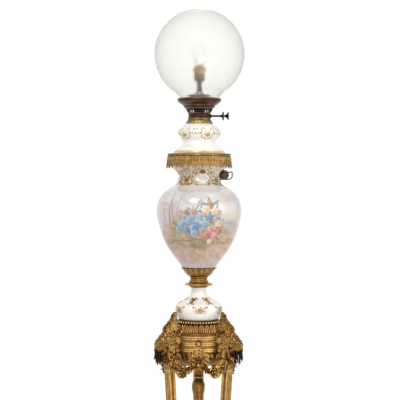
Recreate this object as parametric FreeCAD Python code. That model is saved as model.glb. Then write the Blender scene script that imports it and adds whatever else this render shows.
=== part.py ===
import FreeCAD, Part
import math
import os

# Floor lamp: a gilt-bronze tripod carries a porcelain vase, an oil burner wired
# for a bulb, and a frosted globe.
# Millimetres. +Z is up, the origin is on the floor under the lamp's axis, the
# front looks along -Y and the wick winder points along +X.

# Base: a triangular plinth with hollow sides and blunt corners, and a step on it
plinth_corner_radius = 172.0
plinth_corner_half_width = 34.0
plinth_waist_radius = 72.0
plinth_slab_height = 22.0
plinth_mould_height = 8.0
plinth_inset = 9.0
step_slab_height = 14.0
step_mould_height = 6.0
step_inset = 8.0

# Bolts from below into the hoofs
bolt_radius = 4.0
bolt_head_radius = 7.6
bolt_head_height = 6.0
bolt_recess = 9.0
bolt_grip = 15.6

# Hoofed lower legs
hoof_leg_height = 286.0
hoof_leg_width = 22.0
hoof_leg_thickness = 17.0
hoof_edge_margin = 48.0
hoof_width = 28.0
hoof_length = 34.0
hoof_height = 26.0
hoof_cleft = 3.0

# Fluted legs
leg_height = 421.0
leg_width = 24.0
leg_depth = 13.0
leg_lean_share = 0.065
leg_top_radius = 83.2
flute_radius = 2.4
flute_depth = 1.3
flute_end_margin = 14.0
capital_height = 32.0
capital_width = 31.0
capital_depth = 20.0
capital_lip = 3.0
capital_mould = 5.0
dowel_radius = 3.0
dowel_length = 44.0

# Stretcher between the legs, and the urn on it
stretcher_thickness = 7.0
stretcher_arm_width = 10.0
stretcher_hub_radius = 15.0
stretcher_ring_radius = 30.0
stretcher_ring_width = 8.0
stretcher_pad_margin = 2.5
urn_height = 64.0
urn_radius = 15.0
urn_pin_radius = 4.0

# Ram's heads and the consoles above them
head_height = 48.0
head_block_width = 28.0
head_block_outer_radius = 98.0
snout_reach_radius = 127.0
snout_width = 17.0
horn_curl_radius = 12.5
horn_thickness = 5.0
beard_length = 33.0
beard_width = 15.0
console_height = 50.0
console_width = 28.0
console_top_width = 20.0
console_foot_radius = 111.0
console_tip_radius = 71.0
console_scroll_radius = 6.5
head_screw_radius = 2.5
head_screw_length = 26.0
head_screw_head_radius = 5.0
head_screw_head_height = 3.5

# Bowl: rim with frieze, reeded drum and leaf calyx
bowl_drop = 3.0
bowl_calyx_height = 38.0
bowl_drum_height = 45.0
bowl_rim_height = 34.0
bowl_radius = 64.0
bowl_wall = 5.0
bowl_deck = 6.0
reed_depth = 3.0
rim_top_radius = 54.0
rim_foot_radius = 58.0
bead_radius = 2.4
swag_hook_radius = 4.5
swag_hook_reach = 9.0
swag_hook_drop = 20.0

# Garlands
garland_radius = 6.5
rose_radius = 12.5
rose_depth = 10.0
drop_leaf_radius = 8.5
drop_leaf_length = 34.0

# Drop finial and the rod that clamps the column
finial_length = 98.0
finial_bulge_radius = 15.0
rod_radius = 5.0
rod_clearance = 0.9
rod_grip = 34.0
washer_radius = 17.0
washer_thickness = 3.0
nut_flats_radius = 9.0
nut_height = 8.0
rod_tail = 5.0

# Porcelain foot and ormolu socle
foot_height = 80.0
foot_radius = 59.5
foot_neck_radius = 19.0
foot_wall = 5.0
flange_radius = 34.5
flange_height = 15.0
socle_neck_radius = 23.0
collar_height = 35.0
collar_radius = 43.0

# Vase
vase_height = 294.0
vase_radius = 106.0
vase_wall = 5.0
vase_floor = 8.0

# Gallery band with its leaf fringe, and the cove above it
band_height = 34.0
band_foot_radius = 82.5
band_top_radius = 79.0
band_wall = 2.6
band_flange = 4.0
band_flange_bore = 60.0
fringe_leaf_count = 54
fringe_depth = 8.0
cove_height = 9.0
cove_foot_radius = 77.0
cove_seat_radius = 60.0
cove_bore = 48.0

# Porcelain font cover and the gilt collar on it
cover_height = 68.0
cover_radius = 60.0
cover_wall = 4.5
cover_mouth_radius = 27.0
burner_collar_height = 15.0
burner_collar_foot_radius = 31.0
burner_collar_top_radius = 28.0
burner_collar_lip = 3.0
burner_collar_bore = 20.0

# Burner
burner_base_height = 11.0
burner_base_radius = 28.0
burner_floor = 3.0
thread_clearance = 0.1
thread_length = 10.0
wick_tube_radius = 12.0
wick_tube_wall = 1.5
wick_tube_height = 31.0
basket_height = 14.0
basket_foot_radius = 27.0
basket_top_radius = 34.5
basket_wall = 1.2
basket_slot_count = 36
basket_slot_width = 2.0
basket_slot_margin = 2.0
shade_floor_radius = 39.0
shade_rim_radius = 54.4
shade_gallery_height = 24.0
shade_gallery_wall = 1.6
shade_seat_height = 19.0
shade_seat_inner_radius = 41.0
shade_seat_outer_radius = 49.0

# Winders: a sleeve with a disc, and a shaft with a flared knob inside it
winder_rise = 5.5
sleeve_radius = 2.4
shaft_radius = 1.3
running_clearance = 0.05
sleeve_start = 20.0
sleeve_end = 61.5
disc_radius = 10.5
disc_thickness = 3.8
shaft_start = 14.5
knob_start = 63.0
knob_end = 73.5
knob_radius = 10.5
knob_waist_radius = 3.2
wheel_radius = 4.0
wheel_thickness = 2.0
wheel_tooth_count = 10
bush_radius = 4.6
bush_length = 7.0

# Lampholder, bulb and globe
adaptor_plate_radius = 30.0
adaptor_plate_height = 4.0
adaptor_skirt_radius = 22.0
adaptor_skirt_height = 29.0
adaptor_hub_radius = 11.0
adaptor_hub_height = 9.0
stem_radius = 5.8
stem_height = 19.0
flex_bore_radius = 3.0
holder_radius = 13.75
holder_height = 38.0
holder_wall = 2.4
holder_floor = 6.0
holder_ring_height = 8.0
holder_ring_reach = 2.3
bulb_cap_radius = 11.0
bulb_cap_height = 26.0
bulb_radius = 22.5
bulb_height = 54.0
seat_gap = 0.3
globe_radius = 112.5
globe_wall = 3.0
globe_neck_radius = 46.0
globe_neck_height = 13.0
globe_mouth_radius = 32.0

# Flex, its bush, the hank and the plug
flex_radius = 1.5
flex_bush_radius = 3.4
flex_bush_length = 12.0
flex_bush_flange_radius = 5.0
flex_bush_flange = 2.0
flex_bush_slope_degrees = 45.0
flex_bush_azimuth_degrees = 110.0
hank_run = 60.0
hank_pitch = 3.45
hank_fold_radius = 4.5
hank_turns_across = 3
hank_layers = 4
hank_azimuth_degrees = 75.0
hank_distance = 75.0
hank_shift = 16.0
hank_height = 1234.2
tie_width = 7.0
tie_thickness = 1.0
tie_gap = 0.3
tie_place = -14.0
plug_length = 24.0
plug_radius = 10.0
plug_nose_radius = 4.5
plug_pin_radius = 2.0
plug_pin_length = 14.0
plug_pin_spacing = 11.0

# Cord routes, mm, chosen by hand; the first goes from the bush to the hank and
# the second from the hank to the plug
supply_lead = 8.0
supply_end_lead = 14.0
supply_route = [
    (-20.5, 73.0, 1229.0),
]
plug_start_lead = 12.0
plug_end_lead = 13.5
plug_nose = (59.5, 13.0, 1233.5)
plug_route = [
    (83.0, 52.0, 1226.0),
    (84.0, 38.0, 1231.0),
    (83.3, 22.0, 1237.0),
    (82.6, 9.5, 1240.0),
    (82.1, -0.6, 1240.5),
    (75.6, -7.3, 1239.5),
    (66.4, -7.3, 1236.5),
]

# How far a cut runs past the face that it opens
cut_overrun = 2.0

ORIGIN = FreeCAD.Vector(0, 0, 0)
X_AXIS = FreeCAD.Vector(1, 0, 0)
Y_AXIS = FreeCAD.Vector(0, 1, 0)
Z_AXIS = FreeCAD.Vector(0, 0, 1)
FULL_TURN_DEGREES = 360.0
LEG_NAMES = ("left", "right", "back")
LEG_DEGREES = {"left": -150.0, "right": -30.0, "back": 90.0}
SWAG_DEGREES = {"front": -90.0, "right": 30.0, "left": 150.0}
LEG_PITCH_DEGREES = FULL_TURN_DEGREES / len(LEG_NAMES)

# Heights of the stack, floor to globe
plinth_top = plinth_slab_height + plinth_mould_height
base_top = plinth_top + step_slab_height + step_mould_height
pad_bottom = base_top + hoof_leg_height
leg_bottom = pad_bottom + stretcher_thickness
leg_top = leg_bottom + leg_height
head_bottom = leg_top + capital_height
head_top = head_bottom + head_height
leg_foot_radius = leg_top_radius - leg_lean_share * leg_height
hoof_spread_radius = plinth_corner_radius - hoof_edge_margin
drum_bottom = head_bottom - bowl_drop
bowl_bottom = drum_bottom - bowl_calyx_height
rim_bottom = drum_bottom + bowl_drum_height
foot_bottom = rim_bottom + bowl_rim_height
flange_bottom = foot_bottom + foot_height
collar_bottom = flange_bottom + flange_height
collar_top = collar_bottom + collar_height
vase_bottom = collar_bottom + 0.5 * collar_height
vase_top = vase_bottom + vase_height
band_bottom = vase_top + band_flange - band_height
cove_bottom = vase_top + band_flange
cover_bottom = cove_bottom + cove_height
cover_top = cover_bottom + cover_height
burner_bottom = cover_top + burner_collar_height
basket_bottom = burner_bottom + burner_base_height
gallery_bottom = basket_bottom + basket_height
globe_bottom = gallery_bottom + shade_seat_height + seat_gap
winder_height = burner_bottom + winder_rise
plate_bottom = gallery_bottom + shade_gallery_wall + adaptor_skirt_height
stem_bottom = plate_bottom + adaptor_plate_height + adaptor_hub_height
holder_bottom = stem_bottom + stem_height
holder_top = holder_bottom + holder_height
holder_floor_top = holder_bottom + 0.2 * holder_height + holder_floor
bulb_cap_bottom = holder_top - 0.75 * bulb_cap_height
bulb_bottom = bulb_cap_bottom + bulb_cap_height
globe_drop = math.sqrt(globe_radius**2 - globe_neck_radius**2)
globe_centre = globe_bottom + globe_neck_height + globe_drop


def vec(x, y, z):
    return FreeCAD.Vector(x, y, z)


def turned_about(shape, degrees):
    """A copy of the shape, turned about the lamp's axis."""
    copy = shape.copy()
    copy.rotate(ORIGIN, Z_AXIS, degrees)
    return copy


def turned(stretches):
    """Solid of revolution. A stretch of one (radius, height) pair is a corner, and
    a longer one is a smooth curve through its pairs; straight lines join them."""
    edges = []
    start = stretches[0][0]
    last = None
    for stretch in stretches:
        points = [vec(radius, 0, height) for radius, height in stretch]
        if last is not None:
            edges.append(Part.LineSegment(last, points[0]).toShape())
        if len(points) > 1:
            curve = Part.BSplineCurve()
            curve.interpolate(points)
            edges.append(curve.toShape())
        last = points[-1]
    edges.append(Part.LineSegment(last, vec(start[0], 0, start[1])).toShape())
    face = Part.Face(Part.Wire(edges))
    return face.revolve(ORIGIN, Z_AXIS, FULL_TURN_DEGREES)


def corners(points):
    """Stretches of one corner each, for a straight-sided outline."""
    return [[point] for point in points]


def scaled(shares, radius, bottom, height):
    """An outline's (radius, height) pairs from shares of a radius and a height."""
    return [(radius * r, bottom + height * h) for r, h in shares]


def drum(radius, bottom, height):
    return Part.makeCylinder(radius, height, vec(0, 0, bottom))


def tube(outer, inner, bottom, height):
    return drum(outer, bottom, height).cut(drum(inner, bottom, height))


def block(length, width, bottom, height, centre):
    """A box centred on the X axis at a distance from the lamp's axis."""
    corner = vec(centre - 0.5 * length, -0.5 * width, bottom)
    return Part.makeBox(length, width, height, corner)


def side_profile(points, width):
    """A plate from an outline in the X-Z plane, centred across Y."""
    wire = Part.makePolygon([vec(x, -0.5 * width, z) for x, z in points + points[:1]])
    return Part.Face(wire).extrude(vec(0, width, 0))


def triangle_wire(corner_radius, half_width, waist, height):
    """A triangle with blunt corners and hollow sides, at a height."""
    edges = []
    for name in LEG_NAMES:
        turn = LEG_DEGREES[name]
        ends = []
        for side in (-1, 1):
            corner = turned_about(Part.Vertex(corner_radius, side * half_width, height), turn)
            ends.append(corner.Point)
        edges.append(Part.LineSegment(ends[0], ends[1]).toShape())
        middle = turned_about(Part.Vertex(waist, 0, height), turn + 0.5 * LEG_PITCH_DEGREES).Point
        following = Part.Vertex(corner_radius, -half_width, height)
        next_end = turned_about(following, turn + LEG_PITCH_DEGREES).Point
        edges.append(Part.Arc(ends[1], middle, next_end).toShape())
    return Part.Wire(edges)


# How much an inset draws in the corners, the corners' width and the hollow sides
INSET_SHARES = (1.0, 0.4, 1.0)


def triangle_slab(inset, bottom, slab, mould, next_inset):
    """A slab with an upright side, and a sloped mould above it."""
    outline = (plinth_corner_radius, plinth_corner_half_width, plinth_waist_radius)
    lower = [size - share * inset for size, share in zip(outline, INSET_SHARES)]
    upper = [size - share * next_inset for size, share in zip(outline, INSET_SHARES)]
    side = Part.Face(triangle_wire(*lower, bottom)).extrude(vec(0, 0, slab))
    rings = [triangle_wire(*lower, bottom + slab), triangle_wire(*upper, bottom + slab + mould)]
    return side.fuse(Part.makeLoft(rings, True, True)).removeSplitter()


def base_bolt_cut(radius, bottom, height):
    """One upright hole at each hoof."""
    hole = Part.makeCylinder(radius, height, vec(hoof_spread_radius, 0, bottom))
    return [turned_about(hole, LEG_DEGREES[name]) for name in LEG_NAMES]


bolt_bottom = bolt_recess - bolt_head_height
bolt_length = base_top + bolt_grip - bolt_bottom


def base_plinth():
    slab = triangle_slab(0, 0, plinth_slab_height, plinth_mould_height, plinth_inset)
    recesses = base_bolt_cut(bolt_head_radius + rod_clearance, 0, bolt_recess)
    holes = base_bolt_cut(bolt_radius + rod_clearance, 0, plinth_top)
    return slab.cut(recesses + holes)


def base_step():
    inset = plinth_inset + step_inset
    slab = triangle_slab(inset, plinth_top, step_slab_height, step_mould_height, inset + step_inset)
    return slab.cut(base_bolt_cut(bolt_radius + rod_clearance, plinth_top, base_top))


def base_bolts():
    """One bolt from below into each hoof, its head in the plinth's recess."""
    head = drum(bolt_head_radius, bolt_bottom, bolt_head_height)
    shank = drum(bolt_radius, bolt_bottom, bolt_length)
    bolt = head.fuse(shank)
    bolt.translate(vec(hoof_spread_radius, 0, 0))
    return Part.makeCompound([turned_about(bolt, LEG_DEGREES[name]) for name in LEG_NAMES])


# How far up the hoof the leg's foot stands in it
HOOF_SEAT_SHARE = 0.93

# Where the hoofed leg's middle line runs: shares of the way from the stretcher
# out to the hoof, at shares of the leg's height above its foot, with shares of its
# thickness
HOOF_LEG_SHARES = [
    (0.00, 1.000, 1.00),
    (0.00, 0.924, 1.00),
    (0.06, 0.760, 1.08),
    (0.20, 0.563, 1.02),
    (0.44, 0.377, 0.88),
    (0.70, 0.213, 0.76),
    (0.90, 0.082, 0.70),
    (0.97, 0.000, 0.84),
]


def hoof_leg():
    """A curved leg that swings out to a cloven hoof."""
    reach = hoof_spread_radius - leg_foot_radius
    foot = base_top + HOOF_SEAT_SHARE * hoof_height
    outer, inner = [], []
    for way, rise, thick in HOOF_LEG_SHARES:
        middle = leg_foot_radius + way * reach
        height = foot + rise * (pad_bottom - foot)
        half = 0.5 * thick * hoof_leg_thickness
        outer.append(vec(middle + half, -0.5 * hoof_leg_width, height))
        inner.append(vec(middle - half, -0.5 * hoof_leg_width, height))
    curves = []
    for points in (outer, inner):
        curve = Part.BSplineCurve()
        curve.interpolate(points)
        curves.append(curve.toShape())
    top_edge = Part.LineSegment(outer[0], inner[0]).toShape()
    foot_edge = Part.LineSegment(outer[-1], inner[-1]).toShape()
    wire = Part.Wire([curves[0], foot_edge, curves[1], top_edge])
    leg = Part.Face(wire).extrude(vec(0, hoof_leg_width, 0))
    toe = hoof_spread_radius + 0.5 * hoof_length
    heel = hoof_spread_radius - 0.5 * hoof_length
    top = base_top + hoof_height
    slope = 0.25 * hoof_length
    outline = [(heel, base_top), (toe, base_top), (toe - slope, top), (heel + 0.5 * slope, top)]
    hoof = side_profile(outline, hoof_width)
    cleft = block(slope + cut_overrun, hoof_cleft, base_top, hoof_height, toe)
    pad_foot = pad_bottom - stretcher_thickness
    pad = block(hoof_leg_thickness, leg_width, pad_foot, stretcher_thickness, leg_foot_radius)
    solid = leg.fuse([hoof.cut(cleft), pad]).removeSplitter()
    bolt_hole = drum(bolt_radius + running_clearance, bolt_bottom, bolt_length)
    bolt_hole.translate(vec(hoof_spread_radius, 0, 0))
    return solid.cut([bolt_hole, dowel_hole()])


def dowel_solid(radius):
    """An upright pin through leg, stretcher pad and hoofed leg."""
    bottom = pad_bottom + 0.5 * stretcher_thickness - 0.5 * dowel_length
    pin = drum(radius, bottom, dowel_length)
    pin.translate(vec(leg_foot_radius, 0, 0))
    return pin


def dowel_hole():
    return dowel_solid(dowel_radius + running_clearance)


def leg_dowels():
    pin = dowel_solid(dowel_radius)
    return Part.makeCompound([turned_about(pin, LEG_DEGREES[name]) for name in LEG_NAMES])


def fluted_leg():
    """A leaning shaft with upright flutes, and a stepped capital on top."""
    half_depth = 0.5 * leg_depth
    half_width = 0.5 * leg_width
    signs = [(-1, -1), (1, -1), (1, 1), (-1, 1)]
    points = [vec(leg_foot_radius + a * half_depth, b * half_width, leg_bottom) for a, b in signs]
    lean = vec(leg_lean_share * leg_height, 0, leg_height)
    shaft = Part.Face(Part.makePolygon(points + points[:1])).extrude(lean)
    axis = vec(leg_lean_share, 0, 1)
    start = leg_bottom + flute_end_margin
    length = leg_height - 2 * flute_end_margin
    offset = flute_radius - flute_depth
    places = []
    for side in (-1, 1):
        places += [(side * (half_depth + offset), row * leg_width / 3) for row in (-1, 0, 1)]
        places.append((0, side * (half_width + offset)))
    flutes = []
    for x, y in places:
        centre = leg_foot_radius + x + leg_lean_share * flute_end_margin
        flutes.append(Part.makeCylinder(flute_radius, length, vec(centre, y, start), axis))
    shaft = shaft.cut(flutes)
    neck_depth = leg_depth + capital_lip
    neck_width = leg_width + capital_lip
    neck = block(neck_depth, neck_width, leg_top, capital_mould, leg_top_radius)
    body_bottom = leg_top + capital_mould
    body_height = capital_height - 2 * capital_mould
    body = block(leg_depth, leg_width, body_bottom, body_height, leg_top_radius)
    cap_bottom = head_bottom - capital_mould
    cap = block(capital_depth, capital_width, cap_bottom, capital_mould, leg_top_radius)
    return shaft.fuse([neck, body, cap]).removeSplitter().cut(dowel_hole())


def stretcher():
    """Three arms with a ring and a hub, and a pad at the end of each arm."""
    pad_depth = leg_depth + 2 * stretcher_pad_margin
    pad = block(pad_depth, leg_width, pad_bottom, stretcher_thickness, leg_foot_radius)
    arm_end = leg_foot_radius - 0.5 * leg_depth
    arm = block(arm_end, stretcher_arm_width, pad_bottom, stretcher_thickness, 0.5 * arm_end)
    arms = [turned_about(arm.fuse(pad), LEG_DEGREES[name]) for name in LEG_NAMES]
    ring_outer = stretcher_ring_radius + 0.5 * stretcher_ring_width
    ring = tube(ring_outer, ring_outer - stretcher_ring_width, pad_bottom, stretcher_thickness)
    hub = drum(stretcher_hub_radius, pad_bottom, stretcher_thickness)
    solid = hub.fuse(arms + [ring]).removeSplitter()
    holes = [turned_about(dowel_hole(), LEG_DEGREES[name]) for name in LEG_NAMES]
    pin_hole = drum(urn_pin_radius + running_clearance, pad_bottom, stretcher_thickness)
    return solid.cut(holes + [pin_hole])


# The urn from its foot to its bud, as shares of its radius and height
URN_SHARES = [
    (0.70, 0.10), (0.36, 0.20), (0.46, 0.28), (0.86, 0.40), (1.00, 0.54), (0.92, 0.62),
]
URN_LID_SHARES = [(0.66, 0.68), (0.52, 0.76), (0.18, 0.84), (0.22, 0.90), (0.10, 0.98)]


def stretcher_urn():
    """A small covered urn whose pin goes down into the stretcher's hub."""
    foot = scaled([(0.80, 0.0), (0.80, 0.06)], urn_radius, leg_bottom, urn_height)
    body = scaled(URN_SHARES, urn_radius, leg_bottom, urn_height)
    lid = scaled(URN_LID_SHARES, urn_radius, leg_bottom, urn_height)
    pin = [(0, leg_bottom - stretcher_thickness), (urn_pin_radius, leg_bottom - stretcher_thickness)]
    outline = corners(pin + [(urn_pin_radius, leg_bottom)] + foot) + [body, lid]
    return turned(outline + corners([(0, leg_bottom + urn_height)]))


# Outlines of the bowl's outer side, as shares of its radius and of each piece
DRUM_SHARES = [(0.955, 0.0), (1.0, 0.08), (1.0, 0.92), (0.94, 1.0)]
CALYX_SHARES = [(0.20, 0.0), (0.42, 0.05), (0.68, 0.22), (0.86, 0.52), (0.935, 0.82), (0.955, 1.0)]
CALYX_HOLLOW_SHARES = [(0.46, 0.0), (0.70, 0.25), (0.82, 0.62), (0.87, 1.0)]
FRIEZE_SHARES = [(1.0, 0.0), (0.93, 0.35), (0.885, 0.75), (0.87, 1.0)]


def bowl_rim_outline():
    """Outer side of the rim from its foot to the deck."""
    bead = 2 * bead_radius
    frieze_height = bowl_rim_height - 2.5 * bead
    frieze = scaled(FRIEZE_SHARES, rim_foot_radius, rim_bottom + bead, frieze_height)
    foot = [
        (rim_foot_radius, rim_bottom),
        (rim_foot_radius + bead_radius, rim_bottom + bead_radius),
    ]
    lip = [
        (rim_top_radius, foot_bottom - 1.5 * bead),
        (rim_top_radius + 0.5 * bead_radius, foot_bottom - bead),
        (rim_top_radius, foot_bottom - 0.5 * bead),
        (0.94 * rim_top_radius, foot_bottom),
    ]
    return corners(foot) + [frieze] + corners(lip)


def bowl_solids():
    """The bowl's three pieces as filled shapes, which other pieces seat against."""
    calyx = scaled(CALYX_SHARES, bowl_radius, bowl_bottom, bowl_calyx_height)
    side = scaled(DRUM_SHARES, bowl_radius, drum_bottom, bowl_drum_height)
    return {
        "calyx": turned(corners([(0, bowl_bottom)]) + [calyx] + corners([(0, drum_bottom)])),
        "drum": turned(corners([(0, drum_bottom)] + side + [(0, rim_bottom)])),
        "rim": turned(corners([(0, rim_bottom)]) + bowl_rim_outline() + corners([(0, foot_bottom)])),
    }


def rod_hole(bottom, top):
    return drum(rod_radius + rod_clearance, bottom, top - bottom)


def bowl_rim(filled):
    """Ring with a deck that the porcelain foot stands on."""
    hollow = drum(rim_foot_radius - 2 * bowl_wall, rim_bottom, bowl_rim_height - bowl_deck)
    return filled.cut([hollow, rod_hole(foot_bottom - bowl_deck, foot_bottom)])


def head_screw_solid(radius, head_radius, height):
    """A screw from inside the drum, outwards into a ram's head."""
    seat = bowl_radius - bowl_wall
    shank = Part.makeCylinder(radius, head_screw_length, vec(seat, 0, height), X_AXIS)
    head_start = vec(seat - head_screw_head_height, 0, height)
    return shank.fuse(Part.makeCylinder(head_radius, head_screw_head_height, head_start, X_AXIS))


def head_screw_heights():
    middle = 0.5 * (head_bottom + rim_bottom)
    spread = 0.25 * bowl_drum_height
    return (middle - spread, middle + spread)


def screw_solids(radius, head_radius):
    upright = [head_screw_solid(radius, head_radius, height) for height in head_screw_heights()]
    return [turned_about(screw, LEG_DEGREES[name]) for name in LEG_NAMES for screw in upright]


def head_screws():
    return Part.makeCompound(screw_solids(head_screw_radius, head_screw_head_radius))


def head_screw_holes():
    radius = head_screw_radius + running_clearance
    return screw_solids(radius, head_screw_head_radius + running_clearance)


def bowl_drum(filled):
    """Reeded wall: two grooves part three broad reeds."""
    hollow = drum(bowl_radius - bowl_wall, drum_bottom, bowl_drum_height)
    grooves = []
    for share in (1 / 3, 2 / 3):
        height = drum_bottom + share * bowl_drum_height
        grooves.append(Part.makeTorus(bowl_radius + 0.4 * reed_depth, reed_depth, vec(0, 0, height)))
    return filled.cut([hollow] + grooves + head_screw_holes() + swag_hook_pins())


def bowl_calyx(filled):
    """Round underside, hollow above its floor, bored for the rod."""
    floor = bowl_bottom + 2 * bowl_wall
    inner = scaled(CALYX_HOLLOW_SHARES, bowl_radius, floor, drum_bottom - floor)
    hollow = turned(corners([(0, floor)]) + [inner] + corners([(0, drum_bottom)]))
    return filled.cut([hollow, rod_hole(bowl_bottom, floor)])


# A ram's head seen from the side: shares of the reach from the block's outer side
# to the snout's tip, and of the head's height
FACE_SHARES = [
    (-0.10, 0.12), (0.10, 0.10), (0.62, 0.07), (0.93, 0.12), (1.00, 0.26), (0.97, 0.44),
    (0.78, 0.58), (0.45, 0.76), (0.18, 0.90), (-0.10, 0.94),
]
BEARD_SHARES = [
    (0.22, 0.25), (0.18, -0.45), (0.30, -0.70), (0.38, -0.62), (0.52, -0.82), (0.62, -0.55),
    (0.72, -0.60), (0.80, 0.25),
]


def ram_head(seats):
    """Block with the face, two curled horns and the beard, seated on the bowl."""
    reach = snout_reach_radius - head_block_outer_radius
    inner = bowl_radius - bowl_wall
    length = head_block_outer_radius - inner
    neck = block(length, head_block_width, head_bottom, head_height, inner + 0.5 * length)
    pieces = []
    for shares, height, width in ((FACE_SHARES, head_height, snout_width),
                                  (BEARD_SHARES, beard_length, beard_width)):
        side = [(head_block_outer_radius + x * reach, head_bottom + z * height) for x, z in shares]
        pieces.append(side_profile(side, width))
    centre = head_block_outer_radius - 1.5 * horn_curl_radius
    height = head_bottom + 0.46 * head_height
    for side in (-1, 1):
        curl = vec(centre, side * (0.5 * head_block_width + 0.6 * horn_thickness), height)
        pieces.append(Part.makeTorus(horn_curl_radius, horn_thickness, curl, Y_AXIS))
        pieces.append(Part.makeSphere(horn_thickness, curl))
    return neck.fuse(pieces).removeSplitter().cut(seats)


# A console seen from the side: shares of the way from its tip out to its foot,
# and of its height
CONSOLE_SHARES = [
    (-0.28, 0.0), (1.0, 0.0), (1.02, 0.12), (0.80, 0.26), (0.62, 0.42), (0.46, 0.60), (0.28, 0.78),
    (0.06, 0.90), (-0.10, 0.86), (-0.13, 0.60), (-0.24, 0.34),
]


def console(seats):
    """Leaning bracket that ends in a small scroll by the porcelain foot."""
    way = console_foot_radius - console_tip_radius
    side = [(console_tip_radius + x * way, head_top + z * console_height) for x, z in CONSOLE_SHARES]
    plate = side_profile(side, console_top_width)
    foot_height = 0.12 * console_height
    foot_middle = console_tip_radius + 0.40 * way
    foot = block(1.24 * way, console_width, head_top, foot_height, foot_middle)
    scroll_height = head_top + console_height - console_scroll_radius
    scroll_end = vec(console_tip_radius, -0.5 * console_top_width, scroll_height)
    scroll = Part.makeCylinder(console_scroll_radius, console_top_width, scroll_end, Y_AXIS)
    return plate.fuse([foot, scroll]).removeSplitter().cut(seats)


def swag_hook_solid(radius):
    """A knob with a pin, outwards from the drum at the middle of a garland."""
    height = rim_bottom - swag_hook_drop
    wall = bowl_radius - bowl_wall
    pin = Part.makeCylinder(0.5 * radius, bowl_wall + swag_hook_reach, vec(wall, 0, height), X_AXIS)
    knob = Part.makeSphere(radius, vec(bowl_radius + swag_hook_reach, 0, height))
    return pin, knob


def swag_hook_pins():
    pin, knob = swag_hook_solid(swag_hook_radius + 2 * running_clearance)
    return [turned_about(pin, angle) for angle in SWAG_DEGREES.values()]


def swag_hooks():
    pin, knob = swag_hook_solid(swag_hook_radius)
    hook = pin.fuse(knob)
    return Part.makeCompound([turned_about(hook, angle) for angle in SWAG_DEGREES.values()])


def rounded_route(points):
    """Straight runs joined by tangent arcs. Each arc's radius is 0.45 of its
    shorter run over the tangent of half the turn. Returns the wire, its length
    and the radii."""
    places = [vec(*point) for point in points]
    edges = []
    radii = []
    start = places[0]
    for before, corner, after in zip(places, places[1:], places[2:]):
        come = corner - before
        go = after - corner
        setback = 0.45 * min(come.Length, go.Length)
        half_turn = 0.5 * come.getAngle(go)
        radius = setback / math.tan(half_turn)
        come.normalize()
        go.normalize()
        arc_start = corner - come * setback
        arc_end = corner + go * setback
        bisector = go - come
        bisector.normalize()
        depth = radius * (1 / math.cos(half_turn) - 1)
        edges.append(Part.LineSegment(start, arc_start).toShape())
        edges.append(Part.Arc(arc_start, corner + bisector * depth, arc_end).toShape())
        radii.append(radius)
        start = arc_end
    edges.append(Part.LineSegment(start, places[-1]).toShape())
    wire = Part.Wire(edges)
    return wire, wire.Length, radii


def swept(wire, radius):
    """Round tube along a wire, closed at both ends."""
    first = wire.Edges[0]
    start = first.valueAt(first.FirstParameter)
    ahead = first.tangentAt(first.FirstParameter)
    ring = Part.Wire(Part.Circle(start, ahead, radius).toShape())
    shell = Part.BRepOffsetAPI.MakePipeShell(wire)
    shell.add(ring)
    shell.build()
    shell.makeSolid()
    return shell.shape()


# Half a garland, from the knob out to the ram's head: shares of the leg's radius
# outwards from the lamp's axis and sideways, and of the bowl's height downwards
# from the head's foot
SWAG_SHARES = [
    (0.817, 0.05, -0.17), (0.830, 0.24, -0.325), (0.823, 0.463, -0.40), (0.780, 0.66, -0.34),
    (0.720, 0.78, -0.155), (0.673, 0.805, 0.05),
]


def garland_places(side):
    drop = foot_bottom - bowl_bottom
    places = []
    for out, across, up in SWAG_SHARES:
        height = head_bottom + up * drop
        places.append((out * leg_top_radius, side * across * leg_top_radius, height))
    return places


def swag(seats):
    """Two garlands that meet at the knob, a rose on each and a leaf drop between."""
    pieces = []
    for side in (-1, 1):
        places = garland_places(side)
        wire, length, radii = rounded_route(places)
        pieces.append(swept(wire, garland_radius))
        out, across, height = places[2]
        heart = vec(out - 0.5 * rose_depth, across, height)
        pieces.append(Part.makeCone(0.7 * rose_radius, rose_radius, rose_depth, heart, X_AXIS))
        pieces.append(Part.makeSphere(0.55 * rose_radius, heart + vec(rose_depth, 0, 0)))
    out = garland_places(1)[0][0]
    knob_height = rim_bottom - swag_hook_drop
    leaf_top = head_bottom - 0.35 * drop_leaf_length
    stem_length = knob_height - swag_hook_radius - leaf_top
    stem_foot = vec(out, 0, leaf_top)
    pieces.append(Part.makeCylinder(0.45 * drop_leaf_radius, stem_length, stem_foot))
    leaf_foot = vec(out, 0, leaf_top - drop_leaf_length)
    tip_radius = 0.3 * drop_leaf_radius
    pieces.append(Part.makeCone(tip_radius, drop_leaf_radius, drop_leaf_length, leaf_foot))
    solid = pieces[0].fuse(pieces[1:])
    return solid.cut(seats)


# The drop finial as shares of its bulge's radius and of its length, top to tip
FINIAL_SHARES = [
    (0.72, 0.0), (0.78, -0.06), (0.62, -0.13), (0.60, -0.20), (0.78, -0.27), (0.58, -0.33),
    (0.84, -0.40), (1.00, -0.50), (0.94, -0.62), (0.74, -0.76), (0.50, -0.90), (0.20, -0.99),
]


def drop_finial():
    """Leaf-wrapped drop under the bowl, tapped for the rod's lower end."""
    side = scaled(FINIAL_SHARES, finial_bulge_radius, bowl_bottom, finial_length)
    body = turned(corners([(0, bowl_bottom)]) + [side] + corners([(0, bowl_bottom - finial_length)]))
    bore = drum(rod_radius + running_clearance, bowl_bottom - rod_grip, rod_grip)
    return body.cut(bore)


nut_bottom = vase_bottom + vase_floor + washer_thickness


def tie_rod():
    bottom = bowl_bottom - rod_grip
    top = nut_bottom + nut_height + rod_tail
    return drum(rod_radius, bottom, top - bottom)


def rod_washer():
    return tube(washer_radius, rod_radius + rod_clearance, nut_bottom - washer_thickness, washer_thickness)


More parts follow.
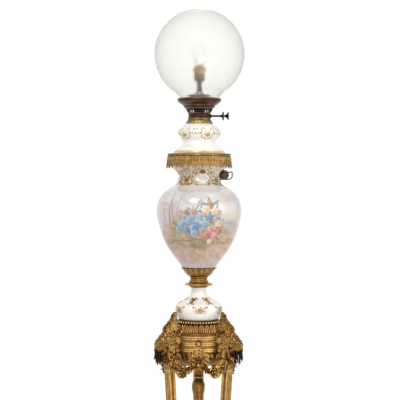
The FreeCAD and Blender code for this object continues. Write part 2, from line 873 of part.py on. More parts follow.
def rod_nut():
    size = nut_flats_radius / math.cos(math.radians(30.0))
    angles = [math.radians(60.0 * side) for side in range(7)]
    ring = [vec(size * math.cos(a), size * math.sin(a), nut_bottom) for a in angles]
    body = Part.Face(Part.makePolygon(ring)).extrude(vec(0, 0, nut_height))
    return body.cut(drum(rod_radius + running_clearance, nut_bottom, nut_height))


# The porcelain foot, as shares of its radius and height
FOOT_SHARES = [
    (0.79, 0.0), (0.875, 0.06), (0.965, 0.18), (1.0, 0.30), (0.965, 0.42), (0.82, 0.53), (0.52, 0.66),
    (0.35, 0.77),
]


def porcelain_foot():
    """Hollow domed foot, open below, with a straight neck."""
    side = scaled(FOOT_SHARES, foot_radius, foot_bottom, foot_height)
    neck = [(foot_neck_radius, flange_bottom - foot_wall), (foot_neck_radius, flange_bottom)]
    outer = turned(corners([(0, foot_bottom)]) + [side] + corners(neck + [(0, flange_bottom)]))
    neck_bore = foot_neck_radius - foot_wall
    drop = 0.35 * foot_wall
    inner = [(max(radius - foot_wall, neck_bore), height - drop) for radius, height in side[1:]]
    mouth = [(0, foot_bottom), (side[0][0] - foot_wall, foot_bottom)]
    roof = flange_bottom - 2 * foot_wall
    hollow = turned(corners(mouth) + [inner] + corners([(neck_bore, roof), (0, roof)]))
    return outer.cut([hollow, rod_hole(foot_bottom, flange_bottom)])


def socle_flange():
    """Ring under the socle with a beaded edge and a fillet above and below."""
    edge_bottom = flange_bottom + 0.34 * flange_height
    edge_top = edge_bottom + 2 * bead_radius
    outline = [
        (0, flange_bottom),
        (foot_neck_radius, flange_bottom),
        (0.80 * flange_radius, edge_bottom),
        (flange_radius - bead_radius, edge_bottom),
        (flange_radius, edge_bottom + bead_radius),
        (flange_radius - bead_radius, edge_top),
        (0.78 * flange_radius, edge_top),
        (socle_neck_radius, collar_bottom - 0.12 * flange_height),
        (socle_neck_radius, collar_bottom),
        (0, collar_bottom),
    ]
    return turned(corners(outline)).cut(rod_hole(flange_bottom, collar_bottom))


# The vase's outer side, as shares of its belly's radius and its height
VASE_SHARES = [
    (0.226, 0.0), (0.292, 0.020), (0.387, 0.058), (0.476, 0.102), (0.583, 0.153), (0.689, 0.204),
    (0.772, 0.255), (0.840, 0.306), (0.893, 0.360), (0.939, 0.415), (0.975, 0.468), (1.0, 0.530),
    (0.984, 0.585), (0.939, 0.636), (0.849, 0.687), (0.764, 0.714), (0.660, 0.738), (0.566, 0.757),
    (0.528, 0.769), (0.512, 0.789), (0.490, 0.816), (0.481, 0.840), (0.509, 0.867), (0.580, 0.891),
    (0.632, 0.918), (0.642, 0.955), (0.642, 1.0),
]


def vase_outside():
    side = scaled(VASE_SHARES, vase_radius, vase_bottom, vase_height)
    return turned(corners([(0, vase_bottom)]) + [side] + corners([(0, vase_top)]))


def vase_body():
    """Porcelain vase with an even wall, a floor and a hole for the flex bush."""
    side = scaled(VASE_SHARES, vase_radius, vase_bottom, vase_height)
    floor_top = vase_bottom + vase_floor
    lowest = floor_top + 0.5 * vase_floor
    inner = [(radius - vase_wall, height) for radius, height in side if height > lowest]
    floor = [(0, floor_top), (0.20 * vase_radius, floor_top)]
    hollow = turned(corners(floor) + [inner] + corners([(0, vase_top)]))
    bush_way = flex_bush_solid(flex_bush_radius, 0)
    return vase_outside().cut([hollow, rod_hole(vase_bottom, floor_top), bush_way])


SOCLE_NECK_SHARES = [(1.0, 0.0), (0.94, 0.10), (0.90, 0.22), (0.99, 0.32)]
SOCLE_LEAF_SHARES = [(0.60, 0.38), (0.72, 0.52), (0.79, 0.68), (0.90, 0.84), (1.0, 1.0)]


def socle_collar():
    """Leaf collar that wraps the vase's foot, on a turned neck."""
    neck = scaled(SOCLE_NECK_SHARES, socle_neck_radius, collar_bottom, collar_height)
    leaves = scaled(SOCLE_LEAF_SHARES, collar_radius, collar_bottom, collar_height)
    body = turned(corners([(0, collar_bottom)]) + [neck, leaves] + corners([(0, collar_top)]))
    return body.cut([vase_outside(), rod_hole(collar_bottom, vase_bottom)])


def gallery_band():
    """Ring round the vase's mouth: a flange on the porcelain, and a skirt that
    ends in a fringe of pointed leaves."""
    top = band_bottom + band_height
    bead = 0.6 * bead_radius
    outline = [
        (band_flange_bore, top - band_flange),
        (band_top_radius - band_wall, top - band_flange),
        (band_foot_radius - band_wall, band_bottom),
        (band_foot_radius, band_bottom),
        (band_top_radius, top - 2 * bead),
        (band_top_radius + bead, top - bead),
        (band_top_radius - bead, top),
        (band_flange_bore, top),
    ]
    skirt = turned(corners(outline))
    pitch = math.pi / fringe_leaf_count
    far = band_foot_radius + cut_overrun
    half = far * math.tan(0.72 * pitch)
    low = band_bottom - 0.5 * cut_overrun
    notch = [(-half, low), (half, low), (0, band_bottom + fringe_depth), (-half, low)]
    outline = Part.makePolygon([vec(band_flange_bore, across, height) for across, height in notch])
    wedge = Part.Face(outline).extrude(vec(far - band_flange_bore, 0, 0))
    turns = [FULL_TURN_DEGREES * leaf / fringe_leaf_count for leaf in range(fringe_leaf_count)]
    return skirt.cut([turned_about(wedge, turn) for turn in turns])


def gallery_cove():
    """Hollow-sided ring that carries the font cover."""
    middle_radius = 0.5 * (cove_foot_radius + cove_seat_radius)
    side = [
        (cove_foot_radius, cove_bottom + 0.18 * cove_height),
        (middle_radius, cove_bottom + 0.42 * cove_height),
        (cove_seat_radius + 2 * cover_wall / 3, cover_bottom),
    ]
    foot = [(cove_bore, cove_bottom), (cove_foot_radius, cove_bottom)]
    return turned(corners(foot) + [side] + corners([(cove_bore, cover_bottom)]))


# The font cover's side above its flange, as shares of its radius and height
COVER_SHARES = [
    (0.93, 0.13), (0.80, 0.19), (0.70, 0.27), (0.665, 0.37), (0.735, 0.45), (0.825, 0.56), (0.868, 0.67),
    (0.833, 0.78), (0.73, 0.90), (0.583, 1.0),
]


def font_cover():
    """Porcelain cover: a flange, a waist and a swelling, open at both ends."""
    side = scaled(COVER_SHARES, cover_radius, cover_bottom, cover_height)
    flange = [
        (0, cover_bottom),
        (cover_radius, cover_bottom),
        (cover_radius, cover_bottom + cover_wall),
    ]
    outer = turned(corners(flange) + [side] + corners([(0, cover_top)]))
    inner = [(radius - cover_wall, height) for radius, height in side[:-1]]
    mouth = [
        (cover_mouth_radius, cover_top - cover_wall),
        (cover_mouth_radius, cover_top),
        (0, cover_top),
    ]
    start = [(0, cover_bottom), (cove_bore, cover_bottom)]
    hollow = turned(corners(start) + [inner] + corners(mouth))
    return outer.cut(hollow)


def burner_collar():
    """Gilt collar with a leafy lip, tapped for the burner."""
    lip = burner_collar_foot_radius + burner_collar_lip
    outline = [
        (burner_collar_bore, cover_top),
        (lip, cover_top),
        (lip, cover_top + 0.5 * burner_collar_lip),
        (burner_collar_foot_radius, cover_top + burner_collar_lip),
        (burner_collar_top_radius, burner_bottom),
        (burner_collar_bore, burner_bottom),
    ]
    return turned(corners(outline))


def winder_bore(radius, start, end):
    return Part.makeCylinder(radius, end - start, vec(start, 0, winder_height), X_AXIS)


def burner_base():
    """Ring with a floor and a threaded spigot that screws into the collar."""
    spigot = burner_collar_bore - thread_clearance
    bore = wick_tube_radius - wick_tube_wall
    inside = burner_base_radius - 2 * basket_wall
    outline = [
        (bore, burner_bottom - thread_length),
        (spigot, burner_bottom - thread_length),
        (spigot, burner_bottom),
        (burner_base_radius, burner_bottom),
        (burner_base_radius, basket_bottom),
        (inside, basket_bottom),
        (inside, burner_bottom + burner_floor),
        (bore, burner_bottom + burner_floor),
    ]
    return turned(corners(outline)).cut(winder_bore(bush_radius, wick_tube_radius, sleeve_end))


def wick_tube():
    """Upright tube on the burner's floor, which carries the lampholder's adaptor."""
    inner = wick_tube_radius - wick_tube_wall
    return tube(wick_tube_radius, inner, burner_bottom + burner_floor, wick_tube_height)


def winder_bush():
    """Bush in the base ring that the sleeve turns in."""
    start = burner_base_radius - bush_length + 2 * basket_wall
    body = winder_bore(bush_radius, start, start + bush_length)
    return body.cut(winder_bore(sleeve_radius + running_clearance, start, start + bush_length))


def toothed_wheel(bore_radius, start):
    """Small spur wheel about the winder's axis."""
    wheel = winder_bore(wheel_radius, start, start + wheel_thickness)
    tooth_gap = 0.2 * wheel_radius
    gap_bottom = winder_height + wheel_radius - 0.5 * tooth_gap
    cuts = []
    for tooth in range(wheel_tooth_count):
        corner = vec(start, -0.5 * tooth_gap, gap_bottom)
        gap = Part.makeBox(wheel_thickness, tooth_gap, tooth_gap, corner)
        gap.rotate(vec(0, 0, winder_height), X_AXIS, FULL_TURN_DEGREES * tooth / wheel_tooth_count)
        cuts.append(gap)
    return wheel.cut(cuts)


def winder_sleeve():
    """Outer winder: a sleeve with a toothed wheel inside and a disc outside."""
    body = winder_bore(sleeve_radius, sleeve_start, sleeve_end)
    disc_start = sleeve_end - disc_thickness
    rim = winder_bore(disc_radius, disc_start, sleeve_end)
    hub = winder_bore(1.6 * sleeve_radius, disc_start - disc_thickness, sleeve_end)
    wheel = toothed_wheel(sleeve_radius, sleeve_start)
    solid = body.fuse([rim, hub, wheel]).removeSplitter()
    return solid.cut(winder_bore(shaft_radius + running_clearance, sleeve_start, sleeve_end))


def winder_shaft():
    """Inner winder: a shaft with a toothed wheel inside and a flared knob outside."""
    body = winder_bore(shaft_radius, shaft_start, knob_end)
    wheel = toothed_wheel(shaft_radius, shaft_start)
    waist = knob_start + 0.3 * (knob_end - knob_start)
    neck = winder_bore(knob_waist_radius, knob_start, waist)
    spread = 0.75 * (knob_end - waist)
    flare_start = vec(waist, 0, winder_height)
    flare = Part.makeCone(knob_waist_radius, knob_radius, spread, flare_start, X_AXIS)
    flange = winder_bore(knob_radius, waist + spread, knob_end)
    return body.fuse([wheel, neck, flare, flange]).removeSplitter()


def burner_basket():
    """Flared cup with upright draught slots."""
    top = basket_bottom + basket_height
    outline = [
        (basket_foot_radius - basket_wall, basket_bottom), (basket_foot_radius, basket_bottom),
        (basket_top_radius, top), (basket_top_radius - basket_wall, top),
    ]
    cup = turned(corners(outline))
    slot_bottom = basket_bottom + basket_slot_margin
    slot_height = basket_height - 2 * basket_slot_margin
    reach = basket_top_radius
    slot = block(reach, basket_slot_width, slot_bottom, slot_height, reach)
    turns = [FULL_TURN_DEGREES * place / basket_slot_count for place in range(basket_slot_count)]
    return cup.cut([turned_about(slot, turn) for turn in turns])


def shade_gallery():
    """Spun gallery: a floor on the basket, a flared side and a seat for the globe."""
    floor_hole = wick_tube_radius + running_clearance
    bottom = gallery_bottom
    top = bottom + shade_gallery_height
    seat = bottom + shade_seat_height
    wall = shade_gallery_wall
    outline = [
        (floor_hole, bottom),
        (shade_floor_radius, bottom),
        (shade_floor_radius, bottom + 0.28 * shade_gallery_height),
        (0.86 * shade_rim_radius, bottom + 0.46 * shade_gallery_height),
        (shade_rim_radius, bottom + 0.72 * shade_gallery_height),
        (shade_rim_radius, top - wall),
        (shade_rim_radius - wall, top),
        (shade_seat_outer_radius, top),
        (shade_seat_outer_radius, seat),
        (shade_seat_inner_radius, seat),
        (shade_seat_inner_radius, seat - wall),
        (0.84 * shade_rim_radius, seat - wall),
        (shade_floor_radius - wall, bottom + 0.30 * shade_gallery_height),
        (shade_floor_radius - wall, bottom + wall),
        (floor_hole, bottom + wall),
    ]
    return turned(corners(outline))


def lamp_adaptor():
    """Plate on the wick tube with a hub for the lampholder's stem."""
    top = plate_bottom + adaptor_plate_height
    skirt_foot = gallery_bottom + shade_gallery_wall
    skirt_bore = wick_tube_radius + running_clearance
    outline = [
        (skirt_bore, skirt_foot),
        (adaptor_skirt_radius, skirt_foot),
        (adaptor_skirt_radius, plate_bottom),
        (adaptor_plate_radius, plate_bottom),
        (adaptor_plate_radius, plate_bottom + 0.5 * adaptor_plate_height),
        (adaptor_skirt_radius, top),
        (adaptor_hub_radius, top),
        (stem_radius, stem_bottom),
        (flex_bore_radius, stem_bottom),
        (flex_bore_radius, plate_bottom),
        (skirt_bore, plate_bottom),
    ]
    return turned(corners(outline))


def lampholder_stem():
    return tube(stem_radius, flex_bore_radius, stem_bottom, stem_height)


def lampholder():
    """Brass cup with a floor bored for the flex and two plungers for the cap."""
    shoulder = holder_floor_top - holder_floor
    inside = holder_radius - holder_wall
    outline = [
        (flex_bore_radius, holder_bottom),
        (stem_radius, holder_bottom),
        (holder_radius, shoulder),
        (holder_radius, holder_top),
        (inside, holder_top),
        (inside, holder_floor_top),
        (flex_bore_radius, holder_floor_top),
    ]
    cup = turned(corners(outline))
    plungers = []
    for side in (-1, 1):
        plunger = drum(0.5 * flex_bore_radius, holder_floor_top, bulb_cap_bottom - holder_floor_top)
        plunger.translate(vec(0, 2 * side * flex_bore_radius, 0))
        plungers.append(plunger)
    return cup.fuse(plungers)


def lampholder_ring():
    """Ring screwed on the holder's rim."""
    outer = holder_radius + holder_ring_reach
    return tube(outer, holder_radius, holder_top - holder_ring_height, holder_ring_height)


def bulb_cap():
    """Bayonet cap with its insulating floor."""
    return drum(bulb_cap_radius, bulb_cap_bottom, bulb_cap_height)


# The bulb's envelope from its neck to its crown, as shares of its radius and height
BULB_SHARES = [
    (0.47, 0.0), (0.50, 0.12), (0.72, 0.26), (0.95, 0.42), (1.0, 0.60), (0.86, 0.80), (0.52, 0.95),
    (0.12, 0.998),
]


def bulb_glass():
    """Clear round envelope on the cap."""
    side = scaled(BULB_SHARES, bulb_radius, bulb_bottom, bulb_height)
    return turned(corners([(0, bulb_bottom)]) + [side] + corners([(0, bulb_bottom + bulb_height)]))


def globe_arc(radius, low_ring, high_ring):
    """Three points of a sphere's side, between the rings of two radii."""
    low = globe_centre - math.sqrt(radius**2 - low_ring**2)
    high = globe_centre + math.sqrt(radius**2 - high_ring**2)
    return vec(low_ring, 0, low), vec(radius, 0, globe_centre), vec(high_ring, 0, high)


def globe_shade():
    """Blown globe with a short straight neck below and an open mouth above."""
    outer = globe_arc(globe_radius, globe_neck_radius, globe_mouth_radius)
    inner_neck = globe_neck_radius - globe_wall
    inner = globe_arc(globe_radius - globe_wall, inner_neck, globe_mouth_radius)
    foot_outer = vec(globe_neck_radius, 0, globe_bottom)
    foot_inner = vec(inner_neck, 0, globe_bottom)
    edges = [
        Part.LineSegment(foot_outer, outer[0]).toShape(),
        Part.Arc(*outer).toShape(),
        Part.LineSegment(outer[2], inner[2]).toShape(),
        Part.Arc(*inner).toShape(),
        Part.LineSegment(inner[0], foot_inner).toShape(),
        Part.LineSegment(foot_inner, foot_outer).toShape(),
    ]
    return Part.Face(Part.Wire(Part.sortEdges(edges)[0])).revolve(ORIGIN, Z_AXIS, FULL_TURN_DEGREES)


# The point of the vase's outside where the flex bush goes through its wall, as
# shares of the belly's radius and the vase's height
FLEX_BUSH_SHARES = (0.580, 0.891)


def bush_frame():
    """Middle of the flex bush and the way that it points, outwards and down."""
    turn = math.radians(flex_bush_azimuth_degrees)
    slope = math.radians(flex_bush_slope_degrees)
    outward = vec(math.cos(turn), math.sin(turn), 0)
    [(radius, height)] = scaled([FLEX_BUSH_SHARES], vase_radius, vase_bottom, vase_height)
    centre = outward * (radius - 0.5 * vase_wall) + Z_AXIS * height
    return centre, outward * math.cos(slope) - Z_AXIS * math.sin(slope)


def flex_bush_solid(radius, flange_radius):
    centre, way = bush_frame()
    body = Part.makeCylinder(radius, flex_bush_length, centre - way * (0.5 * flex_bush_length), way)
    if flange_radius:
        place = centre + way * (0.5 * flex_bush_length - flex_bush_flange)
        body = body.fuse(Part.makeCylinder(flange_radius, flex_bush_flange, place, way))
    return body


def flex_bush():
    centre, way = bush_frame()
    bore = Part.makeCylinder(flex_radius, flex_bush_length, centre - way * (0.5 * flex_bush_length), way)
    return flex_bush_solid(flex_bush_radius, flex_bush_flange_radius).cut(bore)


def internal_flex():
    """Flex inside the lamp, from the lampholder's floor to the bush's inner end."""
    centre, way = bush_frame()
    end = centre - way * (0.5 * flex_bush_length)
    out = math.hypot(end.x, end.y)
    corner_height = end.z + out * math.tan(math.radians(flex_bush_slope_degrees))
    places = [(0, 0, holder_floor_top), (0, 0, corner_height), (end.x, end.y, end.z)]
    wire, length, radii = rounded_route(places)
    return swept(wire, flex_radius)


def hank_axes():
    """The hank's middle, and its directions along the runs and outwards."""
    turn = math.radians(hank_azimuth_degrees)
    along = vec(math.sin(turn), -math.cos(turn), 0)
    outward = vec(math.cos(turn), math.sin(turn), 0)
    middle = outward * hank_distance + along * hank_shift + vec(0, 0, hank_height)
    return middle, along, outward


def hank_place(u, v, layer):
    """A point of the hank: along its runs, upwards, and in a layer outwards."""
    middle, along, outward = hank_axes()
    depth = (layer - 0.5 * (hank_layers - 1)) * hank_pitch
    return middle + along * u + Z_AXIS * v + outward * depth


hank_widest = hank_fold_radius + (hank_turns_across - 1) * hank_pitch
hank_start = hank_place(-0.5 * hank_run, -hank_widest, 0)
hank_end = hank_place(0.5 * hank_run, -hank_widest, hank_layers - 1)


def hank_fold(way, level, following, layer):
    """Half-turn fold at an end of the runs, from one level to the next."""
    end = 0.5 * way * hank_run
    radius = 0.5 * abs(following - level)
    peak = hank_place(end + way * radius, 0.5 * (level + following), layer)
    return Part.Arc(hank_place(end, level, layer), peak, hank_place(end, following, layer)).toShape()


def hank_climb(level, layer):
    """Two tangent arcs back along an upper run, up to the next layer."""
    half = 0.5 * hank_run
    rise = 0.5 * hank_pitch
    radius = (half**2 + rise**2) / (2 * rise)
    sag = (radius - math.sqrt(radius**2 - 0.25 * half**2)) / hank_pitch
    start = hank_place(half, level, layer)
    before = hank_place(0.5 * half, level, layer + sag)
    middle = hank_place(0, level, layer + 0.5)
    after = hank_place(-0.5 * half, level, layer + 1 - sag)
    end = hank_place(-half, level, layer + 1)
    return [Part.Arc(start, before, middle).toShape(), Part.Arc(middle, after, end).toShape()]


def hank_run_edge(way, level, layer):
    """Straight run along a loop's lower or upper side."""
    half = 0.5 * way * hank_run
    return Part.LineSegment(hank_place(-half, level, layer), hank_place(half, level, layer)).toShape()


def hank_wire():
    """One unbroken line of long loops in layers. A loop runs out below, folds up,
    runs back above and folds down to the next loop, a pitch narrower or wider.
    The last upper run of a layer climbs to the next, where the winding turns round."""
    size = hank_widest
    step = -hank_pitch
    edges = []
    for layer in range(hank_layers):
        loops = hank_turns_across if layer == 0 else hank_turns_across - 1
        for loop in range(loops):
            last = loop == loops - 1
            edges.append(hank_run_edge(1, -size, layer))
            if last and layer == hank_layers - 1:
                break
            edges.append(hank_fold(1, -size, size, layer))
            if last:
                edges += hank_climb(size, layer)
                step = -step
            else:
                edges.append(hank_run_edge(-1, size, layer))
            edges.append(hank_fold(-1, size, -(size + step), layer + 1 if last else layer))
            size += step
    return Part.Wire(edges)


def least_gap(wire):
    """The wound line's least distance to itself less the flex's diameter, taken
    between points spaced along it, past the stretch that bends away from each."""
    spacing = flex_radius
    points = wire.discretize(Distance=spacing)
    skip = math.ceil(0.5 * math.pi * 2 * hank_fold_radius / spacing)
    least = min((a - b).Length for i, a in enumerate(points) for b in points[i + skip:])
    return least - 2 * flex_radius


def supply_points():
    """From the bush's outer end, through the points chosen by hand, to the hank."""
    centre, way = bush_frame()
    middle, along, outward = hank_axes()
    start = centre + way * (0.5 * flex_bush_length)
    points = [start, start + way * supply_lead] + [vec(*p) for p in supply_route]
    return points + [hank_start - along * supply_end_lead, hank_start]


def plug_points():
    """From the hank's end, through the points chosen by hand, to the plug's nose."""
    middle, along, outward = hank_axes()
    nose = vec(*plug_nose)
    points = [hank_end, hank_end + along * plug_start_lead] + [vec(*p) for p in plug_route]
    return points + [nose - Y_AXIS * plug_end_lead, nose]


def report_cord(name, shape, length, radii):
    ratio = shape.Volume / (math.pi * flex_radius**2 * length)
    bends = " ".join("%.1f" % radius for radius in radii)
    print("%s: length %.1f mm, volume over section times length %.4f" % (name, length, ratio))
    print("%s: radii %s" % (name, bends))


def supply_flex():
    wire, length, radii = rounded_route(supply_points())
    shape = swept(wire, flex_radius)
    report_cord("supply_flex", shape, length, radii)
    return shape


def plug_flex():
    wire, length, radii = rounded_route(plug_points())
    shape = swept(wire, flex_radius)
    report_cord("plug_flex", shape, length, radii)
    return shape


def flex_hank():
    wire = hank_wire()
    shape = swept(wire, flex_radius)
    report_cord("flex_hank", shape, wire.Length, [hank_fold_radius])
    print("flex_hank: least gap to itself %.2f mm" % least_gap(wire))
    return shape


def hank_tie():
    """Flat strap round the hank, just under the gallery's fringe."""
    middle, along, outward = hank_axes()
    half_high = hank_widest + flex_radius + tie_gap
    half_deep = 0.5 * (hank_layers - 1) * hank_pitch + flex_radius + tie_gap

    def frame(extra):
        wide, deep = half_high + extra, half_deep + extra
        signs = [(-1, -1), (1, -1), (1, 1), (-1, 1), (-1, -1)]
        start = middle + along * (tie_place - 0.5 * tie_width)
        points = [start + Z_AXIS * (a * wide) + outward * (b * deep) for a, b in signs]
        return Part.Face(Part.makePolygon(points)).extrude(along * tie_width)

    return frame(tie_thickness).cut(frame(0))


def plug_body():
    """Round moulded plug with a tapered nose where the flex enters."""
    nose = vec(*plug_nose)
    taper = 0.4 * plug_length
    cone = Part.makeCone(plug_nose_radius, plug_radius, taper, nose, Y_AXIS)
    barrel = Part.makeCylinder(plug_radius, plug_length - taper, nose + Y_AXIS * taper, Y_AXIS)
    return cone.fuse(barrel).removeSplitter()


def plug_pins():
    face = vec(*plug_nose) + Y_AXIS * plug_length
    pins = []
    for side in (-1, 1):
        place = face + X_AXIS * (0.5 * side * plug_pin_spacing)
        pins.append(Part.makeCylinder(plug_pin_radius, plug_pin_length, place, Y_AXIS))
    return Part.makeCompound(pins)


def build():
    """Every piece by its name, in the lamp's own frame."""
    bowl = bowl_solids()
    seats = list(bowl.values())
    screw_way = head_screw_radius + running_clearance
    screw_cuts = [head_screw_solid(screw_way, head_screw_head_radius, height)
                  for height in head_screw_heights()]
    head = ram_head(seats).cut(screw_cuts)
    bracket = console(seats + [head])
    leg = fluted_leg()
    hoof = hoof_leg()
    near_swag = seats + [turned_about(piece, LEG_DEGREES[side] - SWAG_DEGREES["front"])
                         for piece in (head, leg) for side in ("left", "right")]
    garland = swag(near_swag)
    pieces = {
        "base_plinth": base_plinth(), "base_step": base_step(), "base_bolts": base_bolts(),
        "leg_dowels": leg_dowels(), "stretcher": stretcher(), "stretcher_urn": stretcher_urn(),
        "head_screws": head_screws(), "bowl_rim": bowl_rim(bowl["rim"]), "bowl_drum": bowl_drum(bowl["drum"]),
        "bowl_calyx": bowl_calyx(bowl["calyx"]), "swag_hooks": swag_hooks(), "drop_finial": drop_finial(),
        "tie_rod": tie_rod(), "rod_washer": rod_washer(), "rod_nut": rod_nut(),
        "porcelain_foot": porcelain_foot(), "socle_flange": socle_flange(), "socle_collar": socle_collar(),
        "vase_body": vase_body(), "gallery_band": gallery_band(), "gallery_cove": gallery_cove(),
        "font_cover": font_cover(), "burner_collar": burner_collar(), "burner_base": burner_base(),
        "wick_tube": wick_tube(), "burner_basket": burner_basket(), "shade_gallery": shade_gallery(),
        "winder_bush": winder_bush(), "winder_sleeve": winder_sleeve(), "winder_shaft": winder_shaft(),
        "lamp_adaptor": lamp_adaptor(), "lampholder_stem": lampholder_stem(), "lampholder": lampholder(),
        "lampholder_ring": lampholder_ring(), "bulb_cap": bulb_cap(), "bulb_glass": bulb_glass(),
        "globe_shade": globe_shade(), "flex_bush": flex_bush(), "internal_flex": internal_flex(),
        "supply_flex": supply_flex(), "flex_hank": flex_hank(), "hank_tie": hank_tie(),
        "plug_flex": plug_flex(), "plug_body": plug_body(), "plug_pins": plug_pins(),
    }
    for name in LEG_NAMES:
        pieces["hoof_leg_" + name] = turned_about(hoof, LEG_DEGREES[name])
        pieces["leg_" + name] = turned_about(leg, LEG_DEGREES[name])
        pieces["ram_head_" + name] = turned_about(head, LEG_DEGREES[name])
        pieces["console_" + name] = turned_about(bracket, LEG_DEGREES[name])
    for name, angle in SWAG_DEGREES.items():
        pieces["swag_" + name] = turned_about(garland, angle)
    return pieces


os.makedirs("parts", exist_ok=True)
for piece_name, piece in build().items():
    piece.exportStep("parts/" + piece_name + ".step")
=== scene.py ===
import bpy
import math
import numpy as np
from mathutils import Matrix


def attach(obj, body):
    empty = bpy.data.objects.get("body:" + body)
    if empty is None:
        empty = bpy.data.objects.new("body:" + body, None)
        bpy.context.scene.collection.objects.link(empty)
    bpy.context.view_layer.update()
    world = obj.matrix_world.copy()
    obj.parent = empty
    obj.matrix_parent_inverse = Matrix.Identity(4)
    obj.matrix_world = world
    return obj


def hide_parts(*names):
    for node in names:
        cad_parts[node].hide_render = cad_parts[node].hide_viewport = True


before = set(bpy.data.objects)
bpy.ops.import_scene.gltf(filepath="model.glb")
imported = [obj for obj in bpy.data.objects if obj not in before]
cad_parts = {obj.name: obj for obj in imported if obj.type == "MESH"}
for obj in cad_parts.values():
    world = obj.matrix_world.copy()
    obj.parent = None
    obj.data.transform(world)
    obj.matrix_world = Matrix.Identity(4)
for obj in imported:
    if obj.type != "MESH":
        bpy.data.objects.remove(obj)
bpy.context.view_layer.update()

# Lengths below are in millimetres and become metres where a mesh is made. +Z is up,
# the front looks along -Y, and Z runs from the floor.
MM = 0.001
TURN = 2 * math.pi
UP = np.array([0.0, 0.0, 1.0])
LEG_ANGLES = {"left": -150.0, "right": -30.0, "back": 90.0}
SWAG_ANGLES = {"front": -90.0, "right": 30.0, "left": 150.0}
LEG_FOOT, LEG_HEAD = 55.8, 83.2
LEG_LENGTH = 421.0
STRETCHER_TOP = 343.0
KNOB_HEIGHT = 818.0
BASE_TOP = 50.0


# Arithmetic on arrays

def unit(v):
    """Vectors divided by their own lengths."""
    return v / np.maximum(np.linalg.norm(v, axis=-1, keepdims=True), 1e-9)


def ease(low, high, x):
    """0 below low, 1 above high, and 3x^2 - 2x^3 between them."""
    t = np.clip((x - low) / (high - low), 0.0, 1.0)
    return t * t * (3 - 2 * t)


def hump(x, middle, width):
    """Bell curve: e to the minus square of the distance from middle over width."""
    return np.exp(-((x - middle) / width) ** 2)


def wave(x, repeats):
    """Place in its repeat, from -0.5 to 0.5, of a share x of a full turn."""
    return (x * repeats) % 1.0 - 0.5


def ridge_under(f, level, width):
    """1 where f is under level, falling to 0 over width."""
    return 1.0 - ease(level, level + width, f)


def squared(x, power):
    """A cosine or sine drawn out towards 1 and -1: its size to a power, its sign kept."""
    return np.sign(x) * np.abs(x) ** power


def cloud(x, y, seed, octaves, wrap=None):
    """Value noise: random numbers at whole places, blended by 3t^2 - 2t^3 between
    them, and summed over octaves of half the size and half the weight."""
    total = np.zeros(np.broadcast(x, y).shape)
    weight = 1.0
    whole = 0.0
    for octave in range(octaves):
        table = np.random.default_rng(seed + octave).random((64, 64))
        scale = 2 ** octave
        u, v = x * scale, y * scale
        i, j = np.floor(u).astype(int), np.floor(v).astype(int)
        s, t = u - i, v - j
        s, t = s * s * (3 - 2 * s), t * t * (3 - 2 * t)
        size = 64 if wrap is None else wrap * scale
        a, b = i % size % 64, (i + 1) % size % 64
        low = table[a, j % 64] * (1 - s) + table[b, j % 64] * s
        high = table[a, (j + 1) % 64] * (1 - s) + table[b, (j + 1) % 64] * s
        total += weight * (low * (1 - t) + high * t)
        whole += weight
        weight *= 0.5
    return total / whole


def through(points, count):
    """Catmull-Rom curve through the points, read at count even steps."""
    p = np.array(points, float)
    p = np.vstack([2 * p[0] - p[1], p, 2 * p[-1] - p[-2]])
    t = np.linspace(0, len(p) - 3, count)
    i = np.minimum(t.astype(int), len(p) - 4)
    s = (t - i)[:, None]
    a, b, c, d = p[i], p[i + 1], p[i + 2], p[i + 3]
    return 0.5 * (2 * b + (c - a) * s + (2 * a - 5 * b + 4 * c - d) * s**2 + (3 * b - a - 3 * c + d) * s**3)


def full_turn(count):
    """So many angles from 0 to a whole turn, both kept."""
    return np.linspace(0, TURN, count)


def upwards(count):
    """So many shares from 0 to 1, one to a row."""
    return np.linspace(0, 1, count)[:, None]


def way_along(path):
    """Length from a path's start to each of its points."""
    return np.concatenate([[0], np.cumsum(np.linalg.norm(np.diff(path, axis=0), axis=1))])


def along(points, step):
    """Straight-sided outline, read at even steps of its length, corners kept."""
    p = np.array(points, float)
    rows = []
    for a, b in zip(p, p[1:]):
        count = max(1, int(np.ceil(np.linalg.norm(b - a) / step)))
        rows.append(a + (b - a) * np.linspace(0, 1, count, endpoint=False)[:, None])
    return np.vstack(rows + [p[-1:]])


def softened(points, cut):
    """Outline whose inner corners are each replaced by three points of a small
    curve, the cut taken along both sides."""
    p = np.array(points, float)
    out = [p[0]]
    for a, b, c in zip(p, p[1:], p[2:]):
        before, after = np.linalg.norm(a - b), np.linalg.norm(c - b)
        size = min(cut, 0.4 * before, 0.4 * after)
        come, go = b + (a - b) * size / before, b + (c - b) * size / after
        out += [come, 0.25 * come + 0.5 * b + 0.25 * go, go]
    return np.array(out + [p[-1]])


# Shells of faces

# A shell is three arrays: points, four-cornered faces, and a tone for each point,
# 0 in a dark hollow and 1 on a rubbed edge: patina and wear, with painted shade in
# the hollows and painted highlights on the raised edges.

def shell(grid, tone=0.6, inside=None):
    """Shell over a grid of points. Its faces look away from inside, or from the
    grid's own middle."""
    rows, columns = grid.shape[:2]
    points = grid.reshape(-1, 3)
    index = np.arange(rows * columns).reshape(rows, columns)
    faces = np.stack([index[:-1, :-1], index[1:, :-1], index[1:, 1:], index[:-1, 1:]], -1).reshape(-1, 4)
    middle = points.mean(0) if inside is None else np.array(inside, float)
    a, b, c, d = (points[faces[:, k]] - middle for k in range(4))
    flux = np.einsum("ij,ij->", a, np.cross(b, c)) + np.einsum("ij,ij->", a, np.cross(c, d))
    if flux < 0:
        faces = faces[:, ::-1]
    return points, faces, np.broadcast_to(tone, (rows, columns)).astype(float).ravel()


def joined(*shells):
    """One shell of several."""
    starts = np.cumsum([0] + [len(s[0]) for s in shells[:-1]])
    faces = [s[1] + start for s, start in zip(shells, starts)]
    return np.vstack([s[0] for s in shells]), np.vstack(faces), np.concatenate([s[2] for s in shells])


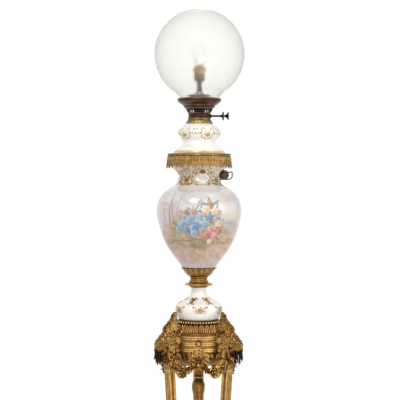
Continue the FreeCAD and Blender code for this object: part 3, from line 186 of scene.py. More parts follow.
def copies(one, turns, places, sizes=1.0):
    """A shell at many places: each copy scaled, turned by its matrix, and moved."""
    points, faces, tones = one
    turns = np.broadcast_to(turns, (len(places), 3, 3))
    sizes = np.broadcast_to(sizes, len(places))
    moved = np.einsum("kij,nj->kni", turns, points) * sizes[:, None, None] + places[:, None]
    steps = (np.arange(len(places)) * len(points))[:, None, None]
    return moved.reshape(-1, 3), (faces[None] + steps).reshape(-1, 4), np.tile(tones, len(places))


def facing(front, tip):
    """Turning matrix that sends +Z to front, and +Y towards tip."""
    front = unit(np.array(front, float))
    across = unit(np.cross(np.broadcast_to(tip, front.shape), front))
    return np.stack([across, np.cross(front, across), front], -1)


def about_axis(degrees):
    """Matrix of a turn about the lamp's axis."""
    c, s = math.cos(math.radians(degrees)), math.sin(math.radians(degrees))
    return np.array([[c, -s, 0], [s, c, 0], [0, 0, 1.0]])


def swung(one, degrees):
    """A shell turned about the lamp's axis."""
    return one[0] @ about_axis(degrees).T, one[1], one[2]


def mirrored(one):
    """A shell with Y turned round, its faces turned back outwards."""
    return one[0] * [1, -1, 1], one[1][:, ::-1], one[2]


def turned(profile, sides, relief=0.0, tone=0.6, axis="z"):
    """Surface of revolution: (radius, height) pairs swept round, plus a relief
    added to the radius. Lying along X, heights are X and it turns about the line
    of the winders."""
    p = np.array(profile, float)
    angle = full_turn(sides + 1)
    radius = p[:, :1] + relief
    radius = np.where(p[:, :1] <= 0, 0.0, radius)
    height = np.broadcast_to(p[:, 1:], radius.shape) if np.ndim(relief) else p[:, 1:]
    x, y = radius * np.cos(angle), radius * np.sin(angle)
    z = np.broadcast_to(height, x.shape)
    if axis == "x":
        return shell(np.stack([z, x, y + WINDER_HEIGHT], -1), tone)
    return shell(np.stack([x, y, z], -1), tone)


def capped(path, rings, tone):
    """Shell over rings along a path, closed by a point at each end."""
    ends = np.repeat(path[[0, -1]][:, None], rings.shape[1], 1)
    tone = np.vstack([tone[:1], tone, tone[-1:]])
    return shell(np.concatenate([ends[:1], rings, ends[1:]]), tone)


def tube(path, radius, sides, up, tone, flat=1.0):
    """Round tube along a path, closed by a point at each end. Its rings stand
    square to the path, flattened by flat across the up side."""
    path = np.array(path, float)
    radius = np.broadcast_to(radius, len(path)).astype(float)
    way = unit(np.gradient(path, axis=0))
    side = unit(np.cross(way, up))
    lift = np.cross(side, way)
    angle = full_turn(sides + 1)
    ring = side[:, None] * np.cos(angle)[:, None] + flat * lift[:, None] * np.sin(angle)[:, None]
    grid = path[:, None] + ring * radius[:, None, None]
    tone = np.reshape(tone, (-1, 1)) if np.ndim(tone) == 1 else tone
    return capped(path, grid, np.broadcast_to(tone, grid.shape[:2]))


def lens(top, thickness, tone=0.6):
    """Closed leaf-like plate: a top sheet, and the same sheet again below it, sunk
    by a thickness that falls to nothing at the edges. Rows run along the leaf."""
    rows, columns = top.shape[:2]
    normal = unit(np.cross(np.gradient(top, axis=0), np.gradient(top, axis=1)))
    s = np.linspace(-1, 1, rows)[:, None]
    t = np.linspace(-1, 1, columns)[None]
    sink = thickness * (1 - s**4) * (1 - t**4)
    below = top + normal * sink[..., None] * (1 if normal[..., 2].mean() < 0 else -1)
    grid = np.concatenate([top, below[:, ::-1]], 1)
    grid = np.concatenate([grid, grid[:, :1]], 1)
    tone = np.broadcast_to(tone, (rows, columns))
    # The lower sheet takes 0.4 of the tone: painted shade under each leaf and petal.
    tone = np.concatenate([tone, 0.4 * tone[:, ::-1], tone[:, :1]], 1)
    return shell(grid, tone)


def beads(count, radius, height, size, tone):
    """Ring of small round beads, each 5 rings of 8 sides."""
    a = full_turn(9)
    b = np.linspace(0, math.pi, 6)[:, None]
    ball = np.stack([np.sin(b) * np.cos(a), np.sin(b) * np.sin(a), np.cos(b) + 0 * a], -1)
    turn = TURN * np.arange(count) / count
    places = np.stack([radius * np.cos(turn), radius * np.sin(turn), np.full(count, height)], -1)
    return copies(shell(size * ball, tone), np.eye(3), places)


def round_ring(count, radius, height, tip=UP, lean=0.0, start=0.0):
    """Turns and places for pieces round the lamp's axis that face outwards, their
    tips up or down, leaning by some degrees from upright."""
    turn = TURN * (np.arange(count) + start) / count
    out = np.stack([np.cos(turn), np.sin(turn), 0 * turn], -1)
    front = out * math.cos(math.radians(lean)) + UP * math.sin(math.radians(lean))
    places = out * radius + UP * height
    return facing(front, np.broadcast_to(tip, front.shape)), places


def leaf(length, width, lobes=3, curl=0.0, cup=0.0, rows=9, columns=7, thickness=0.8, point=0.7):
    """Leaf from the origin along +Y, facing +Z. Its half-width swells as the sine of
    the way along to a power and ripples in lobes, its middle rib and edges stand
    up, and it curls up with the square of the way along."""
    s = upwards(rows)
    t = np.linspace(-1, 1, columns)[None]
    half = 0.5 * width * np.sin(math.pi * s**point) ** 0.8 * (1 + 0.16 * np.cos(TURN * lobes * s))
    half = half + 0.06 * width * (1 - s)
    across = t * half * (1 + 0 * s)
    rise = curl * s**2 + cup * t**2 * half + 0.10 * width * hump(t, 0, 0.22) * (1 - s)
    rise = rise + 0.03 * width * np.cos(TURN * lobes * (s - 0.25 * np.abs(t))) * np.abs(t)
    tone = 0.35 + 0.35 * hump(t, 0, 0.25) + 0.35 * hump(np.abs(t), 1,
        0.35) + 0.12 * np.cos(TURN * lobes * s)
    return lens(np.stack([across, length * s + 0 * t, rise], -1), thickness, np.clip(tone, 0, 1))


def petal(length, width, cup, roll, rows=5, columns=5, thickness=0.5):
    """Rose petal from the origin: broad and round at its end, cupped across, and
    rolled back at the lip."""
    s = upwards(rows)
    t = np.linspace(-1, 1, columns)[None]
    half = 0.5 * width * (0.25 + 0.95 * np.sin(0.62 * math.pi * s)) * np.sqrt(np.clip(1.05 - s**6, 0, 1))
    rise = cup * length * (s**2) + 0.35 * t**2 * half - roll * length * ease(0.6, 1.0, s) ** 2
    y = length * s * (1 - 0.12 * t**2)
    tone = 0.30 + 0.55 * ease(0.45, 1.0, s) + 0.15 * np.abs(t)
    return lens(np.stack([t * half, y, rise + 0 * t], -1), thickness, tone)


def rose(size, rings=((6, 1.0, 12.0), (5, 0.72, 38.0), (4, 0.46, 62.0)), fine=5):
    """Open rose facing +Z: rings of petals, each ring shorter and steeper than the
    one outside it, round a small bud."""
    parts = []
    for place, (count, share, slope) in enumerate(rings):
        one = petal(size * share, 1.15 * size * share, 0.25, 0.22, fine, fine, 0.05 * size)
        turn = TURN * (np.arange(count) + 0.5 * place) / count
        out = np.stack([np.cos(turn), np.sin(turn), 0 * turn], -1)
        s, c = math.sin(math.radians(slope)), math.cos(math.radians(slope))
        tip = out * c + UP * s
        front = -out * s + UP * c
        parts.append(copies(one, facing(front, tip), 0.04 * size * UP * place + 0.06 * size * out))
    bud = turned([(0, 0), (0.16, 0.1), (0.22, 0.3), (0.14, 0.48), (0, 0.52)], 8, 0.0, 0.5)
    parts.append((bud[0] * size, bud[1], bud[2]))
    return joined(*parts)


def weld(one):
    """A shell with points closer than a ten-thousandth of a millimetre made one,
    and faces that this folds up left out. Returns points, four-cornered faces,
    three-cornered faces and tones."""
    points, faces, tones = one
    key = np.round(points * 1e4).astype(np.int64)
    _, first, back = np.unique(key, axis=0, return_index=True, return_inverse=True)
    faces = back.reshape(-1)[faces]
    same = [faces[:, k] == faces[:, (k + 1) % 4] for k in range(4)]
    doubled = np.sum(same, 0)
    crossed = (faces[:, 0] == faces[:, 2]) | (faces[:, 1] == faces[:, 3])
    quads = faces[(doubled == 0) & ~crossed]
    corners = []
    for k in range(4):
        keep = [j for j in range(4) if j != k]
        corners.append(faces[same[k] & (doubled == 1) & ~crossed][:, keep])
    return points[first], quads, np.vstack(corners), tones[first]


def piece(name, one, material, slot, nodes=(), body="stand", sharp=42.0, colours=None):
    """Object from a shell, in metres, smooth but for edges sharper than so many
    degrees. The tones, or colours worked out from the points, become its paint."""
    points, quads, triangles, tones = weld(one)
    mesh = bpy.data.meshes.new(name)
    mesh.vertices.add(len(points))
    mesh.vertices.foreach_set("co", (points * MM).ravel())
    corners = np.concatenate([quads.ravel(), triangles.ravel()])
    sizes = np.concatenate([np.full(len(quads), 4), np.full(len(triangles), 3)])
    starts = np.concatenate([[0], np.cumsum(sizes)[:-1]])
    mesh.loops.add(len(corners))
    mesh.loops.foreach_set("vertex_index", corners)
    mesh.polygons.add(len(sizes))
    mesh.polygons.foreach_set("loop_start", starts)
    mesh.polygons.foreach_set("loop_total", sizes)
    mesh.polygons.foreach_set("use_smooth", np.ones(len(sizes), bool))
    mesh.update(calc_edges=True)
    mesh.set_sharp_from_angle(angle=math.radians(sharp))
    if colours is None:
        paint = np.repeat(np.clip(tones, -0.7, 1)[:, None], 4, 1)
    else:
        paint = colours(points)
    paint[:, 3] = 1.0
    layer = mesh.color_attributes.new("paint", "FLOAT_COLOR", "POINT")
    layer.data.foreach_set("color", paint.astype(np.float32).ravel())
    mesh.materials.append(material)
    made = bpy.data.objects.new(name, mesh)
    bpy.context.collection.objects.link(made)
    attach(made, body)
    if nodes:
        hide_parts(*nodes)
    return made


# Finishes

def screen(red, green, blue):
    """Colour as a screen shows it, from 0 to 255, as the light values that shaders take."""
    c = np.array([red, green, blue]) / 255
    return (*np.where(c <= 0.04045, c / 12.92, ((c + 0.055) / 1.055) ** 2.4), 1.0)


def put(tree, socket, value):
    """Links a socket to another, or sets its own value."""
    if isinstance(value, bpy.types.NodeSocket):
        tree.links.new(value, socket)
    else:
        socket.default_value = value


def node(tree, kind, inputs=(), **settings):
    """Shader node with its settings and inputs."""
    made = tree.nodes.new("ShaderNode" + kind)
    for name, value in settings.items():
        setattr(made, name, value)
    for name, value in dict(inputs).items():
        put(tree, made.inputs[name], value)
    return made


def sum_of(tree, operation, first, second, clamp=False):
    """Result of a Math node."""
    return node(tree, "Math", {0: first, 1: second}, operation=operation, use_clamp=clamp).outputs[0]


def mixed(tree, share, a, b):
    """Colour between a and b."""
    return node(tree, "Mix", {0: share, 6: a, 7: b}, data_type="RGBA").outputs[2]


def speckle(tree, place, scale, detail, roughness=0.6):
    """Noise from 0 to 1 at so many lumps to the metre."""
    made = node(tree, "TexNoise", {"Vector": place, "Scale": scale, "Detail": detail,
        "Roughness": roughness})
    return made.outputs[0]


def new_group(name, inputs, outputs):
    """Node group with named sockets: its tree, what comes in and what goes out."""
    tree = bpy.data.node_groups.new(name, "ShaderNodeTree")
    for label, kind in inputs.items():
        tree.interface.new_socket(label, in_out="INPUT", socket_type="NodeSocket" + kind)
    for label, kind in outputs.items():
        tree.interface.new_socket(label, in_out="OUTPUT", socket_type="NodeSocket" + kind)
    return tree, tree.nodes.new("NodeGroupInput").outputs, tree.nodes.new("NodeGroupOutput").inputs


def relief_shade_and_wear_group():
    """Old gilding: the deep colour in hollows, the bright one on rubbed edges, the
    tone pushed up and down by lumps of noise, rougher where it is dark. The deep
    colour is patina with painted shade, the bright one wear with painted highlights."""
    tree, given, out = new_group("relief_shade_and_wear", {"Place": "Vector", "Tone": "Float", "Deep": "Color",
        "Middle": "Color", "Bright": "Color", "Lumps": "Float", "Shiny": "Float", "Dull": "Float"},
        {"Color": "Color", "Roughness": "Float", "Height": "Float"})
    lumps = speckle(tree, given["Place"], given["Lumps"], 5.0, 0.65)
    fine = speckle(tree, given["Place"], sum_of(tree, "MULTIPLY", given["Lumps"], 9.0), 3.0)
    push = sum_of(tree, "MULTIPLY", sum_of(tree, "SUBTRACT", lumps, 0.5), 0.75)
    push = sum_of(tree, "ADD", push, sum_of(tree, "MULTIPLY", sum_of(tree, "SUBTRACT", fine, 0.5), 0.35))
    tone = sum_of(tree, "ADD", given["Tone"], push, clamp=True)
    low = sum_of(tree, "MULTIPLY", tone, 2.0, clamp=True)
    high = sum_of(tree, "MULTIPLY", sum_of(tree, "SUBTRACT", tone, 0.5), 2.0, clamp=True)
    colour = mixed(tree, high, mixed(tree, low, given["Deep"], given["Middle"]), given["Bright"])
    tree.links.new(colour, out["Color"])
    spread = sum_of(tree, "MULTIPLY", sum_of(tree, "SUBTRACT", given["Dull"], given["Shiny"]),
        sum_of(tree, "SUBTRACT", 1.0, tone))
    tree.links.new(sum_of(tree, "ADD", given["Shiny"], spread), out["Roughness"])
    tree.links.new(sum_of(tree, "ADD", fine, sum_of(tree, "MULTIPLY", lumps, 2.0)), out["Height"])
    return tree


def glaze_group():
    """Fired glaze: a colour with faint cloudy tints, and the soft waves of its skin."""
    tree, given, out = new_group("fired_glaze", {"Place": "Vector", "Color": "Color", "Tint": "Color",
        "Lumps": "Float", "Share": "Float"}, {"Color": "Color", "Roughness": "Float", "Height": "Float"})
    lumps = speckle(tree, given["Place"], given["Lumps"], 4.0)
    fine = speckle(tree, given["Place"], sum_of(tree, "MULTIPLY", given["Lumps"], 14.0), 2.0)
    share = sum_of(tree, "MULTIPLY", sum_of(tree, "SUBTRACT", lumps, 0.35, clamp=True), given["Share"])
    tree.links.new(mixed(tree, share, given["Color"], given["Tint"]), out["Color"])
    rough = sum_of(tree, "ADD", 0.12, sum_of(tree, "MULTIPLY", fine, 0.10))
    tree.links.new(rough, out["Roughness"])
    tree.links.new(lumps, out["Height"])
    return tree


RELIEF_SHADE_AND_WEAR = relief_shade_and_wear_group()
GLAZE = glaze_group()


def new_finish(name, bump, reach, **sockets):
    """Material with one shader: returns it, its tree, the shader and a function that
    links a height to the shader's bump."""
    material = bpy.data.materials.new(name)
    material.use_nodes = True
    tree = material.node_tree
    tree.nodes.clear()
    shader = node(tree, "BsdfPrincipled")
    for label, value in sockets.items():
        shader.inputs[label.replace("_", " ")].default_value = value
    node(tree, "OutputMaterial", {"Surface": shader.outputs[0]})
    place = node(tree, "TexCoord").outputs["Object"]

    def raised(height):
        made = node(tree, "Bump", {"Height": height, "Strength": bump, "Distance": reach})
        tree.links.new(made.outputs[0], shader.inputs["Normal"])

    return material, tree, shader, place, raised


def shade_and_wear_metal(name, deep, middle, bright, lumps=60.0, shiny=0.26, dull=0.55, bump=0.25, tone=None,
        **sockets):
    """Metal whose colour follows the tone painted on its mesh, or one tone: painted shade in hollows and
    painted highlights on edges, with patina and wear.
    """
    material, tree, shader, place, raised = new_finish(name, bump, 0.0006, **sockets)
    made = node(tree, "Group", node_tree=RELIEF_SHADE_AND_WEAR)
    if tone is None:
        tone = node(tree, "Attribute", attribute_name="paint").outputs["Fac"]
    for label, value in {"Place": place, "Tone": tone, "Deep": screen(*deep), "Middle": screen(*middle),
            "Bright": screen(*bright), "Lumps": lumps, "Shiny": shiny, "Dull": dull}.items():
        put(tree, made.inputs[label], value)
    tree.links.new(made.outputs["Color"], shader.inputs["Base Color"])
    tree.links.new(made.outputs["Roughness"], shader.inputs["Roughness"])
    raised(made.outputs["Height"])
    return material


def glazed(name, colour, tint, lumps, share, bump=0.06, skin_rough=0.06):
    """Glossy porcelain of one colour, or of the colours painted on its mesh."""
    material, tree, shader, place, raised = new_finish(name, bump, 0.0008, Metallic=0.0, IOR=1.5,
        Coat_Weight=0.35, Coat_Roughness=skin_rough)
    if colour is None:
        colour = node(tree, "Attribute", attribute_name="paint").outputs["Color"]
    made = node(tree, "Group", node_tree=GLAZE)
    for label, value in {"Place": place, "Color": colour, "Tint": tint, "Lumps": lumps,
            "Share": share}.items():
        put(tree, made.inputs[label], value)
    tree.links.new(made.outputs["Color"], shader.inputs["Base Color"])
    tree.links.new(made.outputs["Roughness"], shader.inputs["Roughness"])
    raised(made.outputs["Height"])
    return material


def glass(name, colour, edge, bend, rough, through_share, lumps=300.0, bump=0.05, **sockets):
    """Glass whose roughness wavers a little with its frosting, and whose colour goes
    over to that of its edge where it is seen at a slant."""
    material, tree, shader, place, raised = new_finish(name, bump, 0.0004, Metallic=0.0, IOR=bend,
        Transmission_Weight=through_share, **sockets)
    slant = node(tree, "LayerWeight", {"Blend": 0.22}).outputs["Facing"]
    tree.links.new(mixed(tree, slant, colour, edge), shader.inputs["Base Color"])
    grain = speckle(tree, place, lumps, 3.0)
    spread = sum_of(tree, "MULTIPLY", sum_of(tree, "SUBTRACT", grain, 0.5), 0.3 * rough)
    tree.links.new(sum_of(tree, "ADD", rough, spread), shader.inputs["Roughness"])
    raised(grain)
    return material


def striped(name, dark, light, lumps, rough, bump, **sockets):
    """Cloth or moulded stuff between two colours by the tone painted on its mesh
    and a fine noise."""
    material, tree, shader, place, raised = new_finish(name, bump, 0.0004, Metallic=0.0, **sockets)
    tone = node(tree, "Attribute", attribute_name="paint").outputs["Fac"]
    grain = speckle(tree, place, lumps, 4.0)
    share = sum_of(tree, "ADD", tone, sum_of(tree, "MULTIPLY", sum_of(tree, "SUBTRACT", grain, 0.5), 0.6),
        clamp=True)
    tree.links.new(mixed(tree, share, screen(*dark), screen(*light)), shader.inputs["Base Color"])
    tree.links.new(sum_of(tree, "ADD", rough, sum_of(tree, "MULTIPLY", grain, 0.15)),
        shader.inputs["Roughness"])
    raised(grain)
    return material


gilding = shade_and_wear_metal("worn_gilding", (44, 26, 9), (142, 101, 47), (228, 186, 112), Metallic=0.85,
    Specular_IOR_Level=0.5)
band_gilding = shade_and_wear_metal("band_gilding", (46, 31, 12), (142, 108, 58), (214, 176, 112), 60.0, 0.26,
    0.55, Metallic=0.85)
pale_gilding = shade_and_wear_metal("pale_gilding", (66, 48, 20), (146, 122, 70), (206, 182, 120), 45.0, 0.25, 0.5,
    Metallic=0.85)
cove_gilding = shade_and_wear_metal("cove_gilding", (96, 76, 42), (176, 156, 108), (244, 230, 194), 45.0, 0.30,
    0.5, Metallic=0.7)
burner_bronze = shade_and_wear_metal("burner_bronze", (14, 8, 5), (70, 40, 25), (156, 102, 66), 50.0, 0.20, 0.42,
    0.15, Metallic=0.8, Coat_Weight=0.2, Coat_Roughness=0.15)
winder_bronze = shade_and_wear_metal("winder_bronze", (14, 12, 11), (38, 32, 28), (92, 78, 62), 80.0, 0.30, 0.55,
    0.2, Metallic=0.8)
fired_gold = shade_and_wear_metal("fired_gold", (100, 72, 34), (158, 122, 68), (208, 176, 118), 140.0, 0.25, 0.45,
    0.1, Metallic=0.65)
red_gold = shade_and_wear_metal("red_gold", (92, 34, 16), (158, 82, 44), (206, 142, 84), 160.0, 0.28, 0.5, 0.1,
    Metallic=0.4)
holder_brass = shade_and_wear_metal("holder_brass", (48, 38, 28), (122, 88, 48), (206, 170, 118), 70.0, 0.25, 0.5,
    0.1, Metallic=0.9)
plate_metal = shade_and_wear_metal("plate_metal", (52, 52, 50), (112, 112, 108), (160, 160, 154), 90.0, 0.3, 0.55,
    0.1, Metallic=0.9)
plain_steel = shade_and_wear_metal("plain_steel", (60, 56, 50), (118, 114, 106), (170, 166, 158), 90.0, 0.35, 0.6,
    0.2, 0.55, Metallic=0.9)
hidden_bronze = shade_and_wear_metal("hidden_bronze", (30, 18, 12), (84, 52, 32), (150, 104, 62), 70.0, 0.3, 0.6,
    0.2, 0.45, Metallic=0.85)
GILT = gilding, "gilt_bronze"
BRASS = holder_brass, "holder_brass"
white_glaze = glazed("white_glaze", screen(251, 249, 243), screen(236, 228, 212), 22.0, 0.6)
painted_glaze = glazed("painted_glaze", None, screen(206, 178, 150), 70.0, 0.35, 0.10, 0.18)
# The globe's faint emission is a painted glow: no lamp inside it is lit.
frosted_glass = glass("frosted_glass", screen(252, 252, 249), screen(234, 233, 228), 1.16, 0.30, 0.95,
    Emission_Color=screen(255, 252, 240), Emission_Strength=0.015)
clear_glass = glass("clear_glass", screen(248, 248, 246), screen(236, 236, 232), 1.45, 0.02, 1.0, 40.0,
    0.01)
cotton_braid = striped("cotton_braid", (58, 40, 20), (156, 120, 72), 900.0, 0.75, 0.3, Sheen_Weight=0.3,
    Sheen_Roughness=0.5)
tie_tape = striped("tie_tape", (48, 34, 20), (112, 84, 52), 700.0, 0.8, 0.3, Sheen_Weight=0.3)
dark_bakelite = striped("dark_bakelite", (46, 29, 15), (122, 84, 50), 60.0, 0.45, 0.08, Coat_Weight=0.04,
    Coat_Roughness=0.2)
plain_cotton = striped("plain_cotton", (66, 47, 26), (150, 120, 78), 700.0, 0.8, 0.3)


# Flex, hank and plug

FLEX_RADIUS = 1.5
STRAP_PLACE = 14.0
HANK_TURN = math.radians(75.0)
HANK_ALONG = np.array([math.sin(HANK_TURN), -math.cos(HANK_TURN), 0.0])
HANK_OUT = np.array([math.cos(HANK_TURN), math.sin(HANK_TURN), 0.0])
HANK_MIDDLE = 75.0 * HANK_OUT + 16.0 * HANK_ALONG + 1234.2 * UP
HANK_RUN = 60.0
HANK_PITCH = 3.45
HANK_LAYERS = 4
HANK_WIDEST = 4.5 + 2 * HANK_PITCH
FLEX_EXIT = np.array([-21.63, 59.43, 1242.26])
FLEX_WAY = np.array([-0.2418, 0.6645, -0.7071])
PLUG_NOSE = np.array([59.5, 13.0, 1233.5])


def in_hank(along_run, level, layer):
    """Points of the hank, from places along its runs, upwards, and in its layers."""
    across = (layer - 0.5 * (HANK_LAYERS - 1)) * HANK_PITCH
    run, level, across = np.broadcast_arrays(along_run, level, across)
    return HANK_MIDDLE + run[:, None] * HANK_ALONG + level[:, None] * UP + across[:, None] * HANK_OUT


def hank_fold(way, start, end, layer):
    """Six points round a half turn, a little outside it, since the smooth line
    passes inside its points."""
    radius = 0.5 * abs(end - start) * 1.035
    angle = np.radians(np.arange(-75, 76, 30)) * np.sign(end - start)
    return in_hank(way * (0.5 * HANK_RUN + radius * np.cos(angle)), 0.5 * (start + end)
        + radius * np.sin(angle), layer)


def hank_points():
    """Loops of four points a run and six a fold. Each loop is a pitch narrower, or
    wider in every other layer, and a layer's last upper run climbs to the next."""
    places = np.array([-20.0, -7.0, 7.0, 20.0])
    rows = []
    size, step = HANK_WIDEST, -HANK_PITCH
    for layer in range(HANK_LAYERS):
        loops = 3 if layer == 0 else 2
        for loop in range(loops):
            last = loop == loops - 1
            rows.append(in_hank(places, -size, layer))
            if last and layer == HANK_LAYERS - 1:
                return np.vstack(rows)
            rows.append(hank_fold(1, -size, size, layer))
            climb = layer + np.array([0.08, 0.36, 0.64, 0.92]) * last
            rows.append(in_hank(-places, size, climb))
            step = -step if last else step
            rows.append(hank_fold(-1, size, -(size + step), layer + last))
            size += step


def flex_points():
    """The flex's whole route: the bush, the hank, and round to the plug's nose."""
    start = in_hank(np.array([-0.5 * HANK_RUN]), -HANK_WIDEST, 0)[0]
    end = in_hank(np.array([0.5 * HANK_RUN]), -HANK_WIDEST, HANK_LAYERS - 1)[0]
    before = [FLEX_EXIT, FLEX_EXIT + 8.0 * FLEX_WAY, (-20.5, 73.0, 1229.0), start - 14.0 * HANK_ALONG,
        start]
    after = [end, end + 12.0 * HANK_ALONG, (83.0, 52.0, 1226.0), (84.0, 38.0, 1231.0),
        (83.3, 22.0, 1237.0), (82.6, 9.5, 1240.0), (82.1, -0.6, 1240.5), (75.6, -7.3, 1239.5),
        (66.4, -7.3, 1236.5), PLUG_NOSE - (0, 13.5, 0), PLUG_NOSE]
    return np.vstack([before, hank_points(), after])


def smooth_line(points):
    """Points read from a smooth curve with these control points, in millimetres."""
    curve = bpy.data.curves.new("flex_line", "CURVE")
    curve.dimensions = "3D"
    spline = curve.splines.new("NURBS")
    spline.points.add(len(points) - 1)
    spline.points.foreach_set("co", np.column_stack([points, np.ones(len(points))]).ravel())
    spline.order_u = 3
    spline.use_endpoint_u = True
    spline.resolution_u = 12
    line = bpy.data.objects.new("flex_line", curve)
    bpy.context.collection.objects.link(line)
    mesh = bpy.data.meshes.new_from_object(line)
    read = np.zeros(3 * len(mesh.vertices))
    mesh.vertices.foreach_get("co", read)
    bpy.data.objects.remove(line)
    bpy.data.curves.remove(curve)
    bpy.data.meshes.remove(mesh)
    return read.reshape(-1, 3)


def evenly(path, step):
    """Path read again at even steps of its length."""
    way = way_along(path)
    at = np.linspace(0, way[-1], int(way[-1] / step) + 1)
    return np.stack([np.interp(at, way, path[:, k]) for k in range(3)], -1)


def braided(path, radius):
    """Tube along a path whose rings never twist: each ring's side is the last one's,
    made square to the new way. Two families of strands cross on it as the product
    of two waves, and lift its skin."""
    way = unit(np.gradient(path, axis=0))
    side = np.zeros_like(path)
    side[0] = unit(np.cross(way[0], (1.0, 0.2, 0.1)))
    for row in range(1, len(path)):
        last = side[row - 1]
        side[row] = unit(last - way[row] * np.dot(last, way[row]))
    lift = np.cross(way, side)
    angle = full_turn(17)
    gone = way_along(path)[:, None]
    weave = np.sin(4 * angle + TURN * gone / 4.2) * np.sin(4 * angle - TURN * gone / 4.2)
    size = radius * (0.97 + 0.05 * weave)
    grid = path[:, None] + side[:, None] * (size * np.cos(angle))[..., None] \
        + lift[:, None] * (size * np.sin(angle))[..., None]
    return capped(path, grid, weave * 0.45 + 0.5)


flex_path = evenly(smooth_line(flex_points()), 0.75)
flex = piece("flex", braided(flex_path, FLEX_RADIUS), cotton_braid, "flex_fabric",
    ("supply_flex", "flex_hank", "plug_flex"), sharp=180.0)


def tie_band():
    """Strap round the hank: a rounded oblong path in the level and outward
    directions, swept with a flat section 7 wide, with a woven ripple across."""
    angle = full_turn(97)
    high, deep = HANK_WIDEST + 2.0, 0.5 * (HANK_LAYERS - 1) * HANK_PITCH + 2.0
    c, s = np.cos(angle), np.sin(angle)
    level, out = high * squared(c, 0.35), deep * squared(s, 0.35)
    around = full_turn(33)
    width, thick = 3.5 * squared(np.cos(around), 0.3), 0.45 * squared(np.sin(around), 0.6)
    grow = 1 + (thick[None] + 0.08 * np.sin(44 * angle)[:, None]) / high
    grow_out = 1 + (thick[None] + 0.08 * np.sin(44 * angle)[:, None]) / deep
    grid = (HANK_MIDDLE + (width[None, :, None] - STRAP_PLACE) * HANK_ALONG + (
        level[:, None] * grow)[..., None] * UP + (out[:, None] * grow_out)[..., None] * HANK_OUT)
    tone = 0.5 + 0.4 * np.sin(44 * angle)[:, None] * np.sin(9 * width)[None]
    return shell(grid, tone, HANK_MIDDLE - STRAP_PLACE * HANK_ALONG)


def knot():
    """Small overhand knot on the strap's outer side: a rounded lump and two ends."""
    middle = HANK_MIDDLE - STRAP_PLACE * HANK_ALONG + 8.3 * HANK_OUT
    lump = turned([(0, -2.6), (2.2, -2.0), (3.0, 0), (2.2, 2.0), (0, 2.6)], 12, 0.0, 0.5)
    turn = facing(HANK_ALONG, HANK_OUT)
    lump = copies(lump, turn, middle[None], 0.8)
    ends = [tube(through([middle, middle + 2.0 * HANK_OUT + a * HANK_ALONG - 5.0 * UP,
        middle + 0.6 * HANK_OUT + 1.6 * a * HANK_ALONG - 13.0 * UP], 12), np.linspace(1.6, 1.3, 12), 8,
        HANK_OUT, 0.5, 0.4) for a in (-3.0, 2.0)]
    return joined(lump, *ends)


hank_tie = piece("hank_tie_strap", joined(tie_band(), knot()), tie_tape, "tie_cloth", ("hank_tie",))


def pointing(one, place, way, tip=UP):
    """Shell whose +Z is sent along a way, and whose origin goes to a place."""
    return copies(one, facing(way, tip), np.array(place, float)[None])


def plug():
    """Round two-pin plug: a tapered nose, a barrel with twelve shallow grips, a
    rolled edge and a flat face."""
    profile = softened([(1.5, 0), (4.5, 0), (5.2, 3.0), (5.2, 4.2), (6.4, 5.4), (10.0, 11.0), (10.0, 21.5),
        (9.3, 24.0), (0, 24.0)], 0.8)
    profile = along(profile, 0.6)
    angle = full_turn(97)
    grips = -0.55 * np.maximum(0, np.cos(12 * angle))[None] * hump(profile[:, 1:], 15.5, 4.5)
    # The lighter tone on the rolled edge is a painted highlight.
    body = turned(profile, 96, grips, 0.35 + 0.4 * hump(profile[:, 1:], 22.5, 1.0))
    return pointing(body, PLUG_NOSE, (0, 1, 0))


def plug_pin():
    """Brass pin with a rounded end."""
    return turned(softened([(0, 0), (2.0, 0), (2.0, 12.9), (1.3, 14.0), (0, 14.0)], 0.4), 20, 0.0, 0.7)


plug_body = piece("plug_shell", plug(), dark_bakelite, "brown_bakelite", ("plug_body",))
pins = joined(*[pointing(plug_pin(), PLUG_NOSE + (x, 24.0, 0), (0, 1, 0)) for x in (-5.5, 5.5)])
plug_pins = piece("plug_contacts", pins, *BRASS, ("plug_pins",))
bush = turned(softened([(1.5, 0), (3.4, 0), (3.4, 10.0), (5.0, 10.0), (4.4, 12.0), (1.5, 12.0), (1.5, 0)],
    0.4), 32)
piece("flex_ferrule", pointing(bush, FLEX_EXIT - 12.0 * FLEX_WAY, FLEX_WAY), *BRASS, ("flex_bush",))


# Burner and shade

WINDER_HEIGHT = 1380.0


def globe():
    """Blown globe: two spheres of one centre between a straight neck and an open
    mouth, joined by rounded lips."""
    centre, outer, inner = 1534.46, 112.5, 109.5
    low = math.acos(62.0 / outer)
    high = math.acos(32.0 / outer)
    angle = np.linspace(-low, high, 90)
    outside = np.stack([outer * np.cos(angle), centre + outer * np.sin(angle)], -1)
    angle = np.linspace(math.acos(32.5 / inner), -math.acos(58.6 / inner), 90)
    inside = np.stack([inner * np.cos(angle), centre + inner * np.sin(angle)], -1)
    lip = [(31.2, outside[-1, 1] - 0.2), (31.0, outside[-1, 1] - 1.6)]
    foot = [(45.4, 1419.4), (46.2, 1418.8), (47.6, 1418.8), (48.4, 1419.4)]
    bore = through([(58.6, 1442.0), (52.0, 1434.9), (47.9, 1429.4), (45.8, 1424.2), (45.4, 1419.4)], 24)
    neck = through([(48.4, 1419.6), (48.7, 1423.5), (50.6, 1428.0), (54.6, 1433.0), (61.0, 1440.0)], 24)
    return turned(np.vstack([foot, neck[:-1], outside, lip, inside, bore[1:]]), 160)


piece("frosted_globe", globe(), frosted_glass, "frosted_glass", ("globe_shade",), "globe")


def bulb():
    """Clear round bulb, drawn in to its cap."""
    side = through([(10.6, 1506.6), (11.2, 1513.0), (16.4, 1520.8), (21.3, 1529.2), (22.5, 1539.0),
        (19.3, 1549.8), (11.7, 1557.9), (2.6, 1560.5)], 50)
    return turned(np.vstack([[(0, 1506.6)], side, [(0, 1560.6)]]), 64)


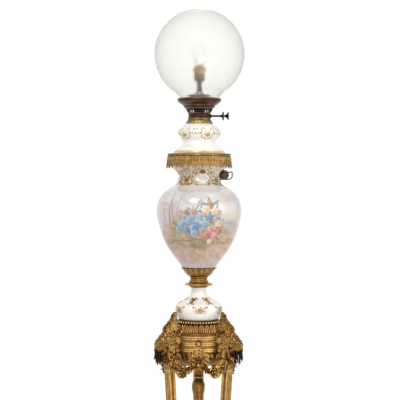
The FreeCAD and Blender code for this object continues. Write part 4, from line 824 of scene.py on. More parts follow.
piece("bulb_envelope", bulb(), clear_glass, "clear_glass", ("bulb_glass",))
cap = [(0, 1480.6), (9.5, 1480.6), (11.0, 1482.6), (11.0, 1501.0), (11.0, 1506.6), (0, 1506.6)]
piece("bulb_bayonet_cap", turned(softened(cap, 0.4), 48), *BRASS, ("bulb_cap",))


def holder():
    """Brass lampholder: a rounded shoulder, a barrel with a shadow line and a
    turned-in bead, and the hollow that takes the bulb's cap."""
    profile = [(3.0, 1462.1), (5.8, 1462.1), (6.4, 1464.4), (9.6, 1466.0), (12.6, 1468.4), (13.75, 1471.2),
        (13.75, 1480.0), (13.2, 1480.6), (13.2, 1481.8), (13.75, 1482.4), (13.75, 1499.6), (13.2, 1500.1),
        (11.6, 1500.1), (11.35, 1499.0), (11.35, 1475.7), (3.0, 1475.7), (3.0, 1462.1)]
    profile = softened(profile, 0.5)
    # Painted shading: the shoulder darker, the barrel lighter upwards, and a painted highlight on the top
    # ring.
    shading_and_wear = 0.05 + 0.5 * ease(1464, 1488, profile[:, 1:]) + 0.4 * ease(1497.5, 1499.5, profile[:, 1:])
    return turned(profile, 72, 0.0, shading_and_wear)


piece("brass_lampholder", holder(), *BRASS, ("lampholder",))


def knurled(profile, sides, count, low, high, depth=0.35, tone=0.6, axis="z"):
    """Turned piece with fine teeth, between two heights of its profile: its
    radius falls and rises with a sharpened wave round the axis."""
    p = np.array(profile, float)
    angle = full_turn(sides + 1)
    inside = ((p[:, 1:] > low) & (p[:, 1:] < high) & (p[:, :1] > 0.8 * p[:, 0].max())).astype(float)
    teeth = -depth * (0.5 + 0.5 * np.cos(count * angle))[None] * inside
    return turned(p, sides, teeth, tone + 0.3 * (teeth / depth + 0.5) * inside, axis)


ring = along(softened([(13.8, 1492.1), (16.05, 1492.1), (16.05, 1500.1), (13.8, 1500.1), (13.8, 1492.1)],
    0.5), 0.9)
piece("holder_shade_ring", knurled(ring, 160, 40, 1493.2, 1499.2), *BRASS, ("lampholder_ring",))
stem = [(3.0, 1443.1), (5.8, 1443.1), (5.8, 1446.0), (7.6, 1447.0), (7.6, 1449.0), (5.8, 1450.0),
    (5.8, 1462.1), (3.0, 1462.1), (3.0, 1443.1)]
piece("holder_stem", turned(softened(stem, 0.4), 40, 0.0, -0.1), *BRASS, ("lampholder_stem",))
adaptor = [(12.05, 1401.1), (22.0, 1401.1), (22.0, 1430.1), (30.0, 1430.1), (30.0, 1431.9), (29.2, 1432.6),
    (22.0, 1434.1), (11.0, 1434.5), (9.6, 1440.5), (5.9, 1443.1), (3.0, 1443.1), (3.0, 1430.1),
    (12.05, 1430.1), (12.05, 1401.1)]
piece("adaptor_plate", turned(softened(adaptor, 0.6), 96), plate_metal, "adaptor_steel", ("lamp_adaptor",))


def lens_drop():
    """Small dark boss with a bright point, as the gallery's fixings show: its tone runs from a painted
    highlight at the top to painted shade below.
    """
    side = through([(0.0, 1.9), (1.2, 1.5), (1.9, 0.4), (2.3, -0.4)], 10)
    return turned(side, 16, 0.0, np.linspace(0.9, -0.6, 10)[:, None])


def spun_gallery():
    """Spun gallery that holds the globe: a cup, a flared side with two fine rolled
    lines, and a deep rim. Small lips stand on the rim, as many as on a burner."""
    profile = [(12.05, 1399.5), (36.6, 1399.5), (39.0, 1401.2), (39.2, 1404.8), (40.6, 1406.4),
        (41.6, 1406.2), (43.4, 1408.4), (47.2, 1410.6), (51.0, 1413.4), (53.6, 1415.6), (54.4, 1417.4),
        (54.4, 1420.6), (53.8, 1422.6), (52.6, 1423.5), (49.4, 1423.5), (49.0, 1423.0), (49.0, 1418.5),
        (41.0, 1418.5), (41.0, 1416.9), (45.0, 1416.7), (43.0, 1411.4), (38.0, 1406.8), (37.4, 1401.4),
        (12.05, 1401.1), (12.05, 1399.5)]
    profile = softened(profile, 0.6)
    height = profile[:, 1:]
    # Painted highlights on the rim's top and the rolled line, and painted shade in the grooves under them
    # and at the cup's foot. The noise added to the tone is wear.
    tone = 0.48 + 0.35 * hump(height, 1422.8, 1.0) + 0.30 * hump(height, 1406.4, 0.9)
    tone = tone - 0.6 * hump(height, 1418.6, 1.5) - 0.4 * hump(height, 1408.2, 1.0) - 0.3 * hump(height,
        1403.0, 1.2)
    shading_and_wear = 0.5 * (cloud(np.linspace(0, 24, 161)[None] + 0 * height, height / 3.0, 19, 3) - 0.5)
    body = turned(profile, 160, 0.0, np.clip(tone + shading_and_wear, -0.5, 1))
    hooks = copies(lens_drop(), *round_ring(12, 53.2, 1419.2, UP, 0.0, 0.5))
    return joined(body, beads(60, 53.6, 1421.6, 1.5, 0.9), hooks)


piece("spun_shade_gallery", spun_gallery(), burner_bronze, "dark_bronze", ("shade_gallery",))


def slotted_basket():
    """Flared cup cut with upright slots: two turned rings, and bars between them."""
    foot = softened([(25.8, 1385.5), (27.0, 1385.5), (28.0, 1387.3), (26.8, 1387.3), (25.8, 1385.5)], 0.3)
    top = softened([(32.4, 1397.3), (33.7, 1397.3), (34.5, 1398.2), (34.5, 1399.5), (33.3, 1399.5),
        (32.4, 1397.3)], 0.3)
    # The bars take a low tone against the rings': painted shade in the slots.
    one = tube([(27.2, 0, 1386.8), (28.6, 0, 1389.4), (30.6, 0, 1393.0), (33.3, 0, 1397.9)],
        [1.15, 1.3, 1.4, 1.6], 8, (1, 0, 1), -0.15, 0.5)
    turns = np.array([about_axis(360.0 * (k + 0.5) / 36) for k in range(36)])
    return joined(turned(foot, 144, 0.0, 0.75), turned(top, 144, 0.0, 0.8),
        copies(one, turns, np.zeros((36, 3))))


piece("draught_basket", slotted_basket(), burner_bronze, "dark_bronze", ("burner_basket",))
base = [(10.5, 1364.5), (19.9, 1364.5), (19.9, 1374.5), (27.4, 1374.5), (28.0, 1375.4), (28.0, 1377.0),
    (27.3, 1377.8), (27.3, 1382.0), (28.0, 1382.8), (28.0, 1384.8), (27.6, 1385.5), (25.6, 1385.5),
    (25.6, 1377.5), (10.5, 1377.5), (10.5, 1364.5)]
piece("burner_ring", turned(softened(base, 0.4), 144, 0.0, 0.30), burner_bronze, "dark_bronze",
    ("burner_base",))
sleeve = [(1.35, 20.0), (4.0, 20.0), (4.0, 22.0), (2.4, 22.0), (2.4, 53.4), (3.0, 53.9), (3.84, 55.0),
    (3.84, 57.0), (6.0, 57.5), (9.8, 57.7), (10.5, 58.4), (10.5, 60.8), (9.8, 61.5), (1.35, 61.5),
    (1.35, 20.0)]
piece("winder_disc", knurled(along(softened(sleeve, 0.3), 0.7), 168, 42, 57.9, 61.3, 0.5, 0.4, "x"),
    winder_bronze, "dark_bronze", ("winder_sleeve",), "outer_winder")
shaft = [(0, 14.5), (4.0, 14.5), (4.0, 16.5), (1.3, 16.5), (1.3, 62.8), (3.2, 63.0), (3.2, 65.6),
    (3.8, 67.0), (5.6, 68.8), (8.2, 70.6), (10.2, 71.6), (10.5, 72.2), (10.5, 73.0), (9.6, 73.5), (0, 73.5)]
piece("winder_knob", knurled(along(softened(shaft, 0.3), 0.7), 168, 42, 71.4, 73.3, 0.4, 0.4, "x"),
    winder_bronze, "dark_bronze", ("winder_shaft",), "inner_winder")
sleeve_bush = [(2.45, 23.4), (4.6, 23.4), (4.6, 28.6), (5.4, 28.8), (5.4, 29.8), (4.6, 30.4), (2.45, 30.4),
    (2.45, 23.4)]
piece("winder_bush_ring", turned(softened(sleeve_bush, 0.3), 36, 0.0, 0.5, "x"), winder_bronze,
    "dark_bronze", ("winder_bush",))


# Porcelain cover, band and vase

GOLD_SUNK = 0.12


def radius_of(profile):
    """Function that gives a turned surface's radius at a height."""
    p = np.array(sorted(map(tuple, profile), key=lambda pair: pair[1]))
    return lambda height: np.interp(height, p[:, 1], p[:, 0])


def laid_on(flat, angle, height, radius_at):
    """Flat shape bent round a turned surface: its x goes round from an angle off
    the front, its y up from a height, and its z outwards."""
    z = height + flat[..., 1]
    radius = radius_at(z)
    turn = math.radians(angle - 90.0) + flat[..., 0] / np.maximum(radius, 1.0)
    out = radius + flat[..., 2] - GOLD_SUNK
    return np.stack([out * np.cos(turn), out * np.sin(turn), z], -1)


def strip(path, width):
    """Half-round strip along a flat path, its width falling to a third at both ends."""
    path = np.array(path, float)
    way = unit(np.gradient(path, axis=0))
    side = np.stack([-way[:, 1], way[:, 0]], -1)
    s = np.linspace(0, 1, len(path))
    half = 0.5 * width * (0.35 + 0.65 * np.sin(math.pi * s) ** 0.6)
    t = np.linspace(-1, 1, 5)
    flat = path[:, None] + side[:, None] * (half[:, None] * t)[..., None]
    return np.concatenate([flat, np.broadcast_to(0.45 * (1 - t**2), flat.shape[:2])[..., None]], -1)


def volute(x, y, size, start, sweep):
    """Flat C-scroll: an angle that turns evenly, at a radius that shrinks with its
    share of the way to the power 1.4."""
    t = np.linspace(0, 1, 28)
    angle = np.radians(start + sweep * t)
    radius = size * (1 - 0.75 * t**1.4)
    return np.stack([x + radius * np.cos(angle), y + radius * np.sin(angle)], -1)


def flat_petal(x, y, angle, length, width, rise=0.6):
    """Flat drop-shaped petal from a point, towards an angle."""
    s = upwards(8)
    t = np.linspace(-1, 1, 5)[None]
    half = 0.5 * width * np.sin(math.pi * s**0.65) ** 0.8
    a = math.radians(angle)
    u, v = length * s + 0 * t, t * half
    return np.stack([x + u * math.cos(a) - v * math.sin(a), y + u * math.sin(a) + v * math.cos(a),
        rise * (1 - t**2) * np.sin(math.pi * s)], -1)


def fan_shell(x, y, size, ribs=7, spread=150.0, middle=90.0, wide=0.36):
    """Flat fan of petals from one point, the middle one longest."""
    angles = middle + spread * (np.arange(ribs) / (ribs - 1) - 0.5)
    return [flat_petal(x, y, a, size * (1 - 0.25 * abs(a - middle) / spread), wide * size, 0.7)
        for a in angles]


def both_sides(flats):
    """Flat shapes and their mirror images across x = 0."""
    return flats + [f * [-1, 1, 1] for f in flats]


def scroll_frame(width, height, line):
    """Flat frame of C-scrolls about an oval: two big scrolls a side that curl at
    their ends, a leaf between them, and small ones below."""
    flats = [strip(volute(0.55 * width, 0.30 * height, 0.30 * width, 200, -300), line),
        strip(volute(0.50 * width, -0.30 * height, 0.27 * width, 150, 300), line),
        strip(through([(0.60 * width, -0.32 * height), (0.74 * width, 0), (0.62 * width, 0.30 * height)],
        18), line), strip(through([(0.0, -0.60 * height), (0.22 * width, -0.58 * height),
        (0.42 * width, -0.44 * height)], 16), line)]
    flats += [flat_petal(0.78 * width, 0, a, 0.24 * width, 0.10 * width) for a in (-35, 0, 35)]
    return both_sides(flats)


def gilded_on(flats, angles, height, radius_at, tone=0.7):
    """Shell of flat shapes laid on a turned surface at several angles."""
    parts = []
    for angle in angles:
        inside = (0, 0, height)
        parts += [shell(laid_on(flat, angle, height, radius_at), tone, inside) for flat in flats]
    return joined(*parts)


cover_side = np.vstack([[(60.0, 1291.5), (60.0, 1294.6), (58.6, 1296.0)],
    through([(55.8, 1300.3), (48.0, 1304.4), (42.0, 1309.9), (39.9, 1316.7), (44.1, 1322.1),
    (49.5, 1329.6), (52.1, 1337.1), (50.0, 1344.5), (43.8, 1352.7), (35.0, 1359.5)], 60)])
cover_radius = radius_of(cover_side[5:])
cover_inside = [(27.0, 1359.5), (27.0, 1356.0), (44.5, 1344.0), (46.0, 1337.0), (38.0, 1322.0),
    (35.5, 1316.0), (48.0, 1297.0), (48.0, 1291.5), (60.0, 1291.5)]
piece("cover_porcelain", turned(np.vstack([cover_side, cover_inside]), 144), white_glaze,
    "white_porcelain", ("font_cover",))
crest = scroll_frame(23.0, 23.0, 2.2) + fan_shell(0, -8.0, 19.0, 5, 110, 90, 0.15) + fan_shell(0, -6.0,
    6.0, 3, 90, -90, 0.3)
sprig = both_sides([strip(volute(4.5, 0.0, 5.5, 180, 260), 1.7), flat_petal(1.5, 3.0, 60, 9.0, 3.4)])
cover_gold = joined(gilded_on(crest, [25.0 + 72.0 * k for k in range(5)], 1335.0, cover_radius),
    gilded_on(sprig, [61.0 + 72.0 * k for k in range(5)], 1338.0, cover_radius, 0.55))
piece("cover_gold", cover_gold, fired_gold, "white_porcelain")


def leaf_relief(x, s, wide=0.44, lobes=5.0):
    """Height of a long leaf, from the place across it, -0.5 to 0.5, and the share of
    the way from its foot to its tip: a body with a standing rib and slanting veins,
    and edges that ripple in lobes."""
    half = wide * np.sin(math.pi * np.clip(0.10 + 0.90 * s, 0, 1) ** 0.8) ** 0.55
    half = half * (1 - 0.12 * np.cos(TURN * lobes * s)) + 1e-4
    body = ridge_under(np.abs(x) / half, 0.78, 0.22)
    veins = 0.5 + 0.5 * np.cos(TURN * (lobes * s - 1.6 * np.abs(x) / wide))
    return body * (0.50 + 0.30 * hump(x, 0, 0.06) + 0.25 * veins * ease(0.08, 0.2, np.abs(x))) * ease(0,
        0.06, s)


def leafy_rows(angle, s, count, wide=0.44, lobes=5.0, behind=0.6):
    """A ring of leaves, with the tips of a second ring between them."""
    x = wave(angle / TURN, count)
    between = wave(angle / TURN + 0.5 / count, count)
    return np.maximum(leaf_relief(x, s, wide, lobes), behind * leaf_relief(between, s * 0.92, wide, lobes))


def leafy_collar():
    """Gilt collar on the cover: a plain tapering band over a lip of lobed leaves
    whose edge waves up and down round the axis."""
    profile = along(softened([(20.0, 1374.5), (28.0, 1374.5), (28.4, 1373.4), (28.0, 1372.4),
        (30.2, 1364.0), (31.6, 1362.0), (33.8, 1360.6), (33.6, 1359.5), (20.0, 1359.5), (20.0, 1374.5)],
        0.4), 0.7)
    angle = full_turn(241)
    down = ease(1371.0, 1361.0, profile[:, 1:]) * (profile[:, :1] > 24)
    lobes = np.abs(np.sin(9 * angle))[None]
    chased = 0.5 + 0.5 * np.sin(27 * angle + 3 * np.sin(9 * angle))[None]
    relief = down * (1.3 * lobes - 0.9 + 0.45 * chased)
    plain = 0.32 - 0.35 * hump(profile[:, 1:], 1368.0, 1.5) + 0.1 * np.sin(5 * angle)[None]
    return turned(profile, 240, relief, plain + down * (0.75 * lobes - 0.55 + 0.3 * chased))


collar_leaves = joined(copies(leaf(10.5, 8.0, 3, 1.2, 0.1), *round_ring(16, 30.9, 1367.4, -UP, 16.0)),
    copies(leaf(12.0, 5.0, 3, 1.8, 0.1), *round_ring(16, 30.7, 1368.0, -UP, 15.0, 0.5)))
piece("burner_leaf_collar", joined(leafy_collar(), collar_leaves), pale_gilding, "gilt_bronze",
    ("burner_collar",))


def cove_ring():
    """Bright hollow-sided ring from the cover's flange out to the band."""
    side = through([(77.0, 1284.1), (75.6, 1284.9), (68.5, 1286.3), (64.0, 1288.6), (63.0, 1291.5)], 24)
    return turned(np.vstack([[(48.0, 1282.5), (77.0, 1282.5)], side, [(48.0, 1291.5), (48.0, 1282.5)]]),
        160, 0.0, 0.75)


piece("cove", joined(cove_ring(), beads(112, 77.4, 1283.4, 1.5, -0.5)), cove_gilding, "gilt_bronze",
    ("gallery_cove",))


def gallery_relief(u, v):
    """Height of the band's leafwork, from shares round and up: thirty leaves hang
    from a fillet, each between two scrolls that swell and shrink as waves cross."""
    x = wave(u, 30)
    tall = leaf_relief(x * 0.9, np.clip(1.02 - v, 0, 1) * 0.7, 0.34, 4.0)
    between = wave(u + 0.5 / 30, 30)
    reach = np.hypot(between / 0.30, (v - 0.50) / 0.30)
    turn = np.arctan2(v - 0.50, between * 2.6)
    scroll = ridge_under(np.abs(reach - 0.62 - 0.10 * turn / math.pi), 0.10, 0.14)
    eye = ridge_under(reach, 0.20, 0.15)
    chased = 0.30 + 0.25 * np.sin(TURN * 3 * x + 14 * v) * np.sin(TURN * 2 * x - 10 * v)
    f = np.maximum.reduce([tall, 0.9 * scroll, 0.8 * eye, chased + 0 * u])
    fillet = ease(0.80, 0.84, v)
    return np.clip(f * (1 - fillet) * (1 - 0.8 * hump(v, 0.80, 0.03)) + fillet * 0.62, 0, 1)


def gallery():
    """Ring round the vase's mouth: its outer side carries the leafwork, and thirty
    long leaves and thirty short ones hang below it."""
    v = upwards(44)
    u = np.linspace(0, 1, 901)[None]
    f = gallery_relief(u, v)
    edge = ease(0.0, 0.05, v) * (1 - ease(0.97, 1.0, v))
    radius = 79.7 - 2.4 * v + 2.0 * edge * f
    turn = TURN * u
    z = 1262.5 + 20.0 * v + 0 * u
    grid = np.stack([radius * np.cos(turn), radius * np.sin(turn), z], -1)
    outside = shell(grid, -0.42 + 1.50 * f, (0, 0, 1272.0))
    rest = turned([(77.3, 1282.5), (60.0, 1282.5), (60.0, 1279.5), (75.2, 1279.5), (77.2, 1262.5),
        (79.7, 1262.5)], 160, 0.0, 0.2)
    long = copies(leaf(19.0, 12.0, 4, 0.8, 0.10, 11, 7), *round_ring(30, 79.9, 1267.6, -UP, 6.0))
    short = copies(leaf(13.0, 8.0, 3, 0.4, 0.10, 8, 5), *round_ring(30, 80.2, 1266.0, -UP, 4.0, 0.5))
    buds = copies(leaf(7.0, 4.0, 1, 0.3, 0.10, 6, 5), *round_ring(60, 80.4, 1264.0, -UP, 4.0, 0.5))
    return joined(outside, rest, long, short, buds)


piece("gallery_leafwork", gallery(), band_gilding, "gilt_bronze", ("gallery_band",))

vase_side = through([(24.0, 984.5), (31.0, 990.4), (41.0, 1001.6), (50.5, 1014.5), (61.8, 1029.5),
    (73.0, 1044.5), (81.8, 1059.5), (89.0, 1074.5), (94.7, 1090.3), (99.5, 1106.5), (103.4, 1122.1),
    (106.0, 1140.3), (104.3, 1156.5), (99.5, 1171.5), (90.0, 1186.5), (81.0, 1194.4), (70.0, 1201.5),
    (60.0, 1207.1), (56.0, 1210.6), (54.3, 1216.5), (51.9, 1224.4), (51.0, 1231.5), (54.0, 1239.4),
    (61.5, 1246.5), (67.0, 1254.4), (68.1, 1265.3), (68.1, 1278.5)], 226)
vase_radius = radius_of(vase_side)

BOUQUET_HEIGHT = 1112.0
RESERVE_HEIGHT = 1224.0

# The bouquet: degrees off the front, height, size, petals, and dark and light colours
BLUES = ((74, 124, 164), (176, 214, 230))
DEEP_BLUES = ((52, 92, 148), (140, 184, 216))
PINKS = ((190, 84, 100), (244, 196, 196))
ROSES = ((164, 74, 74), (232, 166, 152))
CREAMS = ((206, 172, 130), (250, 236, 214))
LILACS = ((140, 126, 156), (216, 204, 218))
BLOOMS = [(-27.0, 1112.0, 12.0, 5, BLUES), (-16.5, 1122.0, 13.5, 6, BLUES),
    (-21.0, 1097.0, 11.0, 5, DEEP_BLUES), (-8.0, 1106.0, 14.0, 5, DEEP_BLUES),
    (-34.0, 1100.0, 9.0, 5, BLUES), (-3.0, 1128.0, 11.5, 6, BLUES), (5.0, 1112.0, 12.0, 5, BLUES),
    (-11.0, 1089.0, 10.0, 5, BLUES), (11.0, 1128.0, 9.5, 5, DEEP_BLUES), (14.5, 1098.0, 12.5, 5, PINKS),
    (19.5, 1082.0, 11.0, 5, PINKS), (8.0, 1086.0, 11.0, 5, ROSES), (24.0, 1112.0, 9.5, 5, CREAMS),
    (17.0, 1143.0, 10.5, 5, CREAMS), (6.5, 1147.0, 11.0, 5, CREAMS), (12.5, 1161.0, 8.0, 5, ROSES),
    (-13.0, 1140.0, 8.0, 5, PINKS), (25.5, 1094.0, 8.0, 5, ROSES), (-1.5, 1077.0, 8.5, 5, ROSES),
    (-24.0, 1131.0, 7.5, 5, LILACS), (0.5, 1163.0, 7.0, 5, LILACS), (21.0, 1128.0, 7.0, 5, LILACS),
    (13.0, 1069.0, 7.5, 5, CREAMS), (30.0, 1104.0, 6.0, 5, PINKS)]


def spread_over(colour, mask, paint):
    """Colour, one of screen values or one a point, laid over paint where the mask says."""
    if isinstance(colour, tuple):
        colour = np.array(screen(*colour)[:3])
    return paint + mask[:, None] * (colour - paint)


def blend(low, high, share):
    """Colour of each point between two of screen values."""
    low, high = (np.array(screen(*c)[:3]) for c in (low, high))
    return low + np.clip(share, 0, 1)[:, None] * (high - low)


def paint_blooms(paint, angle, z, radius, turn, size=1.0):
    """Leaves, sprigs and flowers on the paint. A flower is a tilted disc whose edge
    waves once a petal, darker where petals part and where a spiral of folds turns
    under, and lighter towards upper left. Noise wavers every edge like a brush."""
    rng = np.random.default_rng(5)
    brush = cloud(angle * 0.55, z / 2.6, 61, 3) - 0.5

    def from_point(a0, z0):
        a0, z0 = turn + a0 * size, BOUQUET_HEIGHT + (z0 - BOUQUET_HEIGHT) * size
        gap = (angle - a0 + 180.0) % 360.0 - 180.0
        return np.radians(gap) * radius, z - z0

    shade = ridge_under(np.hypot(*from_point(0.0, 1082.0)) / 46.0 + 0.5 * brush, 0.55, 0.45) * (z < 1096)
    paint = spread_over((120, 98, 66), 0.5 * shade, paint)
    greens = (((72, 84, 58), (150, 160, 118)), ((110, 92, 60), (188, 172, 124)),
        ((84, 104, 96), (158, 178, 166)))
    for a0, z0, reach, *_ in BLOOMS:
        dx, dz = from_point(a0, z0)
        for k in range(7):
            way = rng.uniform(0, TURN)
            far = (reach + rng.uniform(2.0, 9.0)) * size
            u = (dx * math.cos(way) + dz * math.sin(way)) / far
            v = (-dx * math.sin(way) + dz * math.cos(way)) / far
            blade = ridge_under(np.hypot((u - 0.85) / 0.55, (v - 0.2 * u**2) / 0.17) + 0.5 * brush, 0.85,
                0.3)
            light = 0.5 + 2.0 * v + 0.4 * hump(v, 0.2 * u**2, 0.03) + 0.3 * rng.uniform(-1, 1)
            paint = spread_over(blend(*greens[k % 3], light), 0.9 * blade, paint)
    for k in range(54):
        dx, dz = from_point(rng.normal(-2.0, 12.0), rng.normal(BOUQUET_HEIGHT, 18.0))
        far = np.hypot(dx, dz) / (rng.uniform(1.5, 3.6) * size) + brush
        colours = (PINKS, BLUES, CREAMS, ROSES, LILACS, greens[0])[k % 6]
        paint = spread_over(blend(*colours, 0.5 + 0.2 * dz - 0.1 * dx), 0.85 * ridge_under(far, 0.8, 0.6),
            paint)
    for a0, z0, reach, petals, colours in BLOOMS:
        dx, dz = from_point(a0, z0)
        reach = reach * size
        tilt, twist = rng.uniform(0, TURN, 2)
        u = dx * math.cos(tilt) + dz * math.sin(tilt)
        v = (dz * math.cos(tilt) - dx * math.sin(tilt)) * rng.uniform(1.0, 1.35)
        far = np.hypot(u, v) / reach + 0.22 * brush
        part = np.abs(np.cos(0.5 * petals * np.arctan2(v, u) + twist))
        edge = 0.84 + 0.16 * part**0.6
        inner = np.abs(np.cos(0.5 * petals * np.arctan2(v, u) + twist + 0.9))
        light = 0.50 + 0.30 * (dz - dx) / reach - 0.42 * hump(part, 0, 0.22) * ease(0.35, 0.7, far)
        fold = np.cos(petals * np.arctan2(v, u) + 9.0 * far + twist)
        light = light + 0.25 * hump(far, 0.78 * edge, 0.12) + (0.22 * inner - 0.25) * hump(far, 0.42, 0.14)
        light = light + 0.30 * fold * ease(0.12, 0.4, far) - 0.35 * hump(far, 0, 0.2)
        light = light - 0.35 * ease(0.85, 1.0, far / edge) + 0.8 * brush
        paint = spread_over(blend(*colours, light), 0.94 * ridge_under(far / edge, 0.84, 0.24), paint)
        paint = spread_over((214, 180, 110), 0.5 * ridge_under(far, 0.04, 0.07), paint)
    return paint


def landscape(points):
    """Colours of the vase by the angle off its front and the height: a misty sky
    that is lilac on the left and warm on the right, pale tree trunks, a bank and
    shrubs, ochre ground, and over them the bouquet; a peach neck with an oval
    reserve before each shell; white on the shoulder."""
    x, y, z = points.T
    angle = np.degrees(np.arctan2(x, -y))
    radius = np.maximum(np.hypot(x, y), 1.0)
    share = angle / 360.0 + 0.5
    soft = cloud(share * 8, z / 40.0, 3, 5, 8)
    fine = cloud(share * 40, z / 9.0, 11, 4, 40)
    streak = cloud(share * 60, z / 60.0, 17, 3, 60)
    side = 0.5 + 0.5 * np.sin(np.radians(angle - 10.0))
    paint = blend((204, 204, 212), (224, 216, 204), ease(0.15, 0.75, side + 0.5 * (soft - 0.5)))
    blue = ease(0.52, 0.66, soft) * ease(1120, 1165, z)
    paint = spread_over(blend((190, 206, 222), (214, 228, 236), fine), 0.8 * blue, paint)
    opening = np.exp(-((angle - 14) / 20) ** 2 - ((z - 1166) / 22) ** 2)
    paint = spread_over(blend((188, 208, 224), (226, 236, 240), soft), 0.85 * opening, paint)
    shade = np.exp(-((angle + 26) / 22) ** 2 - ((z - 1182) / 20) ** 2)
    paint = spread_over(blend((186, 182, 186), (208, 204, 206), fine), 0.75 * shade, paint)
    paint = spread_over((240, 230, 208), 0.7 * hump(np.abs(angle), 66, 14) * hump(z, 1150, 34), paint)
    warm = ease(0.50, 0.68, cloud(share * 6, z / 34.0, 29, 4, 6)) * (1 - ease(1150, 1185, z))
    paint = spread_over((232, 212, 196), 0.6 * warm, paint)
    for seed, colour in ((71, (222, 196, 196)), (77, (188, 188, 206)), (83, (236, 226, 200)),
            (89, (240, 238, 236)), (91, (206, 198, 194))):
        drift = ease(0.52, 0.66, cloud(share * 11, z / 24.0, seed, 5, 11))
        paint = spread_over(colour, 0.65 * drift, paint)
    boughs = ease(0.50, 0.64, cloud(share * 34, z / 9.0, 97, 4, 34)) * hump(z, 1168, 20)
    boughs = boughs * (hump(angle, -42, 22) + hump(angle, 134, 26) + hump(angle, -138, 22))
    paint = spread_over(blend((150, 142, 146), (206, 198, 196), fine), 0.6 * boughs, paint)
    paint = spread_over((232, 229, 226), 0.85 * ease(1190, 1206, z + 10 * (soft - 0.5)), paint)
    for a0, bend, wide, low, high in ((-44, 5, 2.4, 1090, 1192), (-37, -4, 1.6, 1096, 1188),
            (-52, -7, 1.2, 1096, 1180), (-31, 8, 1.0, 1120, 1186), (128, 5, 2.4, 1090, 1190),
            (139, -6, 1.6, 1094, 1184), (-142, 4, 2.0, 1092, 1188), (-133, -6, 1.2, 1094, 1178),
            (62, 5, 1.2, 1100, 1172)):
        rise = (z - low) / (high - low)
        gap = np.radians((angle - a0 - bend * rise**2 + 180) % 360 - 180) * radius
        trunk = hump(gap, 0, wide * (1.4 - rise)) * ease(0, 0.1, rise) * (1 - ease(0.75, 1.0, rise))
        paint = spread_over(blend((104, 86, 80), (166, 148, 140), fine + 0.2), 0.92 * trunk, paint)
        boughs = hump(gap, 9 * np.sin(9 * rise + a0), 0.9) * ease(0.45, 0.6, rise) * (1 - ease(0.8, 0.95,
            rise))
        paint = spread_over((158, 142, 138), 0.4 * boughs, paint)
    for a0, z0, wide, high, colours in ((-58, 1102, 30, 22, ((158, 122, 120), (224, 196, 184))),
            (-34, 1098, 26, 20, ((150, 106, 72), (212, 170, 128))),
            (-24, 1126, 34, 20, ((166, 132, 112), (220, 192, 174))),
            (52, 1104, 36, 24, ((136, 126, 144), (200, 188, 196))),
            (33, 1090, 26, 20, ((138, 118, 108), (200, 178, 164))),
            (78, 1098, 34, 20, ((150, 128, 128), (218, 198, 188))),
            (120, 1100, 40, 22, ((146, 128, 118), (214, 190, 168))),
            (165, 1096, 40, 18, ((150, 118, 92), (212, 180, 140))),
            (-105, 1102, 44, 24, ((146, 124, 130), (216, 196, 190))),
            (-150, 1098, 40, 20, ((142, 116, 100), (208, 182, 150)))):
        gap = np.radians((angle - a0 + 180) % 360 - 180) * radius
        reach = np.hypot(gap / wide, (z - z0) / high) + 0.9 * (soft - 0.5) + 0.5 * (fine - 0.5)
        paint = spread_over(blend(*colours, 0.3 + 0.9 * fine + 0.012 * (z - z0)),
            0.85 * ridge_under(reach, 0.6, 0.5), paint)
    bank = 1094 + 7 * np.sin(np.radians(angle * 2 + 40)) + 16 * (soft - 0.5)
    ground = 1 - ease(-9, 9, z - bank - 10 * (fine - 0.5) + 0.10 * angle * (np.abs(angle) < 70))
    ochre = blend((156, 120, 84), (222, 196, 166), 0.1 + 0.5 * streak + 0.8 * (fine - 0.1)
        + 0.5 * (soft - 0.4))
    paint = spread_over(ochre, ground, paint)
    tracks = ease(0.56, 0.70, cloud(share * 14, z / 7.0, 41, 4, 14)) * ground * ease(1040, 1060, z)
    paint = spread_over((132, 104, 72), 0.55 * tracks, paint)
    green = ease(0.56, 0.66, cloud(share * 18, z / 12.0, 47, 4, 18)) * ground
    paint = spread_over((150, 146, 96), 0.5 * green, paint)
    rise = z + 16 * (soft - 0.5)
    paint = spread_over(blend((180, 140, 122), (226, 200, 184), 1.4 * fine - 0.2),
        0.8 * (1 - ease(1036, 1066, rise)), paint)
    blooms = ease(0.54, 0.64, cloud(share * 30, z / 8.0, 53, 3, 30)) * hump(z, 1042, 14) * ease(0.36, 0.5,
        soft)
    paint = spread_over(blend((168, 104, 84), (214, 150, 128), 1.3 * fine), 0.5 * blooms, paint)
    paint = spread_over(blend((188, 170, 168), (226, 214, 210), fine), 0.85 * (1 - ease(1008, 1034, rise)),
        paint)
    front = paint_blooms(paint, angle, z, radius, 4.0)
    paint = paint_blooms(front, angle, z, radius, 184.0, 0.8)
    neck = ease(1205.5, 1208.0, z - 2.0 * np.abs(np.sin(np.radians(4 * (angle - 9.0)))))
    peach = blend((184, 156, 118), (242, 234, 216), 0.1 + 0.7 * soft + 1.2 * (fine - 0.35))
    gap = np.radians((angle - 9.0 + 45.0) % 90.0 - 45.0) * 52.0
    lattice = hump(np.abs(np.sin(0.42 * gap + 0.42 * z)), 0, 0.22) + hump(
        np.abs(np.sin(0.42 * gap - 0.42 * z)), 0, 0.22)
    peach = spread_over((176, 138, 92), 0.6 * np.clip(lattice, 0, 1) * ease(20.0, 26.0, np.abs(gap)), peach)
    scales = ease(0.52, 0.60, cloud(share * 70, z / 4.6, 101, 3, 70))
    peach = spread_over((142, 116, 74), 0.55 * scales * ease(12.0, 22.0,
        np.abs(gap) + 0.5 * np.abs(z - RESERVE_HEIGHT)), peach)
    paint = spread_over(peach, neck, paint)
    oval = ridge_under(np.hypot(gap / 18.0, (z - RESERVE_HEIGHT) / 14.0), 0.95, 0.08)
    milk = blend((206, 198, 180), (250, 248, 242), 0.35 + 1.6 * (fine - 0.35))
    return np.column_stack([spread_over(milk, 0.9 * oval, paint), np.ones(len(paint))])


